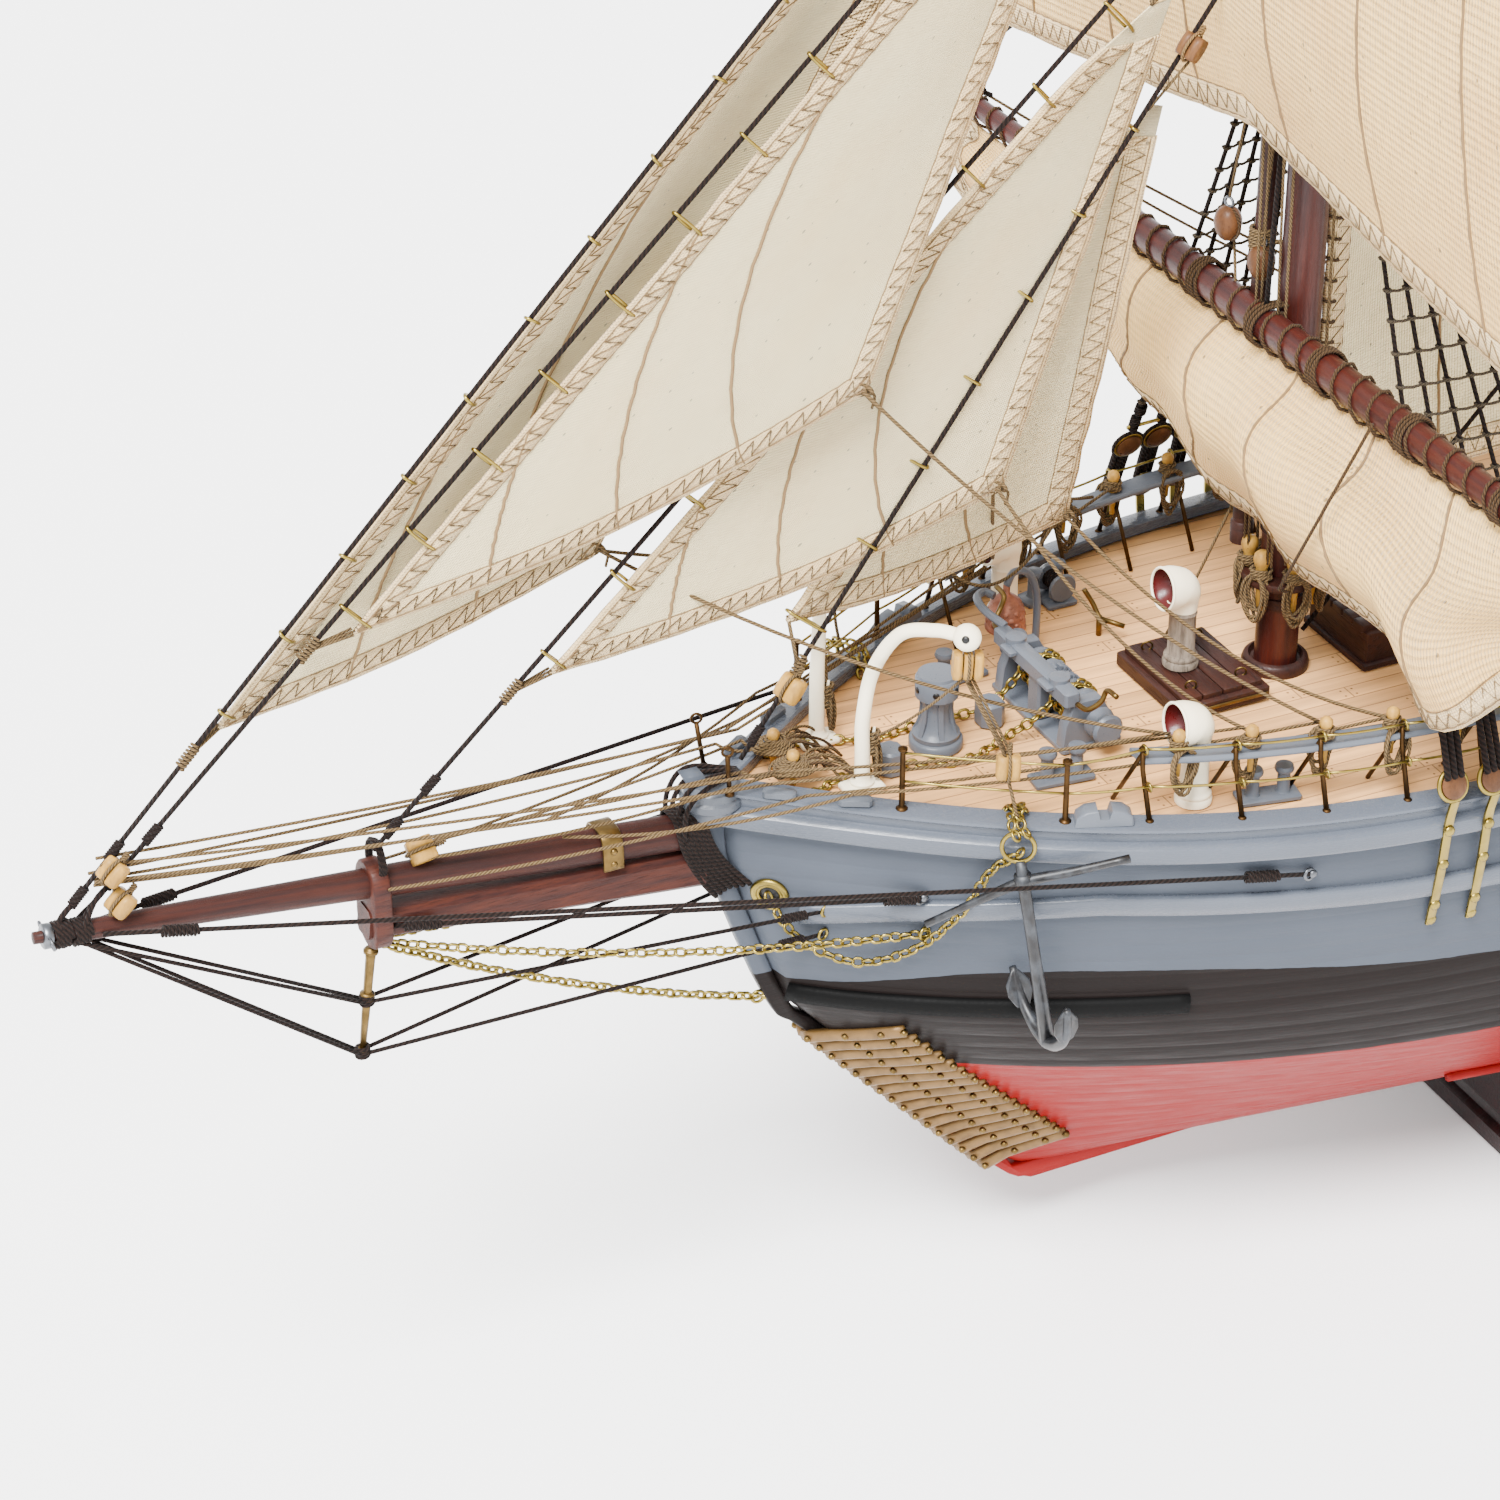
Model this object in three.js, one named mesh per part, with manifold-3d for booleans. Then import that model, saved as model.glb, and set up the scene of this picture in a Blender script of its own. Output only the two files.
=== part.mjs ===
// Display model of a three-masted auxiliary sailing ship, planked on bulkheads, on a wooden stand.
// Millimetres. -X is the bow, +X the stern, -Y port, +Y starboard, +Z up.
// The origin is the middle of the stand board's underside, below the middle of the hull.
import * as THREE from 'three';
import Module from 'manifold-3d';
import { mergeVertices } from 'three/addons/utils/BufferGeometryUtils.js';

const wasm = await Module();
wasm.setup();

// ---------------------------------------------------------------- driving dimensions
const GAP = 0.35; // clearance between touching pieces
const BOARD = { x0: -138, x1: 150, halfWidth: 62, thick: 8 };
const KEEL_BOTTOM = 16;
const KEEL_TOP = 19.4;
const DECK_EDGE = 123.6; // nominal height of the top plank edge, before sheer
const DECK_THICK = 2;
const BEAM = 128;
const STEM_WIDTH = 3.5;
const STEM_DEPTH = 2.7;
const STERN_POST_X = 255;
const TAFFRAIL_X = 290;
const PLANK_THICK = 2.2;
const FALSE_KEEL = { x0: -232, x1: 204, z0: 27, z1: 60, thick: 3 };
const SPAR_TILT_START = { x: -316.8, z: 115.4 };
const BOWSPRIT_END = { x: -387, z: 122.3 };
const JIB_BOOM_HEEL = { x: -322.2, z: 123.4 };
const JIB_BOOM_TIP = { x: -451, z: 137.3 };
const CAP_X = -384.5;
const FORE = { x: -190.5, top: 308, radius: 4.3 };
const MAIN = { x: -20, top: 318, radius: 4.5 };
const MIZZEN = { x: 146, top: 282, radius: 3.9 };
const FORE_YARD = { z: 203, half: 135, radius: 3.3 };
const TOPSAIL_YARD = { z: 322, half: 105, radius: 2.6 };
const TOPGALLANT_YARD = { z: 412, half: 75, radius: 2 };
const SAIL_THICK = 0.9;
const ANCHOR_RING = { x: -270.6, y: 38.6, z: 126.8 };
const ANCHOR_TURN = 0.56; // the stock lies along the bow planking
const ANCHOR_RAKE = 0.165;
const ANCHOR_LEAN = 0.06; // the lower fluke keeps the crown off the planking
const HOOD_HEIGHT = 17; // a cowl vent's hood centre above its foot
const MAST_TAPER = 0.82;
const HOUNDS_TAPER = 0.93; // mast radius at the lower yard, as a part of the radius at the deck
const LEAD = { foreTop: 6.5, foreTopgallant: 11.5, main: 6.6, mizzen: 6 }; // ahead of the lower mast

// ---------------------------------------------------------------- finishes
const finish = (color, roughness, metalness) =>
  () => new THREE.MeshStandardMaterial({ color, roughness, metalness });
const hullPaint = finish(0x8e98a3, 0.42, 0);
const stemPaint = finish(0x7e8793, 0.42, 0);
const fittingPaint = finish(0x8b93a3, 0.45, 0);
const deckWood = finish(0xe9c9a6, 0.6, 0);
const plywood = finish(0xd0ab7c, 0.75, 0);
const mahogany = finish(0x6e2f20, 0.45, 0);
const boxwood = finish(0xd9b676, 0.5, 0);
const brass = finish(0xb08a3e, 0.32, 0.9);
const copper = finish(0xb5694a, 0.5, 0.8);
const whitePaint = finish(0xf2f0ea, 0.35, 0);
const blackIron = finish(0x2b2c30, 0.55, 0.6);
const cream = finish(0xd9c58f, 0.5, 0);
const cotton = [0xede6d6, 0xe9e1cf, 0xe6dcc8].map((color) => finish(color, 0.92, 0));

// ---------------------------------------------------------------- small maths
const mix = (a, b, t) => a + (b - a) * t;
const clamp01 = (t) => Math.min(1, Math.max(0, t));
const vec = (x, y, z) => new THREE.Vector3(x, y, z);
const range = (count) => Array.from({ length: count }, (_, i) => i);

// Straight-line interpolation in a short list of [input, output] pairs.
function along(pairs, value) {
  const last = pairs[pairs.length - 1];
  if (value <= pairs[0][0]) return pairs[0][1];
  for (let i = 1; i < pairs.length; i++) {
    const [a, b] = [pairs[i - 1], pairs[i]];
    if (value <= b[0]) return mix(a[1], b[1], (value - a[0]) / (b[0] - a[0]));
  }
  return last[1];
}

// ---------------------------------------------------------------- mesh building
function geometryOf(triangles) {
  const volume = triangles.reduce((sum, [a, b, c]) => sum + a.dot(b.clone().cross(c)), 0);
  const points = triangles.flatMap(([a, b, c]) => (volume < 0 ? [a, c, b] : [a, b, c]));
  return mergeVertices(new THREE.BufferGeometry().setFromPoints(points), 1e-4);
}

// Skins a list of rings of equal length. The end caps run across each ring like a zip.
function loft(rings, closed = false) {
  const triangles = [];
  const same = (p, q) => p.distanceToSquared(q) < 1e-8;
  const quad = (a, b, c, d) => {
    if (!same(a, b) && !same(b, c) && !same(a, c)) triangles.push([a, b, c]);
    if (!same(a, c) && !same(c, d) && !same(a, d)) triangles.push([a, c, d]);
  };
  const n = rings[0].length;
  const spans = closed ? rings.length : rings.length - 1;
  for (let k = 0; k < spans; k++) {
    const [low, high] = [rings[k], rings[(k + 1) % rings.length]];
    for (let i = 0; i < n; i++) quad(low[i], low[(i + 1) % n], high[(i + 1) % n], high[i]);
  }
  if (!closed) {
    const [first, last] = [rings[0], rings[rings.length - 1]];
    for (let i = 0; i < n / 2 - 1; i++) {
      quad(first[n - 1 - i], first[n - 2 - i], first[i + 1], first[i]);
      quad(last[i], last[i + 1], last[n - 2 - i], last[n - 1 - i]);
    }
  }
  return geometryOf(triangles);
}

function solid(geometry) {
  const bare = geometry.clone();
  for (const name of ['normal', 'uv', 'uv1']) bare.deleteAttribute(name);
  const merged = mergeVertices(bare, 1e-4);
  const mesh = new wasm.Mesh({
    numProp: 3,
    vertProperties: new Float32Array(merged.attributes.position.array),
    triVerts: new Uint32Array(merged.index.array),
  });
  return new wasm.Manifold(mesh);
}

function unsolid(manifold) {
  const mesh = manifold.getMesh();
  const geometry = new THREE.BufferGeometry();
  geometry.setAttribute('position', new THREE.BufferAttribute(mesh.vertProperties, 3));
  geometry.setIndex(new THREE.BufferAttribute(mesh.triVerts, 1));
  return geometry;
}

const join = (...pieces) => unsolid(pieces.map(solid).reduce((all, piece) => all.add(piece)));
const cut = (body, ...tools) =>
  unsolid(tools.map(solid).reduce((rest, tool) => rest.subtract(tool), solid(body)));

const box = (x0, x1, y0, y1, z0, z1) =>
  new THREE.BoxGeometry(x1 - x0, y1 - y0, z1 - z0)
    .translate((x0 + x1) / 2, (y0 + y1) / 2, (z0 + z1) / 2);
const upright = (geometry) => geometry.rotateX(Math.PI / 2);
// Turned piece about Z: profile is a list of [radius, height].
const turned = (profile, sides = 16) =>
  upright(new THREE.LatheGeometry(profile.map(([r, z]) => new THREE.Vector2(r, z)), sides));
const post = (x, y, z0, z1, radius, sides = 12) =>
  upright(new THREE.CylinderGeometry(radius, radius, z1 - z0, sides)).translate(x, y, (z0 + z1) / 2);

// Round or square tapered spar between two points; stations are [fraction, radius].
function spar(start, end, stations, sides = 10) {
  const axis = end.clone().sub(start).normalize();
  const across = Math.abs(axis.z) < 0.9 ? vec(0, 0, 1) : vec(1, 0, 0);
  const u = across.cross(axis).normalize();
  const v = axis.clone().cross(u);
  const rings = stations.map(([t, radius]) => range(sides).map((i) => {
    const angle = ((i + 0.5) * 2 * Math.PI) / sides;
    return start.clone().lerp(end, t)
      .addScaledVector(u, radius * Math.cos(angle))
      .addScaledVector(v, radius * Math.sin(angle));
  }));
  return loft(rings);
}

// Round bar swept along a smooth curve.
function bar(points, radius, steps = 12, sides = 8) {
  const section = new THREE.Shape(range(sides).map((i) => {
    const angle = (i * 2 * Math.PI) / sides;
    return new THREE.Vector2(radius * Math.cos(angle), radius * Math.sin(angle));
  }));
  const extrudePath = new THREE.CatmullRomCurve3(points);
  return new THREE.ExtrudeGeometry(section, { steps, extrudePath, bevelEnabled: false });
}

// Flat plate whose outline is in the X-Z plane, centred on Y = 0.
function sidePlate(outline, thick) {
  const shape = new THREE.Shape(outline.map(([x, z]) => new THREE.Vector2(x, z)));
  return new THREE.ExtrudeGeometry(shape, { depth: thick, bevelEnabled: false })
    .translate(0, 0, -thick / 2)
    .rotateX(Math.PI / 2);
}

// ---------------------------------------------------------------- hull form
const STEM_PROFILE = [
  [16, -248], [23, -258], [69, -296.5], [79, -305], [112, -316], [127, -318], [136, -322],
];
const STERN_PROFILE = [[20, 237], [60, 238], [84, 252], [94, 256], [110, 279], [124, TAFFRAIL_X]];
const stemX = (z) => along(STEM_PROFILE, z);
const sternX = (z) => along(STERN_PROFILE, z);

function bodyBreadth(z) {
  const w = clamp01((z - 18.2) / 107);
  return (BEAM / 2 - 0.5) * (1 - (1 - w) ** 3.2) ** 0.45;
}

const bowLength = (z) => along([[20, 329], [63, 200], [90, 210], [125, 190]], z);
const sternLength = (z) => along([[20, 300], [60, 250], [90, 150], [125, 105]], z);

function halfBreadth(x, z) {
  const flare = clamp01((z - 90) / 35);
  const tBow = clamp01((x - stemX(z)) / bowLength(z));
  const bow = (1 - (1 - tBow) ** mix(2.4, 3, flare)) ** mix(0.85, 1.15, flare);
  const tStern = clamp01((sternX(z) - x) / sternLength(z));
  const fullness = clamp01((z - 70) / 45);
  const stern = (1 - (1 - tStern) ** 2.3) ** mix(1.15, 0.6, fullness);
  return bodyBreadth(z) * bow * stern;
}

// Height of the deck's top surface: nearly level amidships, rising to the bow and the stern.
function deckTop(x) {
  const forward = Math.max(0, -x - 150) / 168;
  const aft = Math.max(0, x - 20) / 270;
  return 125.6 + 4.2 * forward ** 2 + 5.5 * aft ** 2;
}

// Stations from stem (0) to stern (1), closer together where the waterlines turn.
const STATIONS = range(23).map((i) => {
  const t = i / 22;
  return mix(t, (1 - Math.cos(Math.PI * t)) / 2, 0.75);
});

function waterline(w, inset, rise) {
  const nominal = mix(KEEL_TOP + GAP + inset, DECK_EDGE, w);
  const shape = nominal - inset;
  const x0 = stemX(shape) + STEM_DEPTH + GAP + 1.6 * inset;
  const x1 = sternX(shape) - 1.4 * inset;
  const side = (sign) => STATIONS.map((s) => {
    const x = mix(x0, x1, s);
    const tip = s === 0 || s === 1;
    const y = tip ? 0 : Math.max(0.3, halfBreadth(x, shape) - inset);
    const sheer = deckTop(x) - DECK_THICK - GAP - DECK_EDGE;
    return vec(x, sign * y, nominal + sheer * w ** 3 + rise * w ** 3);
  });
  return [...side(-1), ...side(1).reverse()];
}

const HULL_LEVELS = [0, 0.03, 0.09, 0.18, 0.3, 0.45, 0.62, 0.8, 1];
const INNER_LEVELS = [0, 0.05, 0.15, 0.35, 0.65, 1];
const CAVITY_RISE = 8; // the cavity runs out through the top of the shell
const hullBody = (inset, levels, rise = 0) =>
  loft(levels.map((w) => waterline(w, inset, rise)));

// Deck outline as plan points with outward normals, once round from the stem.
function deckOutline() {
  const ring = waterline(1, 0, 0);
  const points = ring.filter((p, i) => i === 0 || p.distanceTo(ring[i - 1]) > 1e-6).slice(0, -1);
  return points.map((p, i) => {
    const before = points[(i + points.length - 1) % points.length];
    const after = points[(i + 1) % points.length];
    const a = vec(p.y - before.y, before.x - p.x, 0).normalize();
    const b = vec(after.y - p.y, p.x - after.x, 0).normalize();
    const out = a.clone().add(b).normalize();
    out.multiplyScalar(Math.min(1.7, 1 / Math.max(0.2, out.dot(a))));
    return { x: p.x, y: p.y, out };
  });
}

// ---------------------------------------------------------------- scene helpers
const model = new THREE.Group();
model.name = 'sailing_ship_model';

function add(name, geometry, material) {
  const mesh = new THREE.Mesh(geometry, material());
  mesh.name = name;
  model.add(mesh);
  return mesh;
}

const SIDES = [['port', -1], ['starboard', 1]];

// ---------------------------------------------------------------- stand
function addStand() {
  const { x0, x1, halfWidth, thick } = BOARD;
  add('stand_base', box(x0, x1, -halfWidth, halfWidth, 0, thick), mahogany);
  const hullForm = hullBody(-GAP, HULL_LEVELS);
  const slotHalf = STEM_WIDTH / 2 + GAP;
  const keelSlot = box(-400, 400, -slotHalf, slotHalf, KEEL_BOTTOM - GAP, 40);
  const outline = [
    [-52, thick], [52, thick], [52, 14], [47, 56], [39, 60], [-39, 60], [-47, 56], [-52, 14],
  ];
  for (const [name, x] of [['stand_cradle_fore', -132], ['stand_cradle_aft', 128]]) {
    const shape = new THREE.Shape(outline.map(([y, z]) => new THREE.Vector2(y, z + GAP)));
    const blank = new THREE.ExtrudeGeometry(shape, { depth: 9, bevelEnabled: false });
    blank.rotateX(Math.PI / 2).rotateZ(Math.PI / 2).translate(x - 4.5, 0, 0);
    const cradle = unsolid(solid(blank).subtract(solid(hullForm)).subtract(solid(keelSlot)));
    add(name, cradle, mahogany);
  }
}

// ---------------------------------------------------------------- hull
const MASTS = [FORE, MAIN, MIZZEN];

function addHull() {
  const shell = cut(hullBody(0, HULL_LEVELS), hullBody(PLANK_THICK, INNER_LEVELS, CAVITY_RISE));
  add('hull_planking', shell, hullPaint);

  const stemFace = STEM_PROFILE.map(([z, x]) => [x, z]);
  const stemBack = STEM_PROFILE.filter(([z]) => z > KEEL_TOP)
    .map(([z, x]) => [x + STEM_DEPTH, z]).reverse();
  const postBack = STERN_POST_X + 1.5;
  const outline = [
    ...stemFace, [-315.5, 137], ...stemBack.slice(1), [-251.5, KEEL_TOP], [250.8, KEEL_TOP],
    [250.8, 80], [postBack - 0.6, 90], [postBack, 82], [postBack, KEEL_BOTTOM],
  ];
  const backbone = cut(sidePlate(outline, STEM_WIDTH), hullBody(-GAP, HULL_LEVELS));
  add('keel_and_stem', largest(backbone), stemPaint);

  const { x0, x1, z0, z1, thick } = FALSE_KEEL;
  add('false_keel', box(x0, x1, -thick / 2, thick / 2, z0, z1), plywood);
  const slot = solid(box(-300, 300, -thick / 2 - GAP, thick / 2 + GAP, 0, z1 + GAP));
  const cavity = solid(hullBody(PLANK_THICK + 2 * GAP, INNER_LEVELS, CAVITY_RISE));
  const bulkheads = [['bulkhead_fore', -110], ['bulkhead_midship', 60], ['bulkhead_aft', 165]];
  for (const [name, x] of bulkheads) {
    const slab = box(x - 2, x + 2, -80, 80, 0, deckTop(x) - DECK_THICK - 2 * GAP);
    add(name, unsolid(cavity.intersect(solid(slab)).subtract(slot)), plywood);
  }

  const level = (dz) => waterline(1, 0, 0).map((p) => vec(p.x, p.y, deckTop(p.x) + dz));
  const holes = MASTS.map(({ x, radius }) => post(x, 0, 100, 150, radius + GAP, 16));
  add('main_deck', cut(loft([level(-DECK_THICK), level(0)]), ...holes), deckWood);
}

// Keeps the largest of the separate bodies that a cut leaves.
function largest(geometry) {
  const bodies = solid(geometry).decompose();
  return unsolid(bodies.reduce((best, body) => (body.volume() > best.volume() ? body : best)));
}

// Cap strip on the deck edge with a moulding below it, one strip on each side of the ship.
const RAIL_SECTION = [
  [-3.4, GAP], [-3.4, 2.6], [0.9, 1.7], [1, -1], [2.6, -1.5], [2.6, -4.6], [0.45, -5.1], [0.45, GAP],
];

function addRails() {
  const outline = deckOutline();
  const ring = ({ x, y, out }) => RAIL_SECTION.map(([offset, height]) =>
    vec(x + out.x * offset, y + out.y * offset, deckTop(x) + height));
  const stemSlot = box(-340, -314.4, -STEM_WIDTH / 2 - GAP, STEM_WIDTH / 2 + GAP, 90, 150);
  const band = cut(loft(outline.map(ring), true), stemSlot);
  for (const [side, sign] of SIDES) {
    const keep = box(-400, 400, sign > 0 ? 0.2 : -200, sign > 0 ? 200 : -0.2, 0, 300);
    const strip = unsolid(solid(band).intersect(solid(keep)));
    add(`cap_rail_${side}`, strip, hullPaint);
  }
  const pinBoard = { x0: -246, x1: -150, bays: 6, inset: 7.4, z: 140 };
  const run = range(pinBoard.bays + 1).map((i) => {
    const x = mix(pinBoard.x0, pinBoard.x1, i / pinBoard.bays);
    return { x, y: halfBreadth(x, DECK_EDGE) - pinBoard.inset };
  });
  for (const [side, sign] of SIDES) {
    const rings = run.map(({ x, y }) => [[-1.8, 0], [-1.8, 1.4], [1.8, 1.4], [1.8, 0]]
      .map(([dy, dz]) => vec(x, sign * (y + dy), pinBoard.z + dz)));
    const legs = run.slice(1, -1).filter((_, i) => i % 2 === 0)
      .map(({ x, y }) => post(x, sign * y, deckTop(x) + GAP, pinBoard.z + 0.5, 0.6, 6));
    add(`pin_rail_${side}`, join(loft(rings), ...legs), fittingPaint);
  }
}

// Metal plating wrapped round the forefoot, one ring of half-round strips above another.
function addIceSheathing() {
  const bottom = { x: -258, z: 23 };
  const top = { x: -296.5, z: 69.3 };
  const count = 9;
  const rings = range(count).map((i) => {
    const t = i / (count - 1);
    const z = mix(bottom.z, top.z, t);
    const reach = mix(15, 21, t);
    const at = (offset, sign) => {
      const x = stemX(z) + reach;
      const zAft = z + 7.5 - 1.5 * t;
      return vec(x, sign * (halfBreadth(x, zAft) + offset), zAft);
    };
    const mid = (offset, sign) => {
      const x = stemX(z) + reach * 0.45;
      const zMid = z + 3.4;
      return vec(x, sign * (Math.max(STEM_WIDTH / 2, halfBreadth(x, zMid)) + offset), zMid);
    };
    const nose = (offset) => vec(stemX(z) - offset, 0, z);
    const corner = (offset, sign) =>
      vec(stemX(z) - offset * 0.5, sign * (STEM_WIDTH / 2 + offset * 0.6), z + 0.2);
    const skin = (offset) => [
      at(offset, -1), mid(offset, -1), corner(offset, -1), nose(offset),
      corner(offset, 1), mid(offset, 1), at(offset, 1),
    ];
    return [...skin(2), ...skin(0.6).reverse()];
  });
  const guard = [hullBody(-GAP, HULL_LEVELS), sidePlate(stemGuardOutline(), STEM_WIDTH + 2 * GAP)];
  add('ice_sheathing', largest(cut(loft(rings), ...guard)), brass);
}

// The stem's side outline with its clearance, for cutting the sheathing clear of it.
const stemGuardOutline = () => [
  ...STEM_PROFILE.map(([z, x]) => [x - GAP, z]), [-280, 136], [-200, KEEL_BOTTOM],
  [-200, KEEL_BOTTOM - GAP], [-248, KEEL_BOTTOM - GAP],
];

function addStern() {
  const hinge = STERN_POST_X + 3.6;
  const blade = sidePlate([[0, 17], [15, 18.5], [16.5, 40], [14, 66], [6, 84], [0, 86]], 3)
    .translate(hinge, 0, 0);
  add('rudder', join(blade, post(hinge, 0, 17, 87, 1.6)), stemPaint);

  const hub = new THREE.CylinderGeometry(2.6, 1.6, 8, 12).rotateZ(Math.PI / 2).translate(244.5, 0, 42);
  const blades = range(4).map((i) => {
    const outline = [[-1.4, 1], [-3.4, 6], [-3, 11], [0, 12.5], [3, 11], [3.4, 6], [1.4, 1]];
    const shape = new THREE.Shape(outline.map(([u, v]) => new THREE.Vector2(u, v)));
    return new THREE.ExtrudeGeometry(shape, { depth: 0.9, bevelEnabled: false })
      .translate(0, 0, -0.45).rotateX(Math.PI / 2).rotateZ(0.9)
      .rotateX((i * Math.PI) / 2).translate(244.5, 0, 42);
  });
  add('propeller', join(hub, ...blades), brass);
}

// ---------------------------------------------------------------- deck fittings
function addForedeck() {
  const onDeck = (x) => deckTop(x) + GAP;
  const capstanX = -267.5;
  const capstan = turned([
    [0, 0], [4.75, 0], [4.75, 1.6], [4, 2.4], [3.6, 5], [2.5, 7.5], [2.4, 11], [3.5, 12.2],
    [3.5, 15.4], [0, 16],
  ], 12);
  add('capstan', capstan.translate(capstanX, 0, onDeck(capstanX)), fittingPaint);

  const windlass = { x: -240, z: onDeck(-240) };
  const cheek = (y) =>
    box(windlass.x - 7, windlass.x + 6, y - 1.4, y + 1.4, windlass.z, windlass.z + 11);
  const bitt = box(windlass.x - 7, windlass.x - 3.5, -14, 15, windlass.z + 10.4, windlass.z + 14);
  const bore = new THREE.CylinderGeometry(1.5, 1.5, 60, 12).translate(windlass.x, 0, windlass.z + 6.5);
  const sill = box(windlass.x - 7, windlass.x + 6, -14, 15, windlass.z, windlass.z + 1.4);
  const frame = cut(join(cheek(-12), cheek(12.6), bitt, sill), bore);
  add('windlass_frame', frame, fittingPaint);
  const barrelProfile = [
    [0, -19], [3.4, -19], [3.4, -15], [1.15, -14.4], [1.15, -10], [4, -9.6], [4, -4], [3, -3],
    [3, 3], [4, 4], [4, 9.6], [1.15, 10.2], [1.15, 15.2], [3.4, 15.8], [3.4, 19], [0, 19],
  ];
  const barrel = new THREE.LatheGeometry(barrelProfile.map(([r, y]) => new THREE.Vector2(r, y)), 10)
    .translate(windlass.x, 0, windlass.z + 6.5);
  add('windlass_barrel', barrel, fittingPaint);

  const bell = { x: -239, y: 24 };
  const gallows = [vec(7, 0, 0), vec(7, 0, 12), vec(5, 0, 18), vec(1.6, 0, 19.2), vec(0, 0, 16)];
  const bellCup = turned([[0, 5], [4.4, 5], [4, 8], [2.6, 13], [1.2, 15.4], [0, 16.8]], 12);
  const bellGear = join(bar(gallows, 0.8, 8, 6), bellCup);
  add('ship_bell', bellGear.translate(bell.x, bell.y, onDeck(bell.x)), copper);

  const hatch = { x0: -220, x1: -199.4, half: 12.5 };
  const hatchZ = deckTop(hatch.x0) + GAP;
  const coaming = join(
    box(hatch.x0, hatch.x1, -hatch.half, hatch.half, hatchZ, hatchZ + 3.2),
    box(hatch.x0 + 1.2, hatch.x1 - 1.2, 1 - hatch.half, hatch.half - 1, hatchZ + 3, hatchZ + 4.4),
  );
  add('fore_hatch', coaming, mahogany);
  const vents = [
    ['centre', -212.5, 0.5, hatchZ + 4.4 + GAP], ['port', -232.5, -38.1, onDeck(-232.5)],
    ['starboard', -231, 38.8, onDeck(-231)],
  ];
  for (const [name, x, y, z] of vents) add(`cowl_vent_${name}`, cowlVent(x, y, z), whitePaint);

  for (const [side, sign] of SIDES) {
    add(`anchor_davit_${side}`, davit(sign), whitePaint);
    add(`anchor_${side}`, anchor(sign), blackIron);
  }
}

// Upright trunk with a bent hood whose round mouth faces forward.
function cowlVent(x, y, z) {
  const trunk = turned([[0, 0], [3.6, 0], [3.6, 1.8], [2.7, 2.2], [2.7, 15], [0, 15]], 10);
  const hood = new THREE.SphereGeometry(4.4, 10, 7).scale(0.95, 1, 1).translate(0, 0, HOOD_HEIGHT);
  const mouth = new THREE.CylinderGeometry(3.5, 2.4, 6, 10).rotateZ(Math.PI / 2)
    .rotateY(-0.25).translate(-4.6, 0, HOOD_HEIGHT + 1);
  return cut(join(trunk, hood), mouth).translate(x, y, z);
}

function davit(sign) {
  const z = deckTop(-288) + GAP;
  const foot = vec(-288.5, sign * 9.5, z);
  const arm = bar([
    vec(0, 0, 0.5), vec(0, 0, 14), vec(1.4, 1.6, 28), vec(4, 7, 37), vec(7.5, 14, 40.5),
    vec(10, 18.5, 41),
  ].map((p) => vec(foot.x + p.x, foot.y + sign * p.y, foot.z + p.z)), 1.35, 8, 6);
  const ball = new THREE.SphereGeometry(2.6, 8, 6)
    .translate(foot.x + 10.6, foot.y + sign * 19.5, foot.z + 41);
  const pad = box(foot.x - 4, foot.x + 4, foot.y - 2.6, foot.y + 2.6, z, z + 1.5);
  return join(arm, ball, pad);
}

// Stocked anchor hanging by its ring. The stock lies along the planking, the arms athwartships.
function anchor(sign) {
  const length = 42;
  const ring = new THREE.TorusGeometry(2.7, 0.55, 5, 12).rotateX(Math.PI / 2);
  const shank = spar(vec(0, 0, -2.4), vec(0, 0, -length), [[0, 1], [1, 1.5]], 6);
  const stock = spar(vec(-19, 0, -14), vec(20, 0, -4), [[0, 0.9], [0.5, 1.2], [1, 0.9]], 6);
  const curve = [vec(0, -10.5, 12), vec(0, -7.5, 4), vec(0, 0, 0), vec(0, 7.5, 4), vec(0, 10.5, 12)];
  const palms = [-1, 1].map((end) => new THREE.BoxGeometry(5, 1.2, 7)
    .rotateX(end * 0.25).translate(0, end * 9.4, 8));
  const arms = [bar(curve, 1.1, 8, 5), ...palms]
    .map((piece) => piece.rotateZ(-sign * ANCHOR_TURN).translate(0, 0, -length));
  return join(ring, shank, stock, ...arms)
    .rotateY(-ANCHOR_RAKE).rotateX(sign * ANCHOR_LEAN).rotateZ(sign * ANCHOR_TURN)
    .translate(ANCHOR_RING.x, sign * ANCHOR_RING.y, ANCHOR_RING.z);
}

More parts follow.
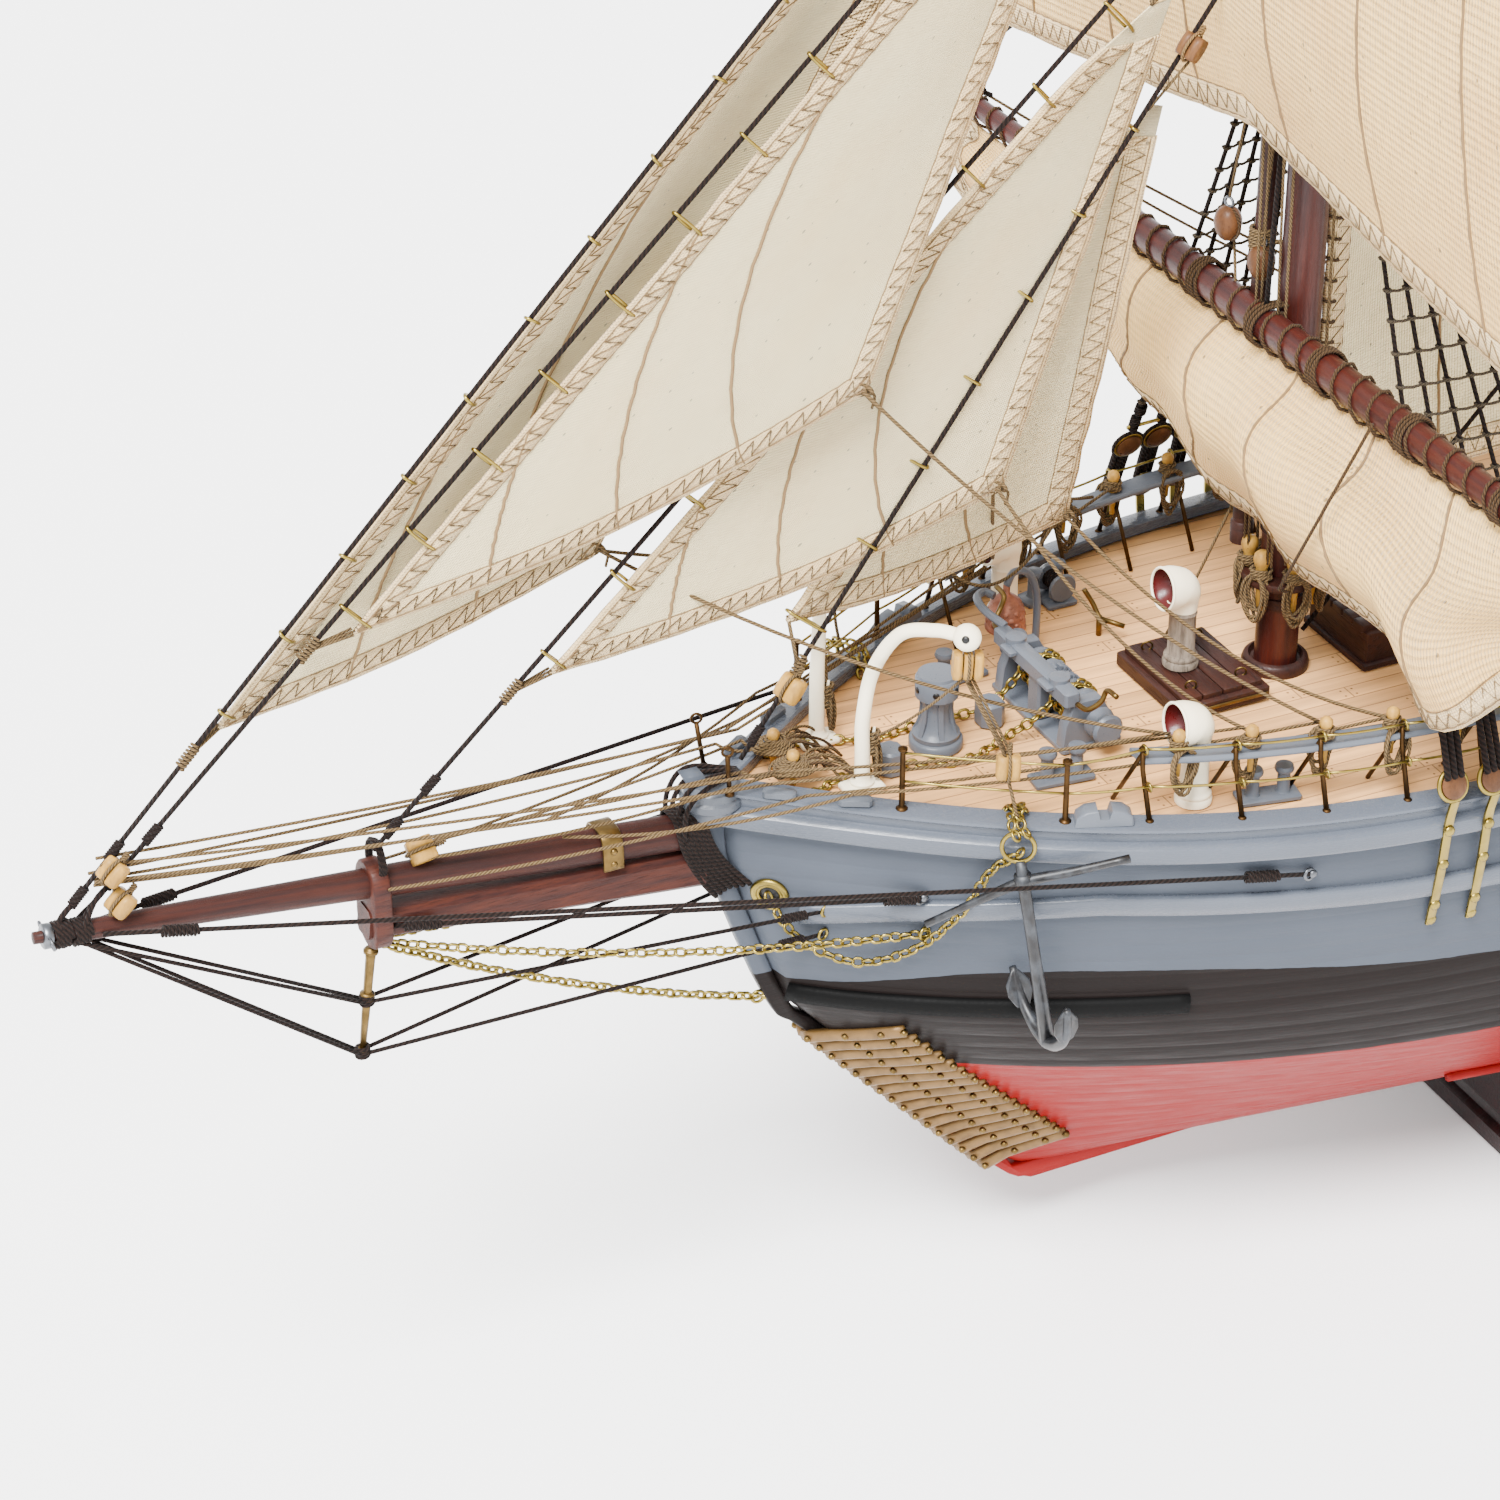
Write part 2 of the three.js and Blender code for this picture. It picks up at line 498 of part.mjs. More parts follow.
function addAfterDeck() {
  const houseZ = deckTop(120) + GAP;
  const house = { x0: 34, x1: 124, half: 23, height: 17 };
  const walls = box(house.x0, house.x1, -house.half, house.half, houseZ, houseZ + house.height);
  const roof = box(house.x0 - 2, house.x1 + 2, -house.half - 2, house.half + 2,
    houseZ + house.height - 0.1, houseZ + house.height + 1.8);
  add('deckhouse', join(walls, roof), boxwood);
  const roofZ = houseZ + house.height + 1.8 + GAP;
  const funnel = turned([[0, 0], [8, 0], [8, 1.6], [6.6, 2.4], [6.6, 38], [7.2, 38.4], [7.2, 40],
    [5.6, 40], [5.6, 20], [0, 20]], 14);
  add('funnel', funnel.translate(112, 0, roofZ), cream);

  for (const [side, sign] of SIDES) {
    add(`lifeboat_${side}`, lifeboat().translate(70, sign * 47, 150), whitePaint);
  }

  const wheelX = 236;
  const wheelZ = deckTop(wheelX) + GAP + 11;
  const stand = join(
    box(wheelX - 11, wheelX - 2.4, -4.5, 4.5, wheelZ - 11, wheelZ - 1.5),
    new THREE.CylinderGeometry(4.5, 4.5, 8.6, 12).rotateZ(Math.PI / 2)
      .translate(wheelX - 6.7, 0, wheelZ - 1.5),
  );
  add('wheel_stand', stand, mahogany);
  const rim = new THREE.TorusGeometry(7.2, 0.75, 5, 16).rotateY(Math.PI / 2);
  const hub = new THREE.CylinderGeometry(1.5, 1.5, 3, 8).rotateZ(Math.PI / 2);
  const spokes = range(4).map((i) =>
    new THREE.CylinderGeometry(0.45, 0.45, 20, 4).rotateX((i * Math.PI) / 4));
  add('steering_wheel', join(rim, hub, ...spokes).translate(wheelX, 0, wheelZ), mahogany);
}

// Double-ended boat under a canvas cover.
function lifeboat() {
  const stations = [-27, -24, -17, 0, 17, 24, 27];
  const rings = stations.map((x) => {
    const full = Math.max(0.1, Math.sqrt(1 - (x / 27.6) ** 2));
    const rise = 2.4 * (x / 27) ** 2;
    return [[0, -5.5], [-0.6, -4.4], [-0.95, -1], [-1, 2], [-0.5, 3.4], [0, 4.4], [0.5, 3.4], [1, 2],
      [0.95, -1], [0.6, -4.4]].map(([y, z]) => vec(x, 8 * full * y, z * mix(0.6, 1, full) + rise));
  });
  return loft(rings.map((ring) => [...ring.slice(1), ring[0]].slice(0, 10)));
}

// ---------------------------------------------------------------- spars
function squareSection(x, z, half) {
  return [[-half, -half], [-half, half], [half, half], [half, -half]]
    .map(([y, dz]) => vec(x, y, z + dz));
}

function addBowSpars() {
  const heel = SPAR_TILT_START;
  const heelRing = squareSection(heel.x, heel.z, 3.8).map((p) => vec(stemX(p.z) - GAP, p.y, p.z));
  const bowspritRings = [heelRing, squareSection(BOWSPRIT_END.x, BOWSPRIT_END.z, 3)];
  add('bowsprit', loft(bowspritRings), mahogany);
  const [boomHeel, boomTip] = [JIB_BOOM_HEEL, JIB_BOOM_TIP].map(({ x, z }) => vec(x, 0, z));
  const boomStations = [[0, 3.6], [0.2, 3.5], [0.5, 2.9], [0.93, 1.9], [0.95, 1.2], [1, 1.2]];
  add('jib_boom', spar(boomHeel, boomTip, boomStations, 8), mahogany);

  const capOutline = new THREE.Shape();
  capOutline.absarc(0, 130, 4.9, 0, Math.PI, false);
  capOutline.absarc(0, 121.6, 5.2, Math.PI, 2 * Math.PI, false);
  const plate = new THREE.ExtrudeGeometry(capOutline, {
    depth: 3.2, bevelEnabled: false, curveSegments: 10,
  })
    .rotateX(Math.PI / 2).rotateZ(Math.PI / 2).translate(CAP_X - 1.6, 0, 0);
  const spritZ = BOWSPRIT_END.z;
  const spritHole = box(CAP_X - 5, CAP_X + 5, -3.4, 3.4, spritZ - 3.8, spritZ + 3.2);
  const boomHole = spar(boomHeel, boomTip,
    [[0, 3.6 + GAP], [0.2, 3.5 + GAP], [0.5, 2.9 + GAP], [1, 2]], 8);
  add('bowsprit_cap', cut(plate, spritHole, boomHole), mahogany);
  const striker = spar(vec(-385.6, 0, 115.9), vec(-388.6, 0, 92), [[0, 1], [0.96, 1], [1, 1.4]], 8);
  add('dolphin_striker', striker, brass);
}

// Lower mast through the deck, with a top. Each upper length overlaps the one below, ahead of it,
// and a cap and a trestle hold the two together.
function mastGeometry({ x, top, radius }, upper) {
  const topRadius = radius * MAST_TAPER;
  const pieces = [
    spar(vec(x, 0, FALSE_KEEL.z1 + 2), vec(x, 0, top),
      [[0, radius], [0.5, radius], [1, topRadius]], 12),
    box(x - radius - 9, x + radius + 5, -11, 11, top - 18, top - 16.4),
  ];
  let below = { axis: x, radius: topRadius };
  for (const { lead, z0, z1, cap, r } of upper) {
    const axis = x - lead;
    pieces.push(spar(vec(axis, 0, z0), vec(axis, 0, z1), [[0, r], [0.6, r], [1, r * 0.75]], 8));
    for (const z of [z0 + 1, cap - 2]) {
      pieces.push(box(axis - r - 1, below.axis + below.radius + 1, -r - 1.2, r + 1.2, z, z + 2.2));
    }
    below = { axis, radius: r };
  }
  const peak = upper[upper.length - 1];
  pieces.push(new THREE.SphereGeometry(1.8, 8, 6).translate(x - peak.lead, 0, peak.z1 + 0.6));
  return join(...pieces);
}

function addMasts() {
  const foreUpper = [
    { lead: LEAD.foreTop, z0: 282, z1: 398, cap: 308, r: 2.7 },
    { lead: LEAD.foreTopgallant, z0: 376, z1: 468, cap: 397, r: 1.9 },
  ];
  const mainUpper = [{ lead: LEAD.main, z0: 292, z1: 500, cap: 318, r: 2.8 }];
  const mizzenUpper = [{ lead: LEAD.mizzen, z0: 256, z1: 420, cap: 282, r: 2.4 }];
  add('foremast', mastGeometry(FORE, foreUpper), mahogany);
  add('mainmast', mastGeometry(MAIN, mainUpper), mahogany);
  add('mizzenmast', mastGeometry(MIZZEN, mizzenUpper), mahogany);
}

const YARD_TAPER = [[0, 0.5], [0.06, 0.6], [0.35, 1], [0.65, 1], [0.94, 0.6], [1, 0.5]];

function addYards() {
  const yards = [
    ['fore_yard', FORE_YARD, FORE.x - FORE.radius * HOUNDS_TAPER],
    ['fore_topsail_yard', TOPSAIL_YARD, FORE.x - LEAD.foreTop - 2.7],
    ['fore_topgallant_yard', TOPGALLANT_YARD, FORE.x - LEAD.foreTopgallant - 1.9],
  ];
  for (const [name, { z, half, radius }, mastFace] of yards) {
    const x = mastFace - radius - GAP;
    const stations = YARD_TAPER.map(([t, r]) => [t, r * radius]);
    add(name, spar(vec(x, -half, z), vec(x, half, z), stations, 8), mahogany);
  }
}

// Gaff sails: the boom's after end, the corners as [x, z], and the heights of tack and throat.
const GAFF_SAILS = [
  {
    name: 'fore', mast: FORE, boom: null, tackZ: 160, clew: [-92, 164], throatZ: 262,
    peak: [-92, 292],
  },
  {
    name: 'main', mast: MAIN, boom: [96, 178], tackZ: 170, clew: [92, 180], throatZ: 272,
    peak: [80, 326],
  },
  {
    name: 'mizzen', mast: MIZZEN, boom: [282, 181], tackZ: 168, clew: [276, 183], throatZ: 244,
    peak: [252, 294],
  },
];

const GAFF_END = 6; // the gaff's end beyond the sail's peak
const GAFF_LIFT = 3.4; // the gaff's centreline above the sail's head

function addFootSpars() {
  for (const { name, mast, boom, tackZ, throatZ, peak } of GAFF_SAILS) {
    const jaw = mast.x + mast.radius + 0.6;
    if (boom) {
      const tip = vec(boom[0], 0, boom[1] - 4);
      const beam = spar(vec(jaw, 0, tackZ - 4), tip, [[0, 1.8], [0.4, 2.3], [1, 1.4]], 8);
      add(`${name}_boom`, beam, mahogany);
    }
    const slope = (peak[1] - throatZ) / (peak[0] - mast.x);
    const end = vec(peak[0] + GAFF_END, 0, peak[1] + GAFF_LIFT + GAFF_END * slope);
    const gaff = spar(vec(jaw, 0, throatZ + GAFF_LIFT), end, [[0, 1.7], [0.4, 2], [1, 1.2]], 8);
    add(`${name}_gaff`, gaff, mahogany);
  }
}

// ---------------------------------------------------------------- sails
// A thin sheet: point(s, t) gives its middle surface, and the thickness is laid along push.
function sheet(point, push, columns = 5, rows = 5) {
  const half = push.clone().normalize().multiplyScalar(SAIL_THICK / 2);
  const rings = range(rows + 1).map((j) => {
    const row = range(columns + 1).map((i) => point(i / columns, j / rows));
    const front = row.map((p) => p.clone().add(half));
    const back = row.map((p) => p.clone().sub(half)).reverse();
    return [...front, ...back];
  });
  return loft(rings);
}

// Headsails: tack, clew and head corners, and how far the sheet bellies. They pass side by side:
// the jib is to port, and each lower sail lies a little further to starboard.
const HEADSAILS = [
  {
    name: 'flying_jib', tack: [-409.5, 1.2, 168], clew: [-335.4, 8, 182.9],
    head: [-252, 1.2, 334], belly: 5,
  },
  {
    name: 'jib', tack: [-384, -0.4, 181.4], clew: [-286.5, -5, 211.3],
    head: [-242, -0.4, 316.5], belly: -2,
  },
  {
    name: 'inner_jib', tack: [-345.8, 0.8, 162.6], clew: [-254.5, 0.8, 180.6],
    head: [-223, 0.8, 276], belly: 0,
  },
  {
    name: 'fore_staysail', tack: [-296, 2.4, 160.4], clew: [-233.5, 12, 164],
    head: [-223, 2.4, 254], belly: 3,
  },
];

function headsail({ tack, clew, head, belly }) {
  const [luffFoot, leechFoot, luffHead] = [vec(...tack), vec(...clew), vec(...head)];
  return sheet((s, t) => {
    const u = t * 0.97;
    const luff = luffFoot.clone().lerp(luffHead, u);
    const leech = leechFoot.clone().lerp(luffHead.clone().add(vec(1.5, 0, 0)), u);
    const p = luff.lerp(leech, s);
    p.y += belly * Math.sin(Math.PI * s) * Math.sin(Math.PI * (0.15 + 0.75 * (1 - t)));
    p.z -= 3 * Math.sin(Math.PI * s) * (1 - t) ** 2;
    return p;
  }, vec(0, 1, 0));
}

// Square sail: head and foot are [half width, height]; the foot arches up in the middle.
function squareSail({ x, head, foot, arch, belly }) {
  return sheet((s, t) => {
    const side = 2 * s - 1;
    const arched = foot[1] + arch * (1 - Math.abs(side)) ** 1.2;
    const y = side * mix(foot[0], head[0], t);
    const forward = belly * (1 - side ** 2) ** 0.7 * Math.sin(Math.PI * (0.15 + 0.85 * (1 - t)) ** 1.1);
    return vec(x - 1 - forward, y, mix(arched, head[1], t));
  }, vec(1, 0, 0), 8, 5);
}

// Lower square sail hauled up on its gear, hanging in loose folds below the yard.
function looseCourse(x) {
  const drop = [[-1, 14], [-0.84, 30], [-0.74, 36], [-0.6, 50], [-0.45, 49], [-0.3, 45], [-0.05, 47],
    [0.2, 33], [0.45, 33], [0.7, 38], [0.86, 28], [1, 14]];
  return sheet((s, t) => {
    const side = 2 * s - 1;
    const z = FORE_YARD.z - FORE_YARD.radius - 0.8 - along(drop, side) * (1 - t);
    return vec(x - 8 * Math.sin(Math.PI * (1 - t)) * (1 - side ** 2) - 2 * (1 - t), side * 118, z);
  }, vec(1, 0, 0), 14, 4);
}

function gaffSail({ mast, tackZ, clew, throatZ, peak }, belly) {
  const luffX = mast.x + mast.radius + 1.4;
  const [tack, clewCorner] = [vec(luffX, 0, tackZ), vec(clew[0], 0, clew[1])];
  const [throat, peakCorner] = [vec(luffX, 0, throatZ), vec(peak[0], 0, peak[1])];
  return sheet((s, t) => {
    const p = tack.clone().lerp(clewCorner, s).lerp(throat.clone().lerp(peakCorner, s), t);
    p.y += belly * Math.sin(Math.PI * s ** 0.8) * Math.sin(Math.PI * t * 0.9 + 0.2);
    return p;
  }, vec(0, 1, 0));
}

function addSails() {
  HEADSAILS.forEach((sail, i) => add(sail.name, headsail(sail), cotton[i % 3]));
  const courseX = FORE.x - FORE.radius * HOUNDS_TAPER - FORE_YARD.radius - GAP;
  add('fore_course', looseCourse(courseX), cotton[1]);
  const topsail = { x: -203, head: [92, TOPSAIL_YARD.z - 3.4], foot: [112, 229], arch: 17, belly: 9 };
  add('fore_topsail', squareSail(topsail), cotton[0]);
  const topgallant = { x: -207, head: [62, TOPGALLANT_YARD.z - 2.8], foot: [86, 329], arch: 8, belly: 8 };
  add('fore_topgallant_sail', squareSail(topgallant), cotton[2]);
  const names = ['fore_spencer', 'main_sail', 'mizzen_sail'];
  GAFF_SAILS.forEach((sail, i) => add(names[i], gaffSail(sail, 7), cotton[i]));
}

addStand();
addHull();
addRails();
addIceSheathing();
addStern();
addForedeck();
addAfterDeck();
addBowSpars();
addMasts();
addYards();
addFootSpars();
addSails();

export default model;
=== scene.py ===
# Visual model of a three-masted sailing ship display model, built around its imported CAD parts.
# Shapes are worked out in millimetres and made in metres, in the row frame:
# -X is the bow, +X the stern, -Y port, +Y starboard, +Z up, and z = 0 is under the stand.
import math

import bpy
import numpy as np
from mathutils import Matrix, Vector


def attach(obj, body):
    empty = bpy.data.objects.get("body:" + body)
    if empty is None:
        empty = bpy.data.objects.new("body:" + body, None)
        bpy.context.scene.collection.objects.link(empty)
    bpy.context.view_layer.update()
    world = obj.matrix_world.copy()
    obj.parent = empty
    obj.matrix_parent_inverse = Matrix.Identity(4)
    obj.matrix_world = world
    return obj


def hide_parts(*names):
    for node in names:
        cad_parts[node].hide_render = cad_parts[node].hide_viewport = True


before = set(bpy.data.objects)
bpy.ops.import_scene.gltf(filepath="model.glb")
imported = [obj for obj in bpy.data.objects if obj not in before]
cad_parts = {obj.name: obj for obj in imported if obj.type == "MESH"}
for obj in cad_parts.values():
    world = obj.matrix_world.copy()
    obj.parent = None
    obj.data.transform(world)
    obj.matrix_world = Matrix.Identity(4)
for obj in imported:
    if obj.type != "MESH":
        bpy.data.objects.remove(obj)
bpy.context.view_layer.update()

MM = 0.001
TAU = 2 * math.pi
scene = bpy.context.scene


# ---------------------------------------------------------------- small maths
def mix(a, b, t):
    return a + (b - a) * t


def clamp01(t):
    return min(1.0, max(0.0, t))


def vec(*p):
    return np.array(p, dtype=float)


def unit(v):
    return v / max(np.linalg.norm(v), 1e-12)


def along(pairs, value):
    """Straight-line interpolation in a short list of (input, output) pairs."""
    xs, ys = zip(*pairs)
    return float(np.interp(value, xs, ys))


def smooth(points, steps=8):
    """Catmull-Rom curve through points, with steps between each two."""
    p = [vec(*q) for q in points]
    if len(p) == 2:
        return [mix(p[0], p[1], i / steps) for i in range(steps + 1)]
    p = [2 * p[0] - p[1], *p, 2 * p[-1] - p[-2]]
    out = []
    for a, b, c, d in zip(p, p[1:], p[2:], p[3:]):
        for i in range(steps):
            t = i / steps
            out.append(0.5 * (2 * b + (c - a) * t + (2 * a - 5 * b + 4 * c - d) * t ** 2
                              + (3 * b - a - 3 * c + d) * t ** 3))
    return out + [p[-2]]


def around(count):
    """Angles evenly spaced once round."""
    return np.linspace(0, TAU, count + 1)[:-1]


def ball(radius, steps):
    """Profile of a ball for Shape.turned."""
    return [(radius * math.sin(math.pi * k / steps), -radius * math.cos(math.pi * k / steps))
            for k in range(steps + 1)]


def round_corners(x0, x1, half, r, steps, z):
    """Plan outline at height z of a rectangle whose corners have radius r."""
    points = []
    for cx, cy, quarter in ((x1 - r, half - r, 0), (x0 + r, half - r, 1), (x0 + r, r - half, 2),
                            (x1 - r, r - half, 3)):
        for g in np.linspace(quarter * math.pi / 2, (quarter + 1) * math.pi / 2, steps):
            points.append((cx + r * math.cos(g), cy + r * math.sin(g), z))
    return points


def sagging(a, b, drop, steps=10):
    """A rope between two points that hangs drop below the straight line at its middle."""
    a, b = vec(*a), vec(*b)
    return [mix(a, b, i / steps) - vec(0, 0, 4 * drop * (i / steps) * (1 - i / steps))
            for i in range(steps + 1)]


def frames(points):
    """Unit tangents and two cross directions that turn as little as possible along a path."""
    p = np.asarray(points)
    t = np.gradient(p, axis=0)
    t /= np.maximum(np.linalg.norm(t, axis=1, keepdims=True), 1e-12)
    start = vec(0, 0, 1) if abs(t[0][2]) < 0.9 else vec(1, 0, 0)
    u = [unit(np.cross(start, t[0]))]
    for k in range(1, len(p)):
        u.append(unit(u[-1] - t[k] * np.dot(u[-1], t[k])))
    u = np.array(u)
    return t, u, np.cross(t, u)


# ---------------------------------------------------------------- mesh building
class Shape:
    """Gathers faces in millimetres, with a (u, v) at each corner, for one piece."""

    def __init__(self):
        self.points, self.faces, self.uvs, self.count = [], [], [], 0

    def put(self, points, faces):
        """Adds faces that are given by the numbers of their points."""
        points = np.asarray(points, dtype=float).reshape(-1, 3)
        self.points.append(points)
        for face in faces:
            self.faces.append([self.count + i for i in face])
            self.uvs.extend([(points[i][0], points[i][1]) for i in face])
        self.count += len(points)

    def grid(self, rows, wrap=True, caps=True, loop=False, u=None, v=None):
        """Skins rows of points. u runs along the rows and v round each row."""
        p = np.asarray(rows, dtype=float)
        n, m = p.shape[:2]
        spans, cols = (n if loop else n - 1), (m if wrap else m - 1)
        if u is None:
            closed = np.vstack([p[:, 0], p[:1, 0]]) if loop else p[:, 0]
            u = np.concatenate([[0], np.cumsum(np.linalg.norm(np.diff(closed, axis=0), axis=1))])
        if v is None:
            v = np.arange(cols + 1) / cols
        i, j = np.meshgrid(np.arange(spans), np.arange(cols), indexing="ij")
        i, j = i.ravel(), j.ravel()
        i2, j2 = (i + 1) % n, (j + 1) % m
        quads = np.stack([i * m + j, i * m + j2, i2 * m + j2, i2 * m + j], 1) + self.count
        u, v = np.asarray(u), np.asarray(v)
        corner = np.stack([
            np.stack([u[i], v[j]], 1), np.stack([u[i], v[j + 1]], 1),
            np.stack([u[i + 1], v[j + 1]], 1), np.stack([u[i + 1], v[j]], 1)], 1)
        self.points.append(p.reshape(-1, 3))
        self.faces.extend(quads.tolist())
        self.uvs.extend(corner.reshape(-1, 2).tolist())
        if caps and wrap and not loop:
            self.faces.append([self.count + k for k in reversed(range(m))])
            self.faces.append([self.count + (n - 1) * m + k for k in range(m)])
            self.uvs.extend([(u[0], v[k]) for k in reversed(range(m))])
            self.uvs.extend([(u[-1], v[k]) for k in range(m)])
        self.count += n * m

    def tube(self, points, radius, sides=6, caps=True, loop=False):
        """Round bar along a path; loop joins its end to its start."""
        p = np.asarray(points, dtype=float)
        radii = np.broadcast_to(np.asarray(radius, dtype=float), (len(p),))
        if loop:
            t = np.roll(p, -1, 0) - np.roll(p, 1, 0)
            t /= np.linalg.norm(t, axis=1, keepdims=True)
            normal = unit(np.cross(p[0] - p.mean(0), t[0]))
            side = np.cross(t, normal)
            u = side / np.linalg.norm(side, axis=1, keepdims=True)
            w = np.cross(t, u)
        else:
            t, u, w = frames(p)
        angle = np.arange(sides) / sides * TAU
        rows = (p[:, None] + radii[:, None, None]
                * (np.cos(angle)[None, :, None] * u[:, None] + np.sin(angle)[None, :, None] * w[:, None]))
        self.grid(rows, caps=caps, loop=loop)

    def turned(self, profile, sides=16, at=(0, 0, 0), axis=(0, 0, 1)):
        """Turned piece: profile is a list of (radius, height) along axis from at."""
        w = unit(vec(*axis))
        u = unit(np.cross(w, vec(1, 0, 0) if abs(w[0]) < 0.9 else vec(0, 1, 0)))
        v = np.cross(w, u)
        angle = np.arange(sides) / sides * TAU
        ring = np.cos(angle)[:, None] * u + np.sin(angle)[:, None] * v
        rows = [vec(*at) + w * h + max(r, 0.001) * ring for r, h in profile]
        self.grid(rows)

    def box(self, lo, hi, bevel=0.2, spin=0.0):
        """Block with softened edges, turned by spin about its own vertical."""
        lo, hi = vec(*lo), vec(*hi)
        b = min(bevel, 0.3 * float((hi - lo).min()))
        c, h = (lo + hi) / 2, (hi - lo) / 2
        rows = []
        for z, inset in ((-h[2], b), (-h[2] + b, 0), (h[2] - b, 0), (h[2], b)):
            x, y = h[0] - inset, h[1] - inset
            ring = [(x, -y + b), (x, y - b), (x - b, y), (-x + b, y), (-x, y - b), (-x, -y + b),
                    (-x + b, -y), (x - b, -y)]
            rows.append([(c[0] + px, c[1] + py, c[2] + z) for px, py in ring])
        rows = np.array(rows)
        if spin:
            rows = turn_z(rows, spin, c)
        self.grid(rows)

    def slab(self, outline, z0, z1, bevel=0.2):
        """Flat plate with a plan outline, anticlockwise from above, and softened edges."""
        o = np.array(outline, dtype=float)
        out = outward(o)
        rows = []
        for z, inset in ((z0, bevel), (z0 + bevel, 0), (z1 - bevel, 0), (z1, bevel)):
            q = o - out * inset
            rows.append(np.column_stack([q, np.full(len(q), z)]))
        self.grid(rows)

    def make(self, name, slot, material, body="ship", replaces=(), flat=None):
        """Turns the faces into a Blender object that rides on body."""
        mesh = bpy.data.meshes.new(name)
        mesh.from_pydata((np.vstack(self.points) * MM).tolist(), [], self.faces)
        layer = mesh.uv_layers.new(name="lay")
        layer.data.foreach_set("uv", np.asarray(self.uvs, dtype=float).ravel())
        mesh.materials.append(material)
        mesh.validate(clean_customdata=False)
        mesh.polygons.foreach_set("use_smooth", [True] * len(mesh.polygons))
        obj = bpy.data.objects.new(name, mesh)
        scene.collection.objects.link(obj)
        if flat is not None:
            mesh.set_sharp_from_angle(angle=math.radians(flat))
        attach(obj, body)
        if replaces:
            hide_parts(*replaces)
        return obj


def unit_rows(a):
    return a / np.maximum(np.linalg.norm(a, axis=1, keepdims=True), 1e-9)


def outward(o):
    """Directions away from an anticlockwise outline, one at each of its points."""
    a, b = unit_rows(o - np.roll(o, 1, 0)), unit_rows(np.roll(o, -1, 0) - o)
    return unit_rows(np.stack([a[:, 1] + b[:, 1], -a[:, 0] - b[:, 0]], 1))


def facing(rows, right_way):
    """Rows of points with each row turned round when its faces would point inwards."""
    return rows if right_way else [r[::-1] for r in rows]


def turn_z(points, angle, about):
    c, s = math.cos(angle), math.sin(angle)
    q = points - about
    return np.stack([q[..., 0] * c - q[..., 1] * s, q[..., 0] * s + q[..., 1] * c, q[..., 2]], -1) + about


# ---------------------------------------------------------------- materials
class Nodes:
    """Small helper for building a node tree by hand."""

    def __init__(self, name):
        self.material = bpy.data.materials.new(name)
        self.material.use_nodes = True
        self.tree = self.material.node_tree
        self.shader = self.tree.nodes["Principled BSDF"]

    def node(self, kind, props=None, **inputs):
        n = self.tree.nodes.new(kind)
        for key, value in (props or {}).items():
            setattr(n, key, value)
        for key, value in inputs.items():
            socket = n.inputs[int(key[1:])] if key[0] == "i" and key[1:].isdigit() else n.inputs[key]
            self.feed(socket, value)
        return n

    def feed(self, socket, value):
        if isinstance(value, bpy.types.NodeSocket):
            self.tree.links.new(value, socket)
        else:
            socket.default_value = value

    def set(self, **inputs):
        for key, value in inputs.items():
            self.feed(self.shader.inputs[key.replace("_", " ")], value)

    def place(self):
        return self.node("ShaderNodeTexCoord").outputs["Object"]

    def lay(self):
        return self.node("ShaderNodeUVMap", {"uv_map": "lay"}).outputs[0]

    def scaled(self, vector, scale):
        n = self.node("ShaderNodeVectorMath", {"operation": "MULTIPLY"}, i0=vector, i1=scale)
        return n.outputs[0]

    def noise(self, vector, scale, detail=3.0, rough=0.5):
        n = self.node("ShaderNodeTexNoise", None, Vector=vector, Scale=scale, Detail=detail)
        n.inputs["Roughness"].default_value = rough
        return n.outputs[0]

    def math(self, operation, a, b=0.0, c=0.0, clamp=False):
        n = self.node("ShaderNodeMath", {"operation": operation, "use_clamp": clamp}, i0=a, i1=b, i2=c)
        return n.outputs[0]

    def ramp(self, value, low, high, out_low=0.0, out_high=1.0):
        n = self.node("ShaderNodeMapRange", None, i0=value, i1=low, i2=high, i3=out_low, i4=out_high)
        return n.outputs[0]

    def blend(self, factor, a, b):
        n = self.tree.nodes.new("ShaderNodeMix")
        n.data_type = "RGBA"
        self.feed(n.inputs[0], factor)
        self.feed(n.inputs[6], a)
        self.feed(n.inputs[7], b)
        return n.outputs[2]

    def split(self, vector):
        n = self.node("ShaderNodeSeparateXYZ", None, i0=vector)
        return n.outputs

    def bump(self, height, strength=0.3, distance=0.0002):
        n = self.node("ShaderNodeBump", None, Strength=strength, Distance=distance, Height=height)
        self.set(Normal=n.outputs[0])

    def white(self, value):
        n = self.tree.nodes.new("ShaderNodeTexWhiteNoise")
        n.noise_dimensions = "1D"
        self.feed(n.inputs["W"], value)
        return n.outputs[0]


LIT = 4.6  # how bright a white surface gets under the studio lamps
PALEST = 0.93  # no real paint or cloth sends back more of the light than this
FILM_MIX = np.array(((0.8425, 0.0784, 0.0792), (0.0423, 0.8785, 0.0792), (0.0424, 0.0784, 0.8791)))


def film(level):
    """The renderer's film curve: shown brightness of a light level, both from 0 to 1 or more."""
    x = np.clip((np.log2(level) + 12.474) / 16.5, 0, 1)
    return (15.5 * x ** 6 - 40.14 * x ** 5 + 31.96 * x ** 4 - 6.868 * x ** 3 + 0.4298 * x ** 2
            + 0.1191 * x - 0.0023)


LEVELS = np.geomspace(0.0006, 16, 400)


